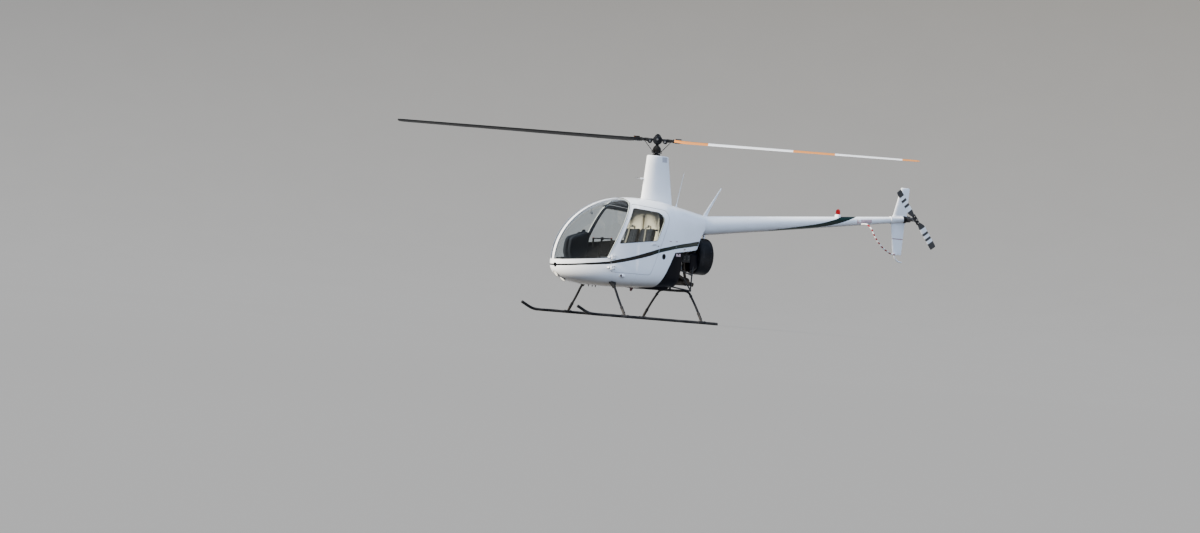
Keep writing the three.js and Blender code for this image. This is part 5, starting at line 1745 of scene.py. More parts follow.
@dataclass
class LandingGear:
    """Two skids on two bent leg tubes."""

    tread: float = 0.940
    tube: float = 0.021
    wear: float = 0.002
    aft: float = -0.720
    bend: float = 1.290
    tip: float = 1.528
    tip_rise: float = 0.116
    legs: tuple[float, float] = (0.770, -0.475)
    leg_tube: float = 0.017
    under: tuple[float, float] = (0.489, 0.457)
    # What lies lower than this is pressed flat onto the floor
    pressed: float = 0.0005

    def leg_path(self, i: int, steps: int = 96) -> list[Vector]:
        """A leg tube's centreline from the port skid to the starboard one.

        Args:
            i: 0 for the front leg, 1 for the rear one.
            steps: the number of stretches.

        Returns:
            Its points.
        """
        under = self.under[i]
        # y and z from the skid up to the belly
        half = [(self.tread - 0.008, self.tube + 0.016), (0.700, 0.258), (0.560, under - 0.084),
                (0.484, under - 0.026), (0.380, under), (0.170, under)]
        x = self.legs[i]
        port = [(x, y, z) for y, z in half]
        starboard = [(x, -y, z) for y, z in reversed(half)]
        return smooth_path([*port, (x, 0, under), *starboard], steps)

    def leg_draft(self, i: int, extra: float, sides: int) -> Draft:
        """A leg tube.

        Args:
            i: 0 for the front leg, 1 for the rear one.
            extra: how much larger its radius is.
            sides: the points of its section.

        Returns:
            The draft.
        """
        draft = Draft()
        draft.tube(self.leg_path(i), self.leg_tube + extra, sides)
        return draft

    def skid_path(self, steps: int = 72) -> list[Vector]:
        """The port skid's centreline from its aft end to its tip."""
        z, y = self.tube - self.wear, self.tread
        return smooth_path([(self.aft, y, z), (0, y, z), (self.bend - 0.140, y, z), (self.bend - 0.060, y, z),
                            (self.bend + 0.060, y, z + 0.014), (self.tip, y, self.tip_rise)], steps)

    def skid(self) -> Draft:
        """The port skid with its worn sole, wear shoes, end caps and leg saddles.

        Returns:
            The draft.
        """
        draft = Draft()
        path = self.skid_path()
        draft.tube(path, self.tube, 28)
        ends = ((path[0], (path[0] - path[1]).normalized()), (path[-1], (path[-1] - path[-2]).normalized()))
        for place, out in ends:
            draft.turned([(-0.02, self.tube + 0.0008), (0.0, self.tube + 0.0008), (0.0, self.tube * 0.5),
                          (-0.02, self.tube * 0.5)], place - out * 0.0005, out, 28, looped=True)
        for x in (-0.62, -0.30, 0.42, 1.02):
            shoe = smooth_path([(x - 0.11, self.tread, self.tube - self.wear),
                                (x + 0.11, self.tread, self.tube - self.wear)], 6)
            draft.tube(shoe, [self.tube + d for d in (0.0003, 0.002, 0.002, 0.002, 0.002, 0.002, 0.0003)], 28)
            for side in (-0.07, 0.07):
                draft.bolt((x + side, self.tread + self.tube + 0.0015, self.tube - 0.004), (0, 1, 0), 0.0045)
                draft.bolt((x + side, self.tread - self.tube - 0.0015, self.tube - 0.004), (0, -1, 0), 0.0045)
        for x in self.legs:
            draft.turned([(-0.062, self.tube + 0.0005), (-0.060, self.tube + 0.004),
                          (0.060, self.tube + 0.004), (0.062, self.tube + 0.0005)],
                         (x, self.tread, self.tube - self.wear), (1, 0, 0), 28)
            for side in (-0.046, 0.046):
                draft.bolt((x + side, self.tread - 0.012, 2 * self.tube + 0.001), (0, -0.3, 1), 0.005)
                draft.bolt((x + side, self.tread + 0.012, 2 * self.tube + 0.001), (0, 0.3, 1), 0.005)
        for point in draft.points:
            if point.z < self.pressed:
                point.z = 0.0
        return draft

    def leg_trim(self, i: int) -> Draft:
        """What is on a leg tube on the port side: its foot's socket, its boot and its clamp.

        Args:
            i: 0 for the front leg, 1 for the rear one.

        Returns:
            The draft.
        """
        draft = Draft()
        path = self.leg_path(i, 192)
        for low, high, extra in ((2, 7, 0.004), (7, 8, 0.006)):
            part = path[low:high + 1]
            draft.tube(part, self.leg_tube + extra, 24)
        near = [p for p in path if 0.445 < p.y < 0.545]
        if i == 0:
            draft.tube(near, [self.leg_tube + 0.003 + 0.002 * (k % 2) for k in range(len(near))], 24, 1)
            x = self.legs[0]
            rings = []
            for y, z, wide, deep in ((0.452, 0.492, 0.058, 0.024), (0.474, 0.474, 0.052, 0.024),
                                     (0.496, 0.448, 0.032, 0.023), (0.514, 0.424, 0.022, 0.021)):
                rings.append([Vector((x + wide * math.cos(a), y + 0.7 * deep * math.sin(a),
                                      z + 0.7 * deep * math.sin(a))) for a in angles(28)])
            draft.loft(rings, 1)
        else:
            draft.tube(near[:4], self.leg_tube + 0.005, 24, 1)
        return draft

    def build(self) -> None:
        """Builds the whole gear."""
        skid = self.skid()
        for side, draft in (("left", skid), ("right", skid.mirrored())):
            draft.piece(f"skid_{side}_tube", Body.AIRFRAME, [BLACK], [f"skid_{side}"])
        for i, name in enumerate(("gear_leg_front", "gear_leg_rear")):
            legs = self.leg_draft(i, 0.0, 28)
            trim = self.leg_trim(i).copy_across()
            legs.add(trim)
            legs.piece(name + "_tube", Body.AIRFRAME, [BLACK, RUBBER], [name])


@dataclass
class Controls:
    """The console, the cyclic stick with its bar, the collectives and the pedals."""

    console: tuple[tuple[float, ...], ...] = (
        (1.040, 0.5324, 0.0), (1.052, 0.800, 0.040), (1.015, 1.165, 0.012), (1.085, 1.185, 0.020),
        (1.305, 1.105, 0.060), (1.330, 0.900, 0.060), (1.200, 0.5324, 0.0),
    )
    half_width: float = 0.105
    floor: float = 0.5324
    # A small gauge that hangs from the bow: x, z
    bow_gauge: tuple[float, float] = (0.968, 1.477)
    # Dials on the panel: across, up, radius
    dials: tuple[tuple[float, float, float], ...] = (
        (-0.062, 1.112, 0.026), (0.0, 1.112, 0.026), (0.062, 1.112, 0.026), (-0.062, 1.050, 0.026),
        (0.0, 1.050, 0.026), (0.062, 1.050, 0.026), (-0.066, 0.996, 0.016), (-0.022, 0.996, 0.016),
        (0.022, 0.996, 0.016), (0.066, 0.996, 0.016),
    )

    def panel(self) -> None:
        """Builds the console with its dials, switches and compass."""
        draft = Draft()
        draft.plate(self.console, -self.half_width, self.half_width, 0, 0.008, 10)
        shade = [(1.012, 1.158, 0.004), (1.000, 1.176, 0.006), (1.080, 1.194, 0.02), (1.130, 1.180, 0.01),
                 (1.085, 1.176, 0.02)]
        draft.plate(shade, -self.half_width - 0.006, self.half_width + 0.006, 0, 0.002)
        face = Vector((-1, 0, 0.1)).normalized()
        for y, z, radius in self.dials:
            x = 1.040 - (z - 0.9) * 0.1
            place = Vector((x, y, z))
            draft.turned([(-0.002, radius), (0.002, radius), (0.003, radius - 0.002),
                          (0.0008, radius - 0.004), (-0.002, radius - 0.004)], place, face, 32, 0,
                         looped=True)
            draft.turned([(-0.001, 0.0), (-0.0004, radius - 0.004), (-0.0012, radius - 0.004)], place, face,
                         32, 1)
            for k in range(10):
                a = 2 * math.pi * k / 12 - 0.6
                spoke = Vector((0, math.cos(a), math.sin(a)))
                draft.rod(place + spoke * radius * 0.62, place + spoke * radius * 0.78, 0.0006, 4, 2)
            hand = Vector((0, math.cos(2.1 + y * 30), math.sin(2.1 + z * 11)))
            draft.rod(place, place + hand.normalized() * radius * 0.66, 0.0008, 4, 2)
        for k in range(6):
            draft.rod((1.046, -0.075 + 0.03 * k, 0.940), (1.036, -0.075 + 0.03 * k, 0.944), 0.004, 10, 3,
                      0.001)
        draft.block((1.030, -0.085, 0.835), (1.050, 0.085, 0.905), 0.004, 1)
        draft.turned([(-0.012, 0.022), (0.016, 0.024), (0.026, 0.016), (0.028, 0.0)], (1.075, 0, 1.205),
                     (-1, 0, 0.05), 24)
        draft.block((1.055, -0.024, 1.186), (1.100, 0.024, 1.208), 0.006)
        draft.turned([(0.024, 0.0175), (0.0285, 0.0001)], (1.077, 0, 1.205), (-1, 0, 0.05), 24, 2)
        draft.piece("console", Body.AIRFRAME, [TRIM, DIAL, NEEDLE, STEEL], ["instrument_console"])
        gauge, (x, z) = Draft(), self.bow_gauge
        gauge.turned([(-0.016, 0.010), (-0.014, 0.016), (0.004, 0.019), (0.012, 0.018), (0.014, 0.014),
                      (0.014, 0.0)], (x, 0, z), (-1, 0, 0), 28)
        gauge.rod((x + 0.004, 0, z + 0.015), (x + 0.020, 0, Mast.roof(x + 0.020, 0) - 0.020), 0.004, 12)
        gauge.piece("bow_gauge", Body.AIRFRAME, [HINGE_WHITE])

    def stick(self) -> None:
        """Builds the cyclic stick with its bar and two grips."""
        draft = Draft()
        route = smooth_path([(0.745, 0, self.floor), (0.745, 0, 0.700), (0.800, 0, 0.950),
                             (0.765, 0, 1.120)], 32)
        draft.tube(route, 0.014, 20)
        draft.turned([(0, 0.045), (0.006, 0.044), (0.020, 0.034), (0.030, 0.036), (0.042, 0.026),
                      (0.052, 0.028), (0.064, 0.018), (0.064, 0.013)], (0.745, 0, self.floor), (0, 0, 1), 24,
                     1)
        bar = smooth_path([(0.765, -0.290, 1.120), (0.765, -0.1, 1.120), (0.765, 0.1, 1.120),
                           (0.765, 0.290, 1.120)], 12)
        draft.tube(bar, 0.010, 16)
        draft.rod((0.765, -0.026, 1.120), (0.765, 0.026, 1.120), 0.020, 20, 0, 0.003)
        for y in (-0.300, 0.300):
            along = smooth_path([(0.765, y, 1.130), (0.7575, y, 1.066), (0.748, y, 1.000)], 16)
            radii = [0.009 + 0.006 * math.sin(math.pi * (0.15 + 0.75 * k / 16)) + 0.0008 * (k % 3 == 0)
                     for k in range(17)]
            draft.tube(along, radii, 18, 1)
            draft.rod((0.765, y, 1.1205), (0.765, y, 1.1345), 0.006, 12, 2, 0.001)
        draft.piece("cyclic", Body.AIRFRAME, [BLACK, RUBBER, RED], ["cyclic_stick"])

    def levers(self) -> None:
        """Builds the collective levers and the pedals."""
        for side, y in (("left", 0.468), ("right", 0.0)):
            draft = Draft()
            slope = 0.127 / 0.372
            start, end = Vector((0.3634, y, 0.7936)), Vector((0.690, y, 0.905))
            draft.tube([start, end], 0.0108, 16)
            grip = [start + (end - start) * t for t in (0.65, 0.67, 0.95, 1.0)]
            draft.tube(grip, [0.013, 0.0155, 0.0155, 0.012], 18, 1)
            draft.turned([(0, 0.020), (0.004, 0.020), (0.010, 0.013)], (0.372, y, 0.7905), (0, 0, 1), 20, 1)
            throttle = Vector((0.560, y, 0.778 + slope * (0.560 - 0.318)))
            draft.tube([throttle, throttle + (end - start).normalized() * 0.012], 0.0175, 18, 2)
            draft.piece(f"collective_{side}", Body.AIRFRAME, [BLACK, RUBBER, STEEL],
                        [f"collective_lever_{side}"])
        pedals = Draft()
        for y in (0.152, 0.238):
            pedals.rod((1.130, y, 0.546), (1.100, y, 0.650), 0.007, 14, 0, 0.001)
            pedals.block((1.088, y - 0.032, 0.590), (1.098, y + 0.032, 0.680), 0.003, 0)
            for k in range(5):
                z = 0.602 + 0.016 * k
                pedals.rod((1.088, y - 0.026, z), (1.088, y + 0.026, z), 0.0022, 6, 1)
        pedals.rod((1.130, 0.120, 0.5428), (1.130, 0.245, 0.5428), 0.010, 16, 0, 0.002)
        pedals.piece("pedals_left_set", Body.AIRFRAME, [STEEL, RUBBER], ["pedals_left"])
        pedals.mirrored().piece("pedals_right_set", Body.AIRFRAME, [STEEL, RUBBER], ["pedals_right"])

    def build(self) -> None:
        """Builds all the controls."""
        self.panel()
        self.stick()
        self.levers()


@dataclass
class Seats:
    """Both seats: padded cushions and backs with welts, channels and harnesses."""

    inner: float = 0.040
    outer: float = 0.440
    bottom: float = 0.7904
    top: float = 0.8704
    front: float = 0.640
    aft: float = 0.2254
    # Sewn channels and border seam: how deep and how wide
    channel: tuple[float, float] = (0.0055, 0.0065)
    seam: tuple[float, float] = (0.006, 0.006)
    # The stuffing: two sizes of the even mesh's cell, frames, pressure and the cloth's stiffness
    cells: tuple[float, float] = (0.009, 0.006)
    frames: int = 20
    pressure: float = 4.0
    stiffness: float = 18.0
    bending: float = 0.6
    mass: float = 0.3
    # Half a belt's width
    strap_half: float = 0.023
    # How far a point must face the sewn side to be pressed in
    least_lean: float = 0.35
    # x, z and corner size
    back: tuple[tuple[float, ...], ...] = (
        (0.1931, 0.8724, 0.0), (0.1284, 1.250, 0.0), (0.1269, 1.330, 0.010), (0.190, 1.330, 0.030),
        (0.205, 1.250, 0.030), (0.268, 0.8724, 0.020),
    )

    def padded(self, draft: Draft, name: str, node: str, facing: Vector, cap: float) -> None:
        """Swells a plain pad like stuffed cloth and puts it on both seats.

        Args:
            draft: the plain pad, a little smaller than its room, on the port side.
            name: the piece's name.
            node: the node that it replaces.
            facing: the way its sewn side faces.
            cap: how far a point may move.
        """
        mesh = draft.data(name)
        pad = bpy.data.objects.new(name, mesh)
        bpy.context.scene.collection.objects.link(pad)
        bpy.context.view_layer.objects.active = pad
        remesh = pad.modifiers.new("even", "REMESH")
        remesh.mode = "VOXEL"
        remesh.voxel_size = self.cells[1]
        mesh = self.applied(pad)
        rest = [v.co.copy() for v in mesh.vertices]
        cloth = pad.modifiers.new("stuffed", "CLOTH")
        cloth.settings.quality = 6
        cloth.settings.mass = self.mass
        cloth.settings.tension_stiffness = self.stiffness
        cloth.settings.compression_stiffness = self.stiffness
        cloth.settings.bending_stiffness = self.bending
        cloth.settings.use_pressure = True
        cloth.settings.uniform_pressure_force = self.pressure
        cloth.settings.effector_weights.gravity = 0
        cloth.point_cache.frame_start = 1
        cloth.point_cache.frame_end = self.frames
        for number in range(1, self.frames + 1):
            bpy.context.scene.frame_set(number)
            bpy.context.view_layer.update()
        mesh = self.applied(pad)
        bpy.context.scene.frame_set(1)
        for vertex, start in zip(mesh.vertices, rest):
            moved = vertex.co - start
            vertex.co = start + moved * min(1.0, cap / max(moved.length, 1e-9))
        self.sew(mesh, facing)
        mesh.update()
        twin = mesh.copy()
        bpy.data.objects.remove(pad)
        for side, made, sign in (("left", mesh, 1), ("right", twin, -1)):
            mirror_mesh(made, sign)
            piece = install(made, f"{name}_{side}", Body.AIRFRAME, [CLOTH], [f"{node}_{side}"], 180.0)
            smooth = piece.modifiers.new("smooth", "SUBSURF")
            smooth.levels = smooth.render_levels = 1

    @staticmethod
    def applied(pad: bpy.types.Object) -> bpy.types.Mesh:
        """Applies an object's modifiers.

        Args:
            pad: the object.

        Returns:
            Its new mesh.
        """
        depsgraph = bpy.context.evaluated_depsgraph_get()
        made = bpy.data.meshes.new_from_object(pad.evaluated_get(depsgraph))
        pad.modifiers.clear()
        pad.data = made
        return made

    def sew(self, mesh: bpy.types.Mesh, facing: Vector) -> None:
        """Presses sewn channels and a border seam into the sewn side.

        Args:
            mesh: the pad.
            facing: the way its sewn side faces.
        """
        middle = (self.inner + self.outer) / 2
        half = (self.outer - self.inner) / 2
        for vertex in mesh.vertices:
            lean = vertex.normal.dot(facing)
            if lean < self.least_lean:
                continue
            off = vertex.co.y - middle
            lines = sum(math.exp(-((off - line) / self.channel[1]) ** 2)
                        for line in (-0.5 * half, 0.0, 0.5 * half))
            border = math.exp(-((abs(off) - 0.80 * half) / self.seam[1]) ** 2)
            inside = min(1.0, max(0.0, (0.83 * half - abs(off)) / 0.02))
            depth = self.channel[0] * lines * inside + self.seam[0] * border
            vertex.co -= vertex.normal * depth * min(1.0, (lean - self.least_lean) * 3)

    def belts(self) -> None:
        """Builds the lap and shoulder straps as flat webbing with buckles."""
        draft = Draft()
        for y in (0.085, 0.395):
            inward = 0.075 if y < 0.2 else -0.075
            lap = [(0.236, y, 0.880), (0.300, y + 0.1 * inward, 0.8855), (0.400, y + 0.6 * inward, 0.8850),
                   (0.430, y + 1.6 * inward, 0.8865)]
            self.strap(draft, lap, self.strap_half, Vector((0, 0, 1)))
        shoulder = [(0.140, 0.255, 1.345), (0.200, 0.262, 1.338), (0.216, 0.270, 1.250),
                    (0.246, 0.300, 1.080), (0.270, 0.335, 0.955), (0.300, 0.372, 0.8905)]
        self.strap(draft, shoulder, self.strap_half, Vector((1, 0, 0.15)))
        draft.block((0.404, 0.212, 0.8835), (0.462, 0.262, 0.8985), 0.003, 1)
        draft.rod((0.433, 0.237, 0.8985), (0.433, 0.237, 0.9015), 0.012, 20, 1, 0.001)
        reel = [(0.1405, 0.235, 1.342), (0.1675, 0.275, 1.3705)]
        draft.block(*reel, 0.004, 1)
        draft.copy_across().piece("harness", Body.AIRFRAME, [BELT, STEEL])

    @staticmethod
    def strap(draft: Draft, points: Sequence[Point], half: float, up: Vector) -> None:
        """Adds a flat strap along a path.

        Args:
            draft: where it is added.
            points: the places it passes.
            half: half its width.
            up: the way its flat side roughly faces.
        """
        path = smooth_path(points, 8 * (len(points) - 1))
        rings = []
        for i, here in enumerate(path):
            along = (path[min(i + 1, len(path) - 1)] - path[max(i - 1, 0)]).normalized()
            side = along.cross(up).normalized()
            face = side.cross(along).normalized()
            corners = ((-1, 0), (-0.96, 0.0009), (0.96, 0.0009), (1, 0), (0.96, -0.0009), (-0.96, -0.0009))
            rings.append([here + side * (half * a) + face * b for a, b in corners])
        draft.loft(rings)

    def build(self) -> None:
        """Builds the cushions, the backs and the harnesses."""
        pad = Draft()
        pad.block((self.aft + 0.006, self.inner + 0.006, self.bottom + 0.002),
                  (self.front - 0.006, self.outer - 0.006, self.top - 0.012), 0.016)
        self.padded(pad, "seat_cushion_pad", "seat_cushion", Vector((0, 0, 1)), 0.011)
        rest = Draft()
        rest.plate(inset(self.back, 0.007), self.inner + 0.006, self.outer - 0.006, 0, 0.012)
        self.padded(rest, "seat_back_pad", "seat_back", Vector((1, 0, 0.1)), 0.008)
        self.belts()


@dataclass
class CabinInterior:
    """The floor, the walls behind the seats, the cross bars, the post and the header."""

    # Cross bars on the back wall: z and x
    bars: tuple[tuple[float, float], ...] = ((1.62, 0.11), (1.30, 0.115))
    # Low box between the seats: x, z and corner size
    box: tuple[tuple[float, float, float], ...] = (
        (0.215, 0.792, 0.0), (0.215, 0.842, 0.01), (0.610, 0.842, 0.012), (0.610, 0.792, 0.0),
    )
    box_half: float = 0.030

    def build(self) -> None:
        """Dresses what keeps its own form and builds the trim."""
        dress("cabin_floor", CARPET)
        dress("cabin_back_wall", WALL)
        dress("firewall", PANEL_BLACK)
        dress("seat_base", TRIM)
        draft = Draft()
        for z, x in self.bars:
            y = HULL.skin(x, z, HULL.wall) - 0.02
            draft.block((x + 0.010, -y, z - 0.012), (x + 0.022, y, z + 0.012), 0.004, 0)
        draft.block((0.128, -0.032, 0.88), (0.150, 0.032, 1.52), 0.010, 2)
        draft.plate(self.box, -self.box_half, self.box_half, 0, 0.003)
        for x in (0.30, 0.40, 0.50):
            draft.rod((x, 0, 0.8415), (x, 0, 0.8475), 0.010, 16, 1, 0.002)
        header = HULL.skin(0.6, 1.60, HULL.wall)
        draft.tube([(0.600, -header, 1.615), (0.597, -0.2, 1.652), (0.596, 0, 1.658), (0.597, 0.2, 1.652),
                    (0.600, header, 1.615)], 0.012, 12, 0)
        draft.piece("cabin_trim", Body.AIRFRAME, [TRIM, RED, WALL])


def streamlined(aft: float, front: float, half: float, z: float, count: int = 56) -> list[Vector]:
    """A level section that is blunt in front and fine behind."""
    ring = []
    for a in angles(count):
        along = (1 + math.cos(a)) / 2
        ring.append(Vector((aft + (front - aft) * along, half * math.sin(a) * (0.62 + 0.38 * along), z)))
    return ring


@dataclass
class Mast:
    """The gearbox, the fixed mast and its fairing."""

    base: float = 1.676
    top: float = 2.400
    outer: float = 0.045
    low_z: float = 1.600
    low: tuple[float, float, float] = (-0.337, 0.200, 0.112)
    high: tuple[float, float, float] = (-0.200, 0.145, 0.092)
    pitot_z: float = 2.050

    def ring(self, z: float, shrink: float = 0.0) -> list[Vector]:
        """The fairing's section at a height, made smaller all round."""
        share = (z - self.low_z) / (self.top - self.low_z)
        aft, front, half = (a + (b - a) * share for a, b in zip(self.low, self.high))
        return streamlined(aft + shrink, front - shrink, half - shrink, z)

    @staticmethod
    def roof(x: float, y: float) -> float:
        """The height of the roof at a place."""
        roof, _, width, waist, above, _ = HULL.sizes(x)
        return waist + (roof - waist) * (1 - min(1.0, abs(y) / width) ** above) ** (1 / above)

    def fairing(self) -> None:
        """Builds the fairing with its foot's bead, screws and air-speed tube."""
        foot = [Vector((p.x, p.y, self.roof(p.x, p.y) - 0.001)) for p in self.ring(1.70)]
        rings = [foot] + [self.ring(z) for z in (1.80, 1.95, 2.10, 2.25, 2.385)]
        rings += [self.ring(2.394, 0.004), self.ring(2.399, 0.010), self.ring(2.400, 0.018)]
        draft = Draft()
        draft.loft(rings)
        bead = [p + Vector((0, 0, 0.003)) for p in foot]
        draft.tube(bead, 0.0042, 8, 1, looped=True)
        for z in (1.790, 2.360):
            ring = self.ring(z)
            places = []
            for k in range(3, len(ring), 4):
                out = (ring[(k + 1) % len(ring)] - ring[k - 1]).cross(Vector((0, 0, 1))).normalized()
                places.append((ring[k], out if out.dot(ring[k] - Vector((0, 0, z))) > 0 else -out))
            draft.domes(places, 0.0038, 0.0015)
        z = self.pitot_z
        draft.rod((0.163, 0, z), (0.235, 0, z - 0.004), 0.010, 20, 0, 0.003)
        draft.rod((0.235, 0, z - 0.004), (0.302, 0, z - 0.004), 0.0065, 20, 2, 0.002)
        draft.turned([(0, 0.0001), (0, 0.0035), (0.001, 0.0035)], (0.3018, 0, z - 0.004), (1, 0, 0), 16, 1)
        draft.turned([(0, 0.020), (0.004, 0.020), (0.010, 0.011)], (0.159, 0, z), (1, 0, 0), 24)
        draft.piece("mast_fairing_skin", Body.AIRFRAME, [PLAIN_WHITE, SEAL, STEEL], ["mast_fairing"])
        patch = Draft()
        layers = [[p for p in self.ring(z, -0.0005) if -0.165 < p.x < -0.055 and p.y > 0]
                  for z in (2.310, 2.335, 2.360, 2.385)]
        patch.loft([[*spots, *[p - Vector((0, 0.001, 0)) for p in reversed(spots)]] for spots in layers])
        patch.piece("fairing_label", Body.AIRFRAME, [GREY_LABEL])

    def gearbox(self) -> None:
        """Builds the gearbox and the fixed mast with the lower swashplate."""
        draft = Draft()
        draft.block((-0.105, -0.13, 1.296), (0.105, 0.13, 1.640), 0.02)
        draft.turned([(0, 0.10), (0.02, 0.098), (0.036, 0.07), (0.036, self.outer)], (0, 0, 1.640),
                     (0, 0, 1), 40)
        draft.turned([(0, self.outer), (self.top - self.base, self.outer)], (0, 0, self.base), (0, 0, 1), 48)
        rows = [(0.0006, 0.046), (0.0006, 0.052), (0.004, 0.056), (0.018, 0.058), (0.022, 0.054),
                (0.030, 0.052), (0.030, 0.034)]
        draft.turned(rows, (0, 0, self.top), (0, 0, 1), 56, 2)
        for a in angles(8, 0.5):
            draft.bolt((0.084 * math.cos(a), 0.084 * math.sin(a), 1.656), (0, 0, 1), 0.006, 1)
            draft.bolt((0.056 * math.cos(a), 0.056 * math.sin(a), self.top + 0.012),
                       (math.cos(a), math.sin(a), 0), 0.003, 1)
        draft.piece("gearbox_case", Body.AIRFRAME, [CAST, STEEL, BLACK], ["gearbox_and_mast"])

    def build(self) -> None:
        """Builds the mast."""
        self.gearbox()
        self.fairing()


@dataclass
class MainRotor:
    """The two-blade rotor: its shaft, teetering hub, swashplate and blades."""

    radius: float = 3.835
    height: float = 2.630
    chord: float = 0.183
    rest: float = -30.0
    twist: float = -7.0
    pitch: float = 10.0
    # Distance from the mast, chord, thickness
    rows: tuple[tuple[float, float, float], ...] = (
        (0.250, 0.096, 0.062), (0.285, 0.106, 0.060), (0.320, 0.120, 0.054), (0.370, 0.155, 0.041),
        (0.430, 0.183, 0.030), (0.500, 0.183, 0.027), (0.600, 0.183, 0.024), (1.400, 0.183, 0.024),
        (2.200, 0.183, 0.024), (3.000, 0.183, 0.024), (3.775, 0.183, 0.024), (3.808, 0.168, 0.020),
        (3.828, 0.143, 0.016), (3.835, 0.133, 0.011),
    )

    @property
    def turn(self) -> Matrix:
        """How the rotor stands at rest."""
        return Matrix.Rotation(math.radians(self.rest), 4, "Z")

    def foil(self, r: float, chord: float, thickness: float, pitch: float, count: int = 40) -> list[Vector]:
        """A blade's section with its leading edge on the +Y side."""
        tilt = math.radians(pitch)
        ring = []
        for a in angles(count):
            along = (1 + math.cos(a)) / 2
            y, z = chord * (along - 0.72), thickness / 2 * math.sin(a) * (0.45 + 0.7 * along)
            ring.append(Vector((r, y * math.cos(tilt) - z * math.sin(tilt), y * math.sin(tilt)
                                + z * math.cos(tilt))))
        return ring

    def blade(self) -> Draft:
        """One blade along +X: top, underside and leading-edge strip in marks 0, 1 and 2."""
        count = 40
        draft = Draft()
        pitches = [self.pitch + self.twist * (row[0] / self.radius - 0.75) for row in self.rows]
        draft.loft([self.foil(*row, pitch, count) for row, pitch in zip(self.rows, pitches)])
        for i in range(len(self.rows) - 1):
            for k in range(count):
                middle = (k + 0.5) * 2 * math.pi / count
                edge = (1 + math.cos(middle)) / 2 > 0.80
                draft.marks[i * count + k] = 2 if edge else 0 if math.sin(middle) > 0 else 1
        tilt = Matrix.Rotation(math.radians(14.7), 4, "X")
        draft.block((0.262, -0.030, 0.0315), (0.352, 0.020, 0.0345), 0.001, 1, tilt)
        for x, y in ((0.275, -0.018), (0.275, 0.008), (0.310, -0.018), (0.310, 0.008), (0.340, -0.005)):
            for sign in (1, -1):
                spot = tilt @ Vector((x, y, sign * 0.0275))
                draft.bolt(spot, tilt @ Vector((0, 0, sign)), 0.0055, 3)
        tab_y = -0.72 * self.chord
        draft.block((2.78, tab_y - 0.020, -0.0245), (2.98, tab_y + 0.004, -0.0232), 0.0004, 3)
        draft.move(Matrix.Translation((0, 0, self.height)))
        draft.reach = [p.x for p in draft.points]
        return draft

    def head(self) -> Draft:
        """The hub, its bolts, spindles, pitch horns and links along both blades."""
        z = self.height
        half = Draft()
        half.block((-0.020, -0.036, z - 0.014), (0.150, 0.036, z + 0.020), 0.007)
        half.rod((0.112, -0.046, z - 0.018), (0.112, 0.046, z - 0.018), 0.034, 36, 0, 0.005)
        for sign in (1, -1):
            half.turned([(0, 0.024), (0.004, 0.024), (0.005, 0.018)], (0.112, sign * 0.045, z - 0.018),
                        (0, sign, 0), 24, 0)
            half.turned([(0, 0.015), (0.008, 0.015), (0.010, 0.012)], (0.112, sign * 0.046, z - 0.018),
                        (0, sign, 0), 6, 1)
        boot = [(0.0, 0.025)]
        for k in range(6):
            boot += [(0.006 + 0.013 * k, 0.0285 - 0.0008 * k), (0.0125 + 0.013 * k, 0.0245 - 0.0008 * k)]
        boot += [(0.086, 0.022), (0.095, 0.022), (0.115, 0.024)]
        half.turned(boot, (0.1348, 0, z), (1, 0, 0), 36, 2)
        half.turned([(0, 0.0285), (0.012, 0.0285), (0.040, 0.020)], (0.226, 0, z), (1, 0, 0), 36, 2)
        half.block((0.185, 0.0, z - 0.014), (0.215, 0.119, z + 0.008), 0.006)
        top, low = Vector((0.200, 0.108, z - 0.004)), Vector((0.062, 0.074, 2.466))
        axis = (top - low).normalized()
        half.tube([low, low + axis * 0.035, low + axis * 0.037, top - axis * 0.037, top - axis * 0.035, top],
                  [0.0035, 0.0035, 0.005, 0.005, 0.0035, 0.0035], 14, 0)
        for end in (low + axis * 0.006, top):
            half.rod(end - Vector((0, 0.009, 0)), end + Vector((0, 0.009, 0)), 0.009, 18, 0, 0.002)
        half.turned([(0, 0.0075), (0.006, 0.0075)], low + axis * 0.030, axis, 6, 1)
        half.turned([(0, 0.0075), (0.006, 0.0075)], top - axis * 0.030, -axis, 6, 1)
        half.add(half.moved(Matrix.Rotation(math.pi, 4, "Z")))
        half.turned([(0, 0.028), (2.575 - 1.680, 0.024)], (0, 0, 1.680), (0, 0, 1), 36)
        half.turned([(0, 0.036), (0.006, 0.044), (0.018, 0.058), (0.034, 0.064), (0.090, 0.064),
                     (0.104, 0.056), (0.112, 0.044), (0.128, 0.042), (0.134, 0.036), (0.136, 0.024),
                     (0.146, 0.024), (0.150, 0.018)], (0, 0, 2.570), (0, 0, 1), 40)
        half.rod((0, -0.068, z + 0.010), (0, 0.068, z + 0.010), 0.022, 28, 0, 0.002)
        for sign in (1, -1):
            half.turned([(0, 0.016), (0.008, 0.016), (0.010, 0.013)], (0, sign * 0.067, z + 0.010),
                        (0, sign, 0), 6, 1)
        for a in angles(8, 0.5):
            half.bolt((0.051 * math.cos(a), 0.051 * math.sin(a), 2.677), (0, 0, 1), 0.0045, 1)
        bundle = [(0.0, 0.054)]
        for k in range(6):
            bundle += [(0.004 + 0.014 * k, 0.066 - 0.00018 * k**3),
                       (0.010 + 0.014 * k, 0.059 - 0.00018 * k**3)]
        half.turned([*bundle, (0.086, 0.028)], (0, 0, 2.459), (0, 0, 1), 40, 2)
        return half

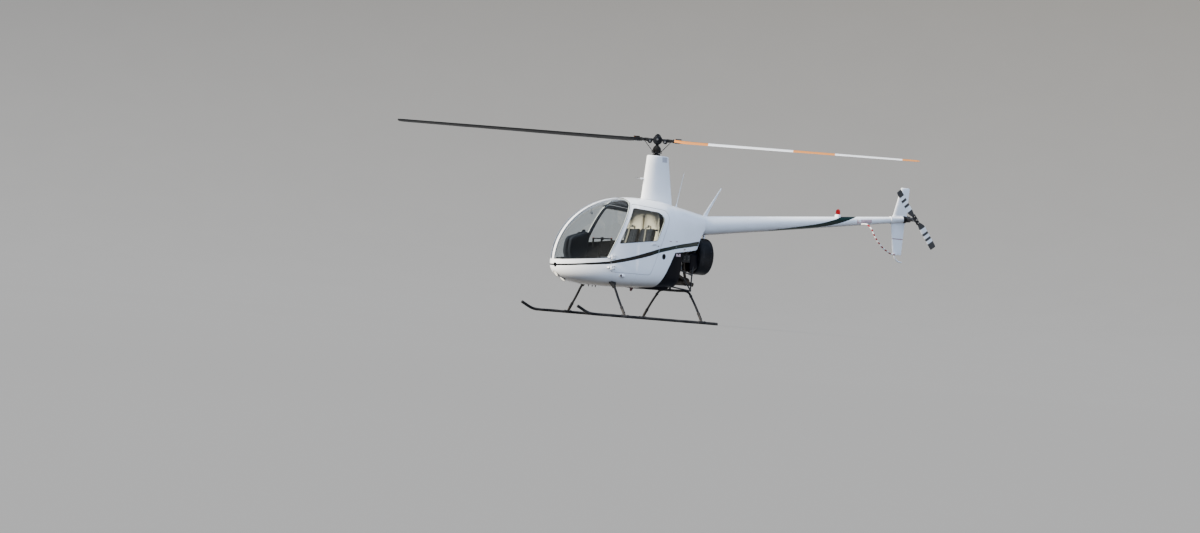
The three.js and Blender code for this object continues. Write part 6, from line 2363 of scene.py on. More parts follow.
    def swashplate(self) -> Draft:
        """The turning swashplate with its lugs and bolts."""
        draft = Draft()
        rows = [(2.438, 0.030), (2.438, 0.062), (2.441, 0.066), (2.452, 0.066), (2.455, 0.062),
                (2.458, 0.050), (2.458, 0.030)]
        draft.turned(rows, (0, 0, 0), (0, 0, 1), 56, 0, looped=True)
        for sign in (1, -1):
            low, top = (0.036, 0.044, 2.440), (0.074, 0.090, 2.455)
            ends = [Vector((sign * p[0], sign * p[1], p[2])) for p in (low, top)]
            corners = [Vector(min(a, b) for a, b in zip(*ends)), Vector(max(a, b) for a, b in zip(*ends))]
            draft.block(corners[0], corners[1], 0.005)
        for k in range(10):
            a = 2 * math.pi * k / 10 + 0.2
            draft.bolt((0.056 * math.cos(a), 0.056 * math.sin(a), 2.4552), (0, 0, 1), 0.003, 1)
        return draft

    def build(self) -> None:
        """Builds the rotor."""
        self.head().move(self.turn).piece("rotor_head", Body.ROTOR, [BLACK, STEEL, RUBBER], ["rotor_hub"])
        self.swashplate().move(self.turn).piece("swashplate_turning", Body.ROTOR, [BLACK, STEEL],
                                                ["swashplate_upper"])
        blade = self.blade()
        for name, half_turn in (("front", 0.0), ("rear", math.pi)):
            made = blade.moved(self.turn @ Matrix.Rotation(half_turn, 4, "Z"))
            made.piece(f"rotor_blade_{name}", Body.ROTOR, [BLADE_TOP, BLADE_UNDER, BLADE_EDGE, STEEL],
                       [f"main_blade_{name}"], 40.0)


@dataclass
class EngineBay:
    """The cowl, the bay's panel, the tube frame, the engine, its exhaust, fan and belts."""

    cowl: tuple[tuple[float, float], ...] = (
        (-0.1124, 1.900), (-0.1784, 1.000), (-0.612, 1.064), (-0.678, 1.084), (-0.718, 1.240),
        (-0.806, 1.392), (-0.806, 1.900),
    )
    panel: tuple[tuple[float, float], ...] = ((0.1096, 0.380), (-0.1784, 1.000), (-0.330, 1.018),
                                              (-0.330, 0.380))
    crank_x: float = -0.620
    crank_z: float = 0.950
    cylinders: tuple[float, float] = (-0.290, -0.465)
    # Fan housing: height, radius, x of its front and its aft face, radius of its hole
    scroll_z: float = 0.990
    scroll_radius: float = 0.270
    scroll_ends: tuple[float, float] = (-0.722, -0.957)
    scroll_hole: float = 0.172
    fan_x: float = -0.750
    fan_blades: int = 22
    # Cylinder fins: where they start, how far apart and how thick they are
    fins: tuple[float, float, float] = (0.136, 0.0102, 0.0032)
    # Belts: how many, the x of the first and how far apart they lie
    belt_count: int = 4
    belt_x: float = -0.6910
    belt_pitch: float = 0.0125
    shaft_z: float = 1.330
    tube: float = 0.011
    # Frame tubes on the port side: both ends
    bars: tuple[tuple[float, ...], ...] = (
        (-0.225, 0.310, 0.512, -0.575, 0.318, 0.470), (-0.575, 0.318, 0.470, -0.590, 0.300, 0.700),
        (-0.445, 0.330, 0.643, -0.575, 0.318, 0.478), (-0.590, 0.300, 0.700, -0.728, 0.096, 1.340),
        (-0.590, 0.300, 0.700, -0.225, 0.342, 0.800), (-0.225, 0.310, 0.512, -0.225, 0.366, 0.985),
        (-0.225, 0.366, 0.985, -0.728, 0.096, 1.500),
    )

    def skins(self) -> None:
        """Builds the cowl and the black panel round the bay."""
        boom = Draft()
        boom.tube([BOOM.at(x) for x in (-0.70, -1.0)], [BOOM.radius(x) + 0.0004 for x in (-0.70, -1.0)], 48)
        cowl = carve(HULL.shell(0, 0.008, -0.88).data("cowl"),
                     [("INTERSECT", across(self.cowl)), ("DIFFERENCE", boom)])
        HULL.polish(cowl)
        install(cowl, "engine_cowl_skin", Body.AIRFRAME, [WHITE, BLACK], ["engine_cowl"], None)
        bay = carve(HULL.shell(0, 0.006, -0.60).data("bay"), [("INTERSECT", across(self.panel))])
        HULL.polish(bay, (0, 0, 0))
        install(bay, "bay_panel_skin", Body.AIRFRAME, [PANEL_BLACK], ["bay_panel"], None)
        trim = Draft()
        edge = along_skin([(-0.188, 1.006), (-0.612, 1.068), (-0.675, 1.088), (-0.715, 1.241),
                           (-0.802, 1.392), (-0.802, 1.50)], -0.003, looped=False)
        trim.tube([p for p, _ in edge], 0.0042, 8, 0)
        screws = along_skin([(-0.125, 1.700), (-0.190, 1.022), (-0.600, 1.082), (-0.664, 1.100),
                             (-0.700, 1.248), (-0.786, 1.396), (-0.786, 1.500)], 0.0002, 0.06, looped=False)
        trim.domes(screws, *SCREW)
        trim.domes(along_skin([(-0.318, 1.000), (-0.318, 0.520)], 0.0002, 0.05, looped=False), 0.004, 0.0016,
                   1)
        latch = along_skin([(-0.36, 1.062), (-0.42, 1.071)], 0.0, 0.02, looped=False)[0][0]
        trim.block(latch - Vector((0.022, 0.002, 0.009)), latch + Vector((0.022, 0.004, 0.009)), 0.002, 2)
        trim.copy_across().piece("cowl_trim", Body.AIRFRAME, [PLAIN_WHITE, PANEL_BLACK, STEEL])
        labels = Draft()
        for mark, (x, z, half, tall) in enumerate(((-0.245, 0.970, 0.045, 0.020),
                                                   (-0.074, 1.156, 0.020, 0.005),
                                                   (-0.190, 1.162, 0.020, 0.005))):
            corners = [(x + half, z - tall), (x - half, z - tall), (x - half, z + tall), (x + half, z + tall)]
            spots = [p for p, _ in along_skin(corners, 0.0010, 0.01)]
            labels.loft([spots, [p - Vector((0, 0.002, 0)) for p in spots]], min(mark, 1))
        labels.piece("bay_labels", Body.AIRFRAME, [LABEL, DARK_LABEL])
        # A thin black plate under the belly, ahead of and under the bay's panel; it darkens the belly's
        # underside there.
        lip = Draft()
        lip.plate([(0.230, 0.4500, 0.0), (0.100, 0.4380, 0.02), (-0.150, 0.4420, 0.02),
                   (-0.215, 0.470, 0.02), (-0.215, 0.505, 0.0), (-0.100, 0.500, 0.0)], -0.300, 0.300, 0,
                  0.004)
        lip.piece("belly_dark_plate", Body.AIRFRAME, [PANEL_BLACK])

    def frame(self) -> None:
        """Builds the welded tubes and the ring that carries the boom."""
        draft = Draft()
        for bar in self.bars:
            start, end = Vector(bar[:3]), Vector(bar[3:])
            draft.rod(start, end, self.tube, 16)
            for place in (start, end):
                draft.turned([(self.tube * 1.25 * math.cos(a), self.tube * 1.25 * math.sin(a)) for a in
                              (math.pi * k / 8 for k in range(8, -1, -1))], place, end - start, 14)
        draft.copy_across()
        for x, y, z in ((-0.575, 0.318, 0.470), (-0.225, 0.310, 0.512)):
            draft.rod((x, -y, z), (x, y, z), self.tube, 16)
        ring = [(-0.020, 0.118), (-0.020, 0.136), (-0.018, 0.138), (0.026, 0.138), (0.028, 0.136),
                (0.028, 0.118)]
        draft.turned(ring, BOOM.at(BOOM.root_x), (1, 0, 0), 48, looped=True)
        for a in angles(12, 0.5):
            place = BOOM.at(BOOM.root_x) + Vector((0.028, 0.128 * math.cos(a), 0.128 * math.sin(a)))
            draft.bolt(place, (1, 0, 0), 0.006, 1)
        draft.piece("engine_frame_tubes", Body.AIRFRAME, [TUBE, STEEL], ["engine_frame"])

    def cylinder(self, draft: Draft, x: float) -> None:
        """Adds a port cylinder: barrel, fins, head, rocker cover, tubes and plugs."""
        z = self.crank_z
        draft.rod((x, 0.090, z - 0.012), (x, 0.296, z - 0.012), 0.050, 36)
        first, pitch, thick = self.fins
        for k in range(15):
            y = first + pitch * k
            wide = 0.066 if k < 12 else 0.068
            draft.block((x - wide, y, z - 0.070), (x + wide, y + thick, z + 0.046), 0.0012)
        for k in range(4):
            y = 0.288 + 0.0082 * k
            draft.block((x - 0.064, y, z - 0.068), (x + 0.064, y + 0.0030, z + 0.044), 0.0012)
        draft.block((x - 0.060, 0.286, z - 0.050), (x + 0.060, 0.320, z + 0.030), 0.008)
        for side in (-0.031, 0.031):
            draft.block((x + side - 0.026, 0.314, z - 0.036), (x + side + 0.026, 0.333, z + 0.018), 0.007, 1)
            for up in (-0.030, 0.012):
                draft.bolt((x + side, 0.331, z + up), (0, 1, 0), 0.003, 2)
            draft.rod((x + side, 0.100, z - 0.078), (x + side * 1.05, 0.310, z - 0.062), 0.0068, 14, 2)
        for side in (-0.020, 0.024):
            draft.rod((x + side, 0.262, z + 0.038), (x + side, 0.268, z + 0.064), 0.0068, 6, 2)
            draft.rod((x + side, 0.268, z + 0.060), (x + side, 0.271, z + 0.086), 0.0055, 14, 3)

    def engine(self) -> None:
        """Builds the flat four-cylinder engine with what hangs on it."""
        x, z = self.crank_x, self.crank_z
        draft = Draft()
        for cylinder_x in self.cylinders:
            self.cylinder(draft, cylinder_x)
        route = [(x + 0.02, 0.06, z + 0.10), (-0.50, 0.16, z + 0.125), (-0.40, 0.24, z + 0.105)]
        for cylinder_x in self.cylinders:
            for side in (-0.020, 0.024):
                lead = smooth_path([(cylinder_x + side, 0.272, z + 0.084),
                                    (cylinder_x + side - 0.02, 0.23, z + 0.115),
                                    (-0.45, 0.13, z + 0.105 + 0.2 * side), (-0.54, 0.05, z + 0.08)], 18)
                draft.tube(lead, 0.0036, 8, 3)
        draft.tube(smooth_path(route, 12), 0.006, 10, 2)
        draft.block((self.cylinders[1] - 0.080, 0.132, z + 0.047),
                    (self.cylinders[0] + 0.080, 0.325, z + 0.0495), 0.001, 0)
        draft.copy_across()
        draft.block((-0.600, -0.105, z - 0.130), (-0.206, 0.105, z + 0.060), 0.016, 1)
        draft.block((-0.603, -0.108, z - 0.038), (-0.203, 0.108, z - 0.030), 0.002, 1)
        for k in range(7):
            for side in (-1, 1):
                draft.bolt((-0.57 + 0.056 * k, side * 0.1075, z - 0.052), (0, side, 0), 0.0042, 2)
        draft.turned([(0, 0.085), (0.006, 0.085), (0.010, 0.074), (0.020, 0.070)], (-0.600, 0, z),
                     (-1, 0, 0), 40, 1)
        draft.block((x, -0.185, z - 0.180), (x + 0.012, 0.185, z + 0.045), 0.004, 1)
        for y, h in ((-0.165, z - 0.060), (0.165, z - 0.060), (0.0, z - 0.165)):
            draft.rod((x + 0.006, y, h), (-0.7216, y, h), 0.009, 20, 2)
            draft.bolt((x + 0.012, y, h), (1, 0, 0), 0.008, 2)
        draft.block((-0.470, -0.090, z - 0.290), (-0.250, 0.090, z - 0.129), 0.014, 1)
        for k in range(8):
            draft.block((-0.458 + 0.027 * k, -0.094, z - 0.284), (-0.453 + 0.027 * k, 0.094, z - 0.150),
                        0.001, 1)
        draft.block((-0.420, -0.060, z - 0.380), (-0.300, 0.060, z - 0.289), 0.012, 1)
        draft.rod((-0.360, -0.060, z - 0.335), (-0.360, -0.120, z - 0.335), 0.026, 24, 1, 0.003)
        hose = smooth_path([(-0.360, -0.115, z - 0.335), (-0.350, -0.19, z - 0.32), (-0.300, -0.25, z - 0.25),
                            (-0.255, -0.27, z - 0.12), (-0.235, -0.24, z + 0.02)], 60)
        draft.tube(hose, [0.028 + 0.0022 * (k % 2) for k in range(61)], 18, 4)
        for side in (-1, 1):
            draft.rod((-0.500, side * 0.060, z + 0.058), (-0.500, side * 0.060, z + 0.120), 0.028, 24, 1,
                      0.004)
            draft.rod((-0.500, side * 0.060, z + 0.118), (-0.500, side * 0.060, z + 0.132), 0.023, 24, 3,
                      0.003)
        intake = smooth_path([(-0.33, 0.06, z - 0.21), (-0.31, 0.14, z - 0.19), (-0.275, 0.225, z - 0.12),
                              (-0.255, 0.25, z - 0.07)], 20)
        intakes = Draft()
        intakes.tube(intake, 0.017, 16)
        intakes.tube([p + Vector((-0.165, 0, 0)) for p in intake], 0.017, 16)
        intakes.copy_across()
        draft.extend(intakes.points, intakes.faces, 2)
        draft.piece("engine_block", Body.AIRFRAME, [CYLINDER, CAST, STEEL, RUBBER, HOSE], ["engine"])
        shroud = Draft()
        rings = []
        for x, y, low, top in ((-0.548, 0.285, z - 0.190, z + 0.062), (-0.560, 0.290, z - 0.205, z + 0.070),
                               (-0.640, 0.262, z - 0.190, z + 0.075), (-0.716, 0.215, z - 0.150, z + 0.080)):
            rings.append([Vector((x, v, w)) for v, w in ((0.125, low), (y - 0.03, low), (y, low + 0.03),
                                                         (y, top - 0.03), (y - 0.03, top), (0.125, top))])
        shroud.loft(rings)
        shroud.copy_across().piece("engine_shroud", Body.AIRFRAME, [PANEL_BLACK])

    def exhaust(self) -> None:
        """Builds the exhaust pipes, the silencer and the tail pipe, whose closed end is painted black: painted
        shade for the dark inside of an open pipe.
        """
        z = self.crank_z
        draft = Draft()
        for x in self.cylinders:
            route = smooth_path([(x, 0.250, z - 0.073), (x - 0.015, 0.252, z - 0.190),
                                 (-0.545, 0.200, z - 0.335)], 24)
            draft.tube(route, 0.021, 20)
            draft.turned([(0, 0.030), (0.006, 0.030), (0.010, 0.023)], (x, 0.250, z - 0.0725), (0, 0, -1), 24)
        draft.copy_across()
        draft.turned([(0, 0.030), (0.010, 0.052), (0.018, 0.060), (0.030, 0.060), (0.032, 0.0615),
                      (0.042, 0.0615), (0.044, 0.060), (0.436, 0.060), (0.438, 0.0615), (0.448, 0.0615),
                      (0.450, 0.060), (0.462, 0.060), (0.470, 0.052), (0.480, 0.030)],
                     (-0.545, -0.240, z - 0.350), (0, 1, 0), 44)
        tail = smooth_path([(-0.560, 0.170, z - 0.350), (-0.610, 0.184, z - 0.374),
                            (-0.676, 0.192, z - 0.388)], 24)
        draft.tube(tail, [0.0295] * 25, 24)
        # The tail pipe's end cap gets the near-black panel finish: painted shade standing in for the dark
        # inside of an open pipe.
        draft.marks[-1] = 1
        draft.turned([(-0.004, 0.0305), (0.0005, 0.0305), (0.0005, 0.0275), (-0.004, 0.0275)], tail[-1],
                     tail[-1] - tail[-2], 28, looped=True)
        draft.piece("exhaust_pipes", Body.AIRFRAME, [HOT, PANEL_BLACK], ["exhaust"])

    def scroll(self) -> None:
        """Builds the round fan housing with its rims, bracket and bolts."""
        front, aft = self.scroll_ends
        r, hole = self.scroll_radius, self.scroll_hole
        rows = [(front, 0.070), (front, r - 0.026), (front - 0.003, r - 0.016), (front - 0.008, r - 0.008),
                (front - 0.016, r - 0.0025), (front - 0.026, r)]
        rows += [(front - 0.026 - 0.175 * k / 10, r) for k in range(1, 11)]
        rows += [(aft + 0.020, r - 0.003), (aft + 0.010, r - 0.010), (aft + 0.004, r - 0.020),
                 (aft, r - 0.034), (aft, hole + 0.006), (aft + 0.001, hole + 0.001), (aft + 0.004, hole),
                 (aft + 0.006, hole + 0.004), (aft + 0.004, r - 0.036), (aft + 0.014, r - 0.014),
                 (front - 0.026, r - 0.004), (front - 0.010, r - 0.011), (front - 0.004, r - 0.028),
                 (front - 0.004, 0.070)]
        draft = Draft()
        draft.turned([(x - front, q) for x, q in rows], (front, 0, self.scroll_z), (1, 0, 0), 80, looped=True)
        for x in (front - 0.060, aft + 0.055):
            draft.turned([(-0.004, r - 0.001), (-0.003, r + 0.0015), (0.003, r + 0.0015), (0.004, r - 0.001)],
                         (x, 0, self.scroll_z), (1, 0, 0), 80, looped=True)
        for a in angles(16, 0.5):
            draft.bolt((front, 0.236 * math.cos(a), self.scroll_z + 0.236 * math.sin(a)), (1, 0, 0), 0.0045,
                       1)
            draft.bolt((aft, 0.215 * math.cos(a), self.scroll_z + 0.215 * math.sin(a)), (-1, 0, 0), 0.0045, 1)
        # The bracket from the housing's top to the boom is a real part, but its white paint is a painted
        # highlight at the top of the black housing.
        bottom = BOOM.at(-0.896)
        draft.block((-0.912, -0.014, self.scroll_z + r - 0.002),
                    (-0.880, 0.014, bottom.z - BOOM.radius(-0.896) + 0.004), 0.004, 2)
        for a in angles(6):
            arm = Vector((0, math.cos(a), math.sin(a)))
            middle = Vector((aft + 0.006, 0, self.scroll_z))
            draft.rod(middle + arm * 0.03, middle + arm * (hole + 0.004), 0.0028, 8, 1)
        for ring in (0.045, 0.085, 0.125, 0.160):
            path = [(aft + 0.006, ring * math.cos(a), self.scroll_z + ring * math.sin(a)) for a in angles(48)]
            draft.tube(path, 0.0018, 6, 1, looped=True)
        draft.piece("fan_housing", Body.AIRFRAME, [BLACK, STEEL, HINGE_WHITE], ["fan_scroll"])

    def fan(self) -> None:
        """Builds the turning fan with its blades, cone, axle and grooved wheel."""
        draft = Draft()
        z = self.crank_z
        base = (self.fan_x, 0, z)
        draft.turned([(0, 0.020), (0, 0.157), (-0.004, 0.158), (-0.010, 0.156), (-0.052, 0.082),
                      (-0.120, 0.058), (-0.160, 0.046), (-0.172, 0.036), (-0.175, 0.0)], base, (1, 0, 0), 56)
        for a in angles(self.fan_blades):
            rings = []
            for x, low, top in ((-0.756, 0.120, 0.153), (-0.800, 0.078, 0.153), (-0.860, 0.062, 0.153),
                                (-0.884, 0.064, 0.152)):
                swept = a + (x + 0.756) * 2.2
                spots = []
                for r, side in ((low, -0.0012), (top, -0.0008), (top, 0.0008), (low, 0.0012)):
                    lean = swept + 0.35 * (r - low) + side / r
                    spots.append((x, r * math.cos(lean), z + r * math.sin(lean)))
                rings.append(spots)
            draft.loft(rings)
        draft.rod((self.crank_x - 0.0004, 0, z), (-0.742, 0, z), 0.026, 28, 1)
        self.wheel(draft, z, 0.086)
        draft.piece("fan_wheel", Body.FAN, [ALLOY, STEEL], ["cooling_fan"])

    @staticmethod
    def wheel(draft: Draft, z: float, radius: float) -> None:
        """Adds a grooved belt wheel between x -0.700 and -0.645."""
        rows = [(0.0, 0.02), (0.0, radius)]
        for k in range(4):
            start = 0.003 + 0.0125 * k
            rows += [(start, radius), (start + 0.004, radius - 0.008), (start + 0.008, radius - 0.008),
                     (start + 0.0115, radius)]
        rows += [(0.055, radius), (0.055, 0.02)]
        draft.turned(rows, (-0.700, 0, z), (1, 0, 0), 56, 1)

    def belts(self) -> None:
        """Builds the four slack belts, the upper wheel and the shaft to the gearbox."""
        draft = Draft()
        low, top = self.crank_z, self.shaft_z
        for k in range(self.belt_count):
            x = self.belt_x + self.belt_pitch * k
            path = []
            for middle, radius, start in ((top, 0.0975, 0.0), (low, 0.0995, math.pi)):
                for i in range(25):
                    a = start + math.pi * i / 24
                    path.append((x, radius * math.cos(a), middle + radius * math.sin(a)))
            draft.tube(path, 0.0048, 8, 0, 1.0, looped=True)
        self.wheel(draft, top, 0.095)
        draft.rod((-0.700, 0, top), (-0.1054, 0, top), 0.018, 28, 1)
        draft.turned([(0, 0.018), (0, 0.036), (0.012, 0.036), (0.016, 0.030), (0.034, 0.030), (0.038, 0.036),
                      (0.050, 0.036), (0.050, 0.018)], (-0.40, 0, top), (1, 0, 0), 6, 1)
        for x in (-0.19, -0.56):
            draft.turned([(0, 0.034), (0.030, 0.034), (0.034, 0.024)], (x, 0, top), (1, 0, 0), 28, 2)
        draft.piece("belt_drive", Body.AIRFRAME, [RUBBER, STEEL, CAST], ["drive_belts"])

    def build(self) -> None:
        """Builds the whole bay."""
        self.skins()
        self.frame()
        self.engine()
        self.exhaust()
        self.scroll()
        self.fan()
        self.belts()


@dataclass(frozen=True)
class Boom:
    """The tail boom's cone."""

    root_x: float = -0.745
    tip_x: float = -4.100
    casting_radius: float = 0.056
    rise: float = 0.1143
    ref_x: float = -0.905
    ref_z: float = 1.450
    ref_radius: float = 0.140
    taper: float = 0.0285
    # Where its sheets overlap
    seams: tuple[float, ...] = (-1.03, -1.56, -2.09, -2.62, -3.15, -3.66)

    def at(self, x: float) -> Vector:
        """The middle of the boom at x."""
        return Vector((x, 0, self.ref_z + self.rise * (self.ref_x - x)))

    def radius(self, x: float) -> float:
        """The boom's radius at x."""
        return self.ref_radius + self.taper * (x - self.ref_x)

    @property
    def axis(self) -> Vector:
        """The way the boom runs, from root to tip."""
        return (self.at(self.tip_x) - self.at(self.root_x)).normalized()

    def round(self, draft: Draft, rows: Sequence[Sequence[float]], sides: int = 72, mark: int = 0,
              looped: bool = False) -> None:
        """Adds a body of revolution about the boom's axis, from rows of x and radius."""
        stretch = math.sqrt(1 + self.rise**2)
        draft.turned([((self.root_x - x) * stretch, r) for x, r in rows], self.at(self.root_x), self.axis,
                     sides, mark, looped)

    def spot(self, x: float, turn: float, lift: float = 0.0) -> tuple[Vector, Vector]:
        """A place on the boom's surface, by its angle from the top towards port, and the way it faces."""
        side = Vector((0, 1, 0))
        up = self.axis.cross(side)
        up = up if up.z > 0 else -up
        out = up * math.cos(turn) + side * math.sin(turn)
        return self.at(x) + out * (self.radius(x) + lift), out

    def build(self) -> None:
        """Builds the boom with its lap seams, rivets, end casting and blank plate."""
        draft = Draft()
        rows = [(self.root_x, self.radius(self.root_x) - 0.006), (self.root_x, self.radius(self.root_x))]
        for x in self.seams:
            rows += [(x + 0.0008, self.radius(x)), (x, self.radius(x) - 0.0012),
                     (x - 0.0012, self.radius(x) - 0.0002)]
        rows += [(self.tip_x, self.radius(self.tip_x))]
        self.round(draft, rows)
        r = self.casting_radius
        self.round(draft, [(-4.068, 0.050), (-4.070, r), (-4.082, r), (-4.090, r - 0.003),
                           (-4.283, r - 0.003), (-4.283, 0.02)], 56)
        self.round(draft, [(-4.283, 0.02), (-4.283, r - 0.003), (-4.290, r - 0.003), (-4.300, r), (-4.329, r),
                           (-4.330, r - 0.001), (-4.330, 0.02)], 56, 2)
        places = []
        for x in self.seams:
            for offset in (0.014, -0.014):
                places += [self.spot(x + offset, turn) for turn in angles(22)]
        for x in np.arange(-0.80, -4.05, -0.045):
            if min(abs(x - s) for s in self.seams) > 0.02:
                places.append(self.spot(float(x), math.pi * 0.93))
        draft.domes(places, 0.0030, 0.0011)
        for turn in angles(10, 0.5):
            side = Vector((0, math.sin(turn), math.cos(turn)))
            draft.bolt(self.at(-4.076) + side * (r - 0.001), side, 0.0035, 1)
        draft.piece("boom_skin", Body.AIRFRAME, [BOOM_WHITE, STEEL, BLACK], ["tail_boom"], 28.0)
        plate = Draft()
        rings = []
        for k in range(13):
            x = -3.450 - 0.022 * k
            ring = [self.spot(x, 1.24 + 0.08 * i, 0.0010)[0] for i in range(12)]
            rings.append(ring + [self.spot(x, 2.12 - 0.08 * i, -0.0006)[0] for i in range(12)])
        plate.loft(rings)
        plate.piece("boom_plate", Body.AIRFRAME, [LABEL])


BOOM = Boom()


@dataclass
class Tail:
    """The fins, the stabilizer, the tail gearbox, the tail rotor and its guard."""

    # The hub's x and y
    hub: tuple[float, float] = (-4.370, 0.255)
    rest: float = 38.0
    radius: float = 0.533
    chord: float = 0.102
    thickness: float = 0.034
    fin_x: float = -4.230
    # Root and tip of each surface: distance from the boom's middle, x of the leading and of the trailing edge
    upper_fin: tuple[tuple[float, float, float], ...] = ((0.020, -4.106, -4.357), (0.490, -4.224, -4.374))
    lower_fin: tuple[tuple[float, float, float], ...] = ((-0.020, -4.086, -4.334), (-0.540, -4.159, -4.311))
    plane: tuple[tuple[float, float, float], ...] = ((0.020, -4.095, -4.325), (0.700, -4.110, -4.318))
    seam_z: float = 1.534

    def surface(self, rows: Sequence[Sequence[float]], turn: Matrix) -> Draft:
        """A fin with a rounded tip, seams and rivets.

        Args:
            rows: distance from the boom's axis, x at the leading edge, x at the trailing edge.
            turn: the way the fin stands; it is made upright.

        Returns:
            The draft.
        """
        (low, lead0, trail0), (top, lead1, trail1) = rows
        draft, rings, count = Draft(), [], 48
        sign = 1 if top > low else -1
        stations = [(0.0, 0, 1), (0.15, 0, 1), (0.5, 0, 1), (0.86, 0, 1)]
        tip = [(1 - 0.012 / abs(top - low), 0.0, 1.0), (1 - 0.005 / abs(top - low), 0.003, 0.80),
               (1.0, 0.008, 0.42)]

        def ring(share: float, trimmed: float, thick: float) -> list[Vector]:
            """One section of the fin."""
            lead, trail = lead0 + (lead1 - lead0) * share - trimmed, trail0 + (trail1
                                                                               - trail0) * share + trimmed
            spots = []
            for a in angles(count):
                along = (1 + math.cos(a)) / 2
                side = self.thickness / 2 * thick * math.sin(a) * (0.4 + 0.8 * along)
                spots.append(Vector((trail + (lead - trail) * along, side, low + (top - low) * share)))
            return spots

        for share, trimmed, thick in stations + tip:
            rings.append(ring(share, trimmed, thick))
        draft.loft(rings)
        places = []
        reach = abs(top - low)
        for share in [k * 0.036 / reach for k in range(3, int(reach / 0.036))]:
            for k in (6, 15, count - 6, count - 15):
                spots = ring(share, 0, 1)
                out = Vector((0, 1 if k < count / 2 else -1, 0))
                places.append((spots[k], out))
        draft.domes(places, 0.0027, 0.0010)
        foot = ring((0.055 - abs(low)) / reach, -0.012, 1.5)
        upper = ring((0.070 - abs(low)) / reach, 0.0, 1.02)
        for spot in foot:
            spot.z = sign * 0.040
        draft.loft([foot, upper], 0, caps=False)
        return draft.move(Matrix.Translation(BOOM.at(self.fin_x) - Vector((self.fin_x, 0, 0))) @ turn)

    def fins(self) -> None:
        """Builds both fins, the stabilizer and the tail skid."""
        upright = Matrix.Identity(4)
        level = Matrix.Rotation(math.radians(90), 4, "X")
        upper = self.surface(self.upper_fin, upright)
        upper.piece("fin_upper_skin", Body.AIRFRAME, [PLAIN_WHITE], ["fin_upper"])
        lower = self.surface(self.lower_fin, upright)
        band = Draft()
        z = self.seam_z
        (root, lead0, trail0), (end, lead1, trail1) = self.lower_fin
        share = (z - BOOM.at(self.fin_x).z - root) / (end - root)
        lead = lead0 + (lead1 - lead0) * share
        trail = trail0 + (trail1 - trail0) * share
        rings = []
        for dz in (-0.007, 0.007):
            ring = []
            for a in angles(48):
                along = (1 + math.cos(a)) / 2
                side = (self.thickness / 2 + 0.0006) * math.sin(a) * (0.4 + 0.8 * along)
                ring.append(Vector((trail + (lead - trail) * along, side, z + dz)))
            rings.append(ring)
        band.loft(rings)
        band.piece("fin_lower_seam", Body.AIRFRAME, [DARK_LABEL])
        tip = BOOM.at(self.fin_x).z + end
        skid = smooth_path([(-4.180, 0, tip + 0.030), (-4.205, 0, tip - 0.050), (-4.265, 0, tip - 0.095),
                            (-4.330, 0, tip - 0.105)], 28)
        lower.tube(skid, 0.009, 16)
        lower.piece("fin_lower_skin", Body.AIRFRAME, [PLAIN_WHITE], ["fin_lower"])
        plane = self.surface(self.plane, level)
        plane.piece("stabilizer_skin", Body.AIRFRAME, [PLAIN_WHITE], ["stabilizer"])

    def gearbox(self) -> None:
        """Builds the tail gearbox with its cooling fins, gauge and output housing."""
        x, _ = self.hub
        z = BOOM.at(x).z
        draft = Draft()
        BOOM.round(draft, [(-4.3304, 0.030), (-4.3304, 0.046), (-4.338, 0.046), (-4.341, 0.042),
                           (-4.402, 0.042), (-4.406, 0.046), (-4.414, 0.046), (-4.422, 0.036),
                           (-4.425, 0.0)], 40)
        for k in range(5):
            BOOM.round(draft, [(-4.346 - 0.011 * k, 0.040), (-4.346 - 0.011 * k, 0.0455),
                               (-4.349 - 0.011 * k, 0.0455), (-4.349 - 0.011 * k, 0.040)], 40, looped=True)
        draft.turned([(0, 0.040), (0.060, 0.036), (0.066, 0.032), (0.160, 0.027), (0.170, 0.032),
                      (0.188, 0.032), (0.190, 0.018)], (x, 0, z), (0, 1, 0), 36)
        draft.turned([(0, 0.013), (0.006, 0.013), (0.010, 0.010)], (x + 0.012, 0.036, z + 0.018),
                     (0, 1, 0.5), 24, 1)
        draft.turned([(0, 0.010), (0.012, 0.010), (0.014, 0.007)], (x, 0, z + 0.040), (0, 0, 1), 6, 1)
        for a in angles(6):
            draft.bolt((x + 0.026 * math.cos(a), 0.189, z + 0.026 * math.sin(a)), (0, 1, 0), 0.003, 1)
        draft.piece("tail_gearbox_case", Body.AIRFRAME, [BLACK, STEEL], ["tail_gearbox"])

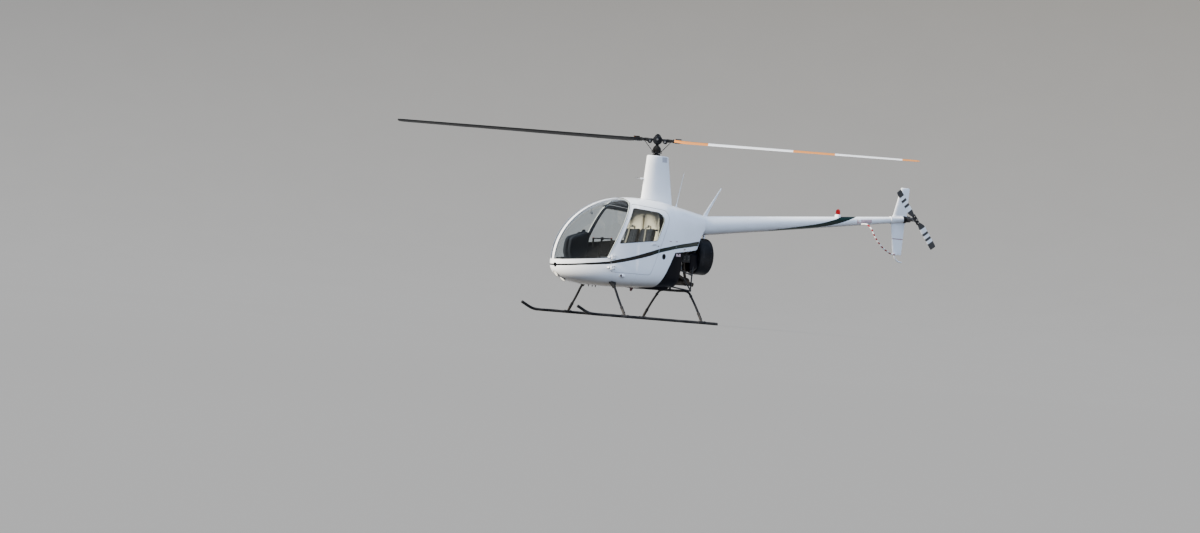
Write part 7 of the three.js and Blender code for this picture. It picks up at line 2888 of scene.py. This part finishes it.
    def rotor(self) -> None:
        """Builds the tail rotor's hub and its two blades."""
        x, y = self.hub
        place = Matrix.Translation((x, y, BOOM.at(x).z)) @ Matrix.Rotation(math.radians(self.rest), 4, "Y")
        hub = Draft()
        hub.rod((0, -0.0646, 0), (0, 0.034, 0), 0.015, 24, 1, 0.002)
        hub.block((-0.026, -0.018, -0.085), (0.026, 0.018, 0.085), 0.006)
        hub.turned([(0, 0.024), (0.012, 0.024), (0.016, 0.018)], (0, 0.016, 0), (0, 1, 0), 24)
        hub.turned([(0, 0.011), (0.008, 0.011)], (0, 0.0255, 0), (0, 1, 0), 6, 1)
        hub.turned([(-0.036, 0.016), (-0.036, 0.034), (-0.028, 0.036), (-0.024, 0.030), (-0.024, 0.016)],
                   (0, -0.006, 0), (0, 1, 0), 32, 1, looped=True)
        for sign in (1, -1):
            hub.rod((-0.026, -0.034, sign * 0.030), (-0.032, 0.002, sign * 0.072), 0.0034, 12, 1)
            hub.rod((0, -0.021, sign * 0.060), (0, 0.021, sign * 0.060), 0.012, 20, 1, 0.002)
        hub.move(place).piece("tail_hub", Body.TAIL_ROTOR, [BLACK, STEEL], ["tail_rotor_hub"])
        rows = [(0.0854, 0.060, 0.022), (0.110, 0.076, 0.018), (0.150, self.chord, 0.014),
                (0.300, self.chord, 0.012), (0.500, self.chord, 0.0104), (0.524, 0.096, 0.009),
                (self.radius, 0.080, 0.005)]
        foil = MainRotor()
        blade = Draft()
        blade.loft([foil.foil(*row, 98.0, 32) for row in rows])
        blade.reach = [p.x for p in blade.points]
        for name, half_turn in (("a", 0.0), ("b", math.pi)):
            made = blade.moved(place @ Matrix.Rotation(half_turn, 4, "Y")
                               @ Matrix.Rotation(-math.pi / 2, 4, "Y"))
            made.piece(f"tail_rotor_blade_{name}", Body.TAIL_ROTOR, [TAIL_BLADE], [f"tail_blade_{name}"])

    def guard(self) -> None:
        """Builds the banded guard with its clips on the boom and the fin."""
        route = [(-3.520, 0.030, BOOM.at(-3.52).z - 0.048), (-3.562, 0.180, 1.702), (-3.590, 0.270, 1.640),
                 (-3.650, 0.300, 1.520), (-3.760, 0.300, 1.400), (-3.900, 0.270, 1.322),
                 (-4.050, 0.170, 1.290), (-4.190, 0.030, 1.300)]
        draft = Draft()
        draft.tube(smooth_path(route, 90), 0.011, 18)
        draft.piece("guard_tube", Body.AIRFRAME, [GUARD], ["tail_guard"])
        clips = Draft()
        place, _ = BOOM.spot(-3.500, 1.5)
        clips.block(place - Vector((0.024, 0.004, 0.018)), place + Vector((0.024, 0.004, 0.018)), 0.003)
        clips.bolt(place + Vector((0.017, 0.004, 0)), (0, 1, 0), 0.0035, 1)
        clips.bolt(place + Vector((-0.017, 0.004, 0)), (0, 1, 0), 0.0035, 1)
        clips.block((-4.212, -0.020, 1.284), (-4.165, 0.034, 1.316), 0.004)
        clips.piece("guard_clips", Body.AIRFRAME, [PLAIN_WHITE, STEEL])

    def build(self) -> None:
        """Builds the whole tail."""
        self.fins()
        self.gearbox()
        self.rotor()
        self.guard()


@dataclass
class Fittings:
    """The beacon and the two antennas."""

    beacon_x: float = -3.145

    def build(self) -> None:
        """Builds them."""
        x = self.beacon_x
        top = BOOM.at(x).z + BOOM.radius(x)
        base, lens = Draft(), Draft()
        base.turned([(-0.030, 0.047), (0.004, 0.046), (0.028, 0.042), (0.033, 0.038), (0.034, 0.020)],
                    (x, 0, top), (0, 0, 1), 40)
        places = [(Vector((x + 0.044 * math.cos(a), 0.044 * math.sin(a), top + 0.016)),
                   Vector((math.cos(a), math.sin(a), 0))) for a in angles(6)]
        base.domes(places, 0.003, 0.0012)
        base.piece("beacon_stand", Body.AIRFRAME, [PLAIN_WHITE], ["beacon_base"])
        start = top + 0.0344
        rows = [(0, 0.030), (0, 0.036), (0.004, 0.0375), (0.008, 0.036)]
        for k in range(6):
            rows += [(0.010 + 0.007 * k, 0.0368 - 0.0006 * k), (0.0135 + 0.007 * k, 0.0355 - 0.0006 * k)]
        rows += [(0.058, 0.031), (0.066, 0.0265), (0.073, 0.0195), (0.078, 0.011), (0.080, 0.0)]
        lens.turned(rows, (x, 0, start), (0, 0, 1), 40)
        lens.piece("beacon_cover", Body.AIRFRAME, [RED_LENS], ["beacon_lens"])
        blade = Draft()
        rows = [(-0.870, 1.555, 0.090, 0.024), (-0.9055, 1.640, 0.060, 0.019), (-1.0085, 1.825, 0.038, 0.014),
                (-1.1165, 2.018, 0.0205, 0.010), (-1.122, 2.028, 0.015, 0.005)]
        blade.loft([[Vector((bx + chord / 2 * math.cos(a), thick / 2 * math.sin(a), z)) for a in angles(28)]
                    for bx, z, chord, thick in rows])
        blade.piece("antenna_blade_skin", Body.AIRFRAME, [PLAIN_WHITE], ["antenna_blade"])
        whip = Draft()
        roof = Mast.roof(-0.39, 0.0)
        foot, knee, end = Vector((-0.390, 0, 1.640)), Vector((-0.399, 0, 1.722)), Vector((-0.481, 0, 2.190))
        whip.tube([foot + (knee - foot) * t for t in (0.0, 0.5, 0.9, 1.0)], [0.016, 0.013, 0.010, 0.007], 24)
        whip.turned([(-0.004, 0.030), (0.002, 0.030), (0.005, 0.022)], (-0.393, 0, roof), (-0.08, 0, 1), 28)
        whip.tube([knee, end], [0.004, 0.003], 12)
        whip.piece("antenna_whip_rod", Body.AIRFRAME, [PLAIN_WHITE], ["antenna_whip"])


@dataclass
class Studio:
    """The floor, the backdrop, the lights and the camera."""

    azimuth: float = 27.05
    roll: float = 4.73
    distance: float = 46.0
    target: tuple[float, float, float] = (0.0, 0.0, 1.3)
    target_pixel: tuple[float, float] = (650.1, 230.7)
    middle_pixel: tuple[float, float] = (600.0, 266.5)
    pixels_per_metre: float = 68.40
    image_width: float = 1200.0
    sensor: float = 36.0
    camera_height: float = 0.05
    floor_radius: float = 70.0
    wall_height: float = 60.0
    floor_color: Color = (0.172, 0.167, 0.158)
    backdrop: Color = (0.52, 0.52, 0.52)
    sky_color: Color = (1.12, 1.42, 1.96)
    low_color: Color = (0.075, 0.065, 0.055)
    # How much of the world's light reflections see
    shine: float = 0.19
    # Name, degrees from the nose towards port, degrees above the floor, degrees across, strength, colour
    lights: tuple[tuple[object, ...], ...] = (
        ("key", -4.0, 26.0, 14.0, 14.0, (1.0, 0.90, 0.72)),
        ("fill", 115.0, 28.0, 60.0, 0.6, (0.86, 0.93, 1.0)),
    )

    def camera(self) -> None:
        """Places the camera at floor level, where the photograph looks up from."""
        azimuth = math.radians(self.azimuth)
        target = Vector(self.target)
        elevation = -math.asin((self.target[2] - self.camera_height) / self.distance)
        back = Vector((math.sin(azimuth) * math.cos(elevation), math.cos(azimuth) * math.cos(elevation),
                       math.sin(elevation)))
        right = Vector((0, 0, 1)).cross(back).normalized()
        up = back.cross(right)
        roll = math.radians(self.roll)
        across_way = right * math.cos(roll) + up * math.sin(roll)
        upward = up * math.cos(roll) - right * math.sin(roll)
        data = bpy.data.cameras.new("camera")
        data.sensor_width = self.sensor
        data.lens = self.sensor * self.distance * self.pixels_per_metre / self.image_width
        data.shift_x = (self.middle_pixel[0] - self.target_pixel[0]) / self.image_width
        data.shift_y = (self.target_pixel[1] - self.middle_pixel[1]) / self.image_width
        data.clip_end = 400.0
        camera = bpy.data.objects.new("camera", data)
        matrix = Matrix((across_way, upward, back)).transposed().to_4x4()
        camera.matrix_world = Matrix.Translation(target + back * self.distance + ORIGIN) @ matrix
        bpy.context.scene.collection.objects.link(camera)
        bpy.context.scene.camera = camera

    def light(self, name: str, turn: float, rise: float, width: float, power: float, color: Color) -> None:
        """Adds a broad, even light from far away, which no reflection shows.

        Args:
            name: the light's name.
            turn: degrees from the nose towards port.
            rise: degrees above the floor.
            width: degrees across, as seen from the aircraft.
            power: its strength.
            color: its colour.
        """
        data = bpy.data.lights.new(name, "SUN")
        data.angle, data.energy, data.color = math.radians(width), power, color
        lamp = bpy.data.objects.new(name, data)
        a, b = math.radians(turn), math.radians(rise)
        out = Vector((math.cos(a) * math.cos(b), math.sin(a) * math.cos(b), math.sin(b)))
        lamp.location = ORIGIN + out * 20
        lamp.rotation_euler = out.to_track_quat("Z", "Y").to_euler()
        lamp.visible_glossy = False
        lamp.visible_transmission = False
        bpy.context.scene.collection.objects.link(lamp)

    def ground(self) -> None:
        """Builds the floor as a wide round bowl, which can't be seen from outside and casts no shadow."""
        material = bpy.data.materials.new("studio floor")
        material.use_nodes = True
        tree = Tree(material.node_tree)
        cloud = tree.noise(tree.add("TexCoord").outputs["Object"], 0.6, 3.0)
        color = tree.mix(cloud, tuple(c * 0.98 for c in self.floor_color),
                         tuple(c * 1.02 for c in self.floor_color))
        rough = tree.math("ADD", tree.math("MULTIPLY", cloud, 0.1), 0.88)
        upright = tree.add("CombineXYZ", {0: 0.0, 1: 0.0, 2: 1.0}).outputs[0]
        shader = tree.add("BsdfPrincipled", {"Base Color": color, "Roughness": rough, "Normal": upright})
        shader.inputs["Specular IOR Level"].default_value = 0.0
        clear = tree.add("BsdfTransparent").outputs[0]
        outside = tree.add("NewGeometry").outputs["Backfacing"]
        tree.add("OutputMaterial",
                 {"Surface": tree.add("MixShader", {0: outside, 1: shader.outputs[0], 2: clear}).outputs[0]})
        bend = self.wall_height * 0.5
        profile = [(self.floor_radius * k / 6, 0.0) for k in range(1, 7)]
        profile += [(self.floor_radius + bend * math.sin(a), bend - bend * math.cos(a))
                    for a in (math.pi / 2 * k / 20 for k in range(1, 21))]
        profile.append((self.floor_radius + bend, self.wall_height))
        bowl = Draft()
        bowl.turned([(h, r) for r, h in [(0.0, 0.0), *profile]], (0, 0, 0), (0, 0, 1), 96)
        bowl.faces, bowl.marks = bowl.faces[:-1], bowl.marks[:-1]
        mesh = bowl.data("floor")
        if mesh.polygons[96 * 2].normal.z < 0:
            mesh.flip_normals()
        mesh.transform(Matrix.Translation(ORIGIN))
        mesh.polygons.foreach_set("use_smooth", [True] * len(mesh.polygons))
        mesh.materials.append(material)
        ground = bpy.data.objects.new("floor", mesh)
        ground.visible_shadow = ground.visible_diffuse = False
        bpy.context.scene.collection.objects.link(ground)

    def sky(self) -> None:
        """Builds the even light from all round, dimmer in reflections; the camera sees a plain backdrop."""
        world = bpy.data.worlds.new("studio")
        world.use_nodes = True
        tree = Tree(world.node_tree)
        rays = tree.add("LightPath").outputs
        lit = tree.math("MAXIMUM", rays["Is Diffuse Ray"], rays["Is Glossy Ray"])
        height = tree.add("SeparateXYZ", {0: tree.add("TexCoord").outputs["Generated"]}).outputs["Z"]
        around = tree.mix(tree.step(height, -0.15, 0.15), self.low_color, self.sky_color)
        color = tree.mix(lit, self.backdrop, around)
        strength = tree.math("SUBTRACT", 1.0, tree.math("MULTIPLY", rays["Is Glossy Ray"], 1 - self.shine))
        tree.add("OutputWorld",
                 {"Surface": tree.add("Background", {"Color": color, "Strength": strength}).outputs[0]})
        bpy.context.scene.world = world

    def build(self) -> None:
        """Builds the studio."""
        self.ground()
        for row in self.lights:
            self.light(*row)
        self.sky()
        self.camera()


def main() -> None:
    """Builds every sub-assembly and the studio."""
    logging.basicConfig(level=logging.INFO, format="%(message)s")
    doors = Doors()
    assemblies = [Cabin(), doors, CabinInterior(), Controls(), Seats(), Mast(), MainRotor(), EngineBay(),
                  BOOM, Tail(), LandingGear(), Fittings(), Studio()]
    for assembly in assemblies:
        log.info("building %s", type(assembly).__name__)
        if isinstance(assembly, Cabin):
            assembly.build(doors)
        else:
            assembly.build()


if __name__ == "__main__":
    main()
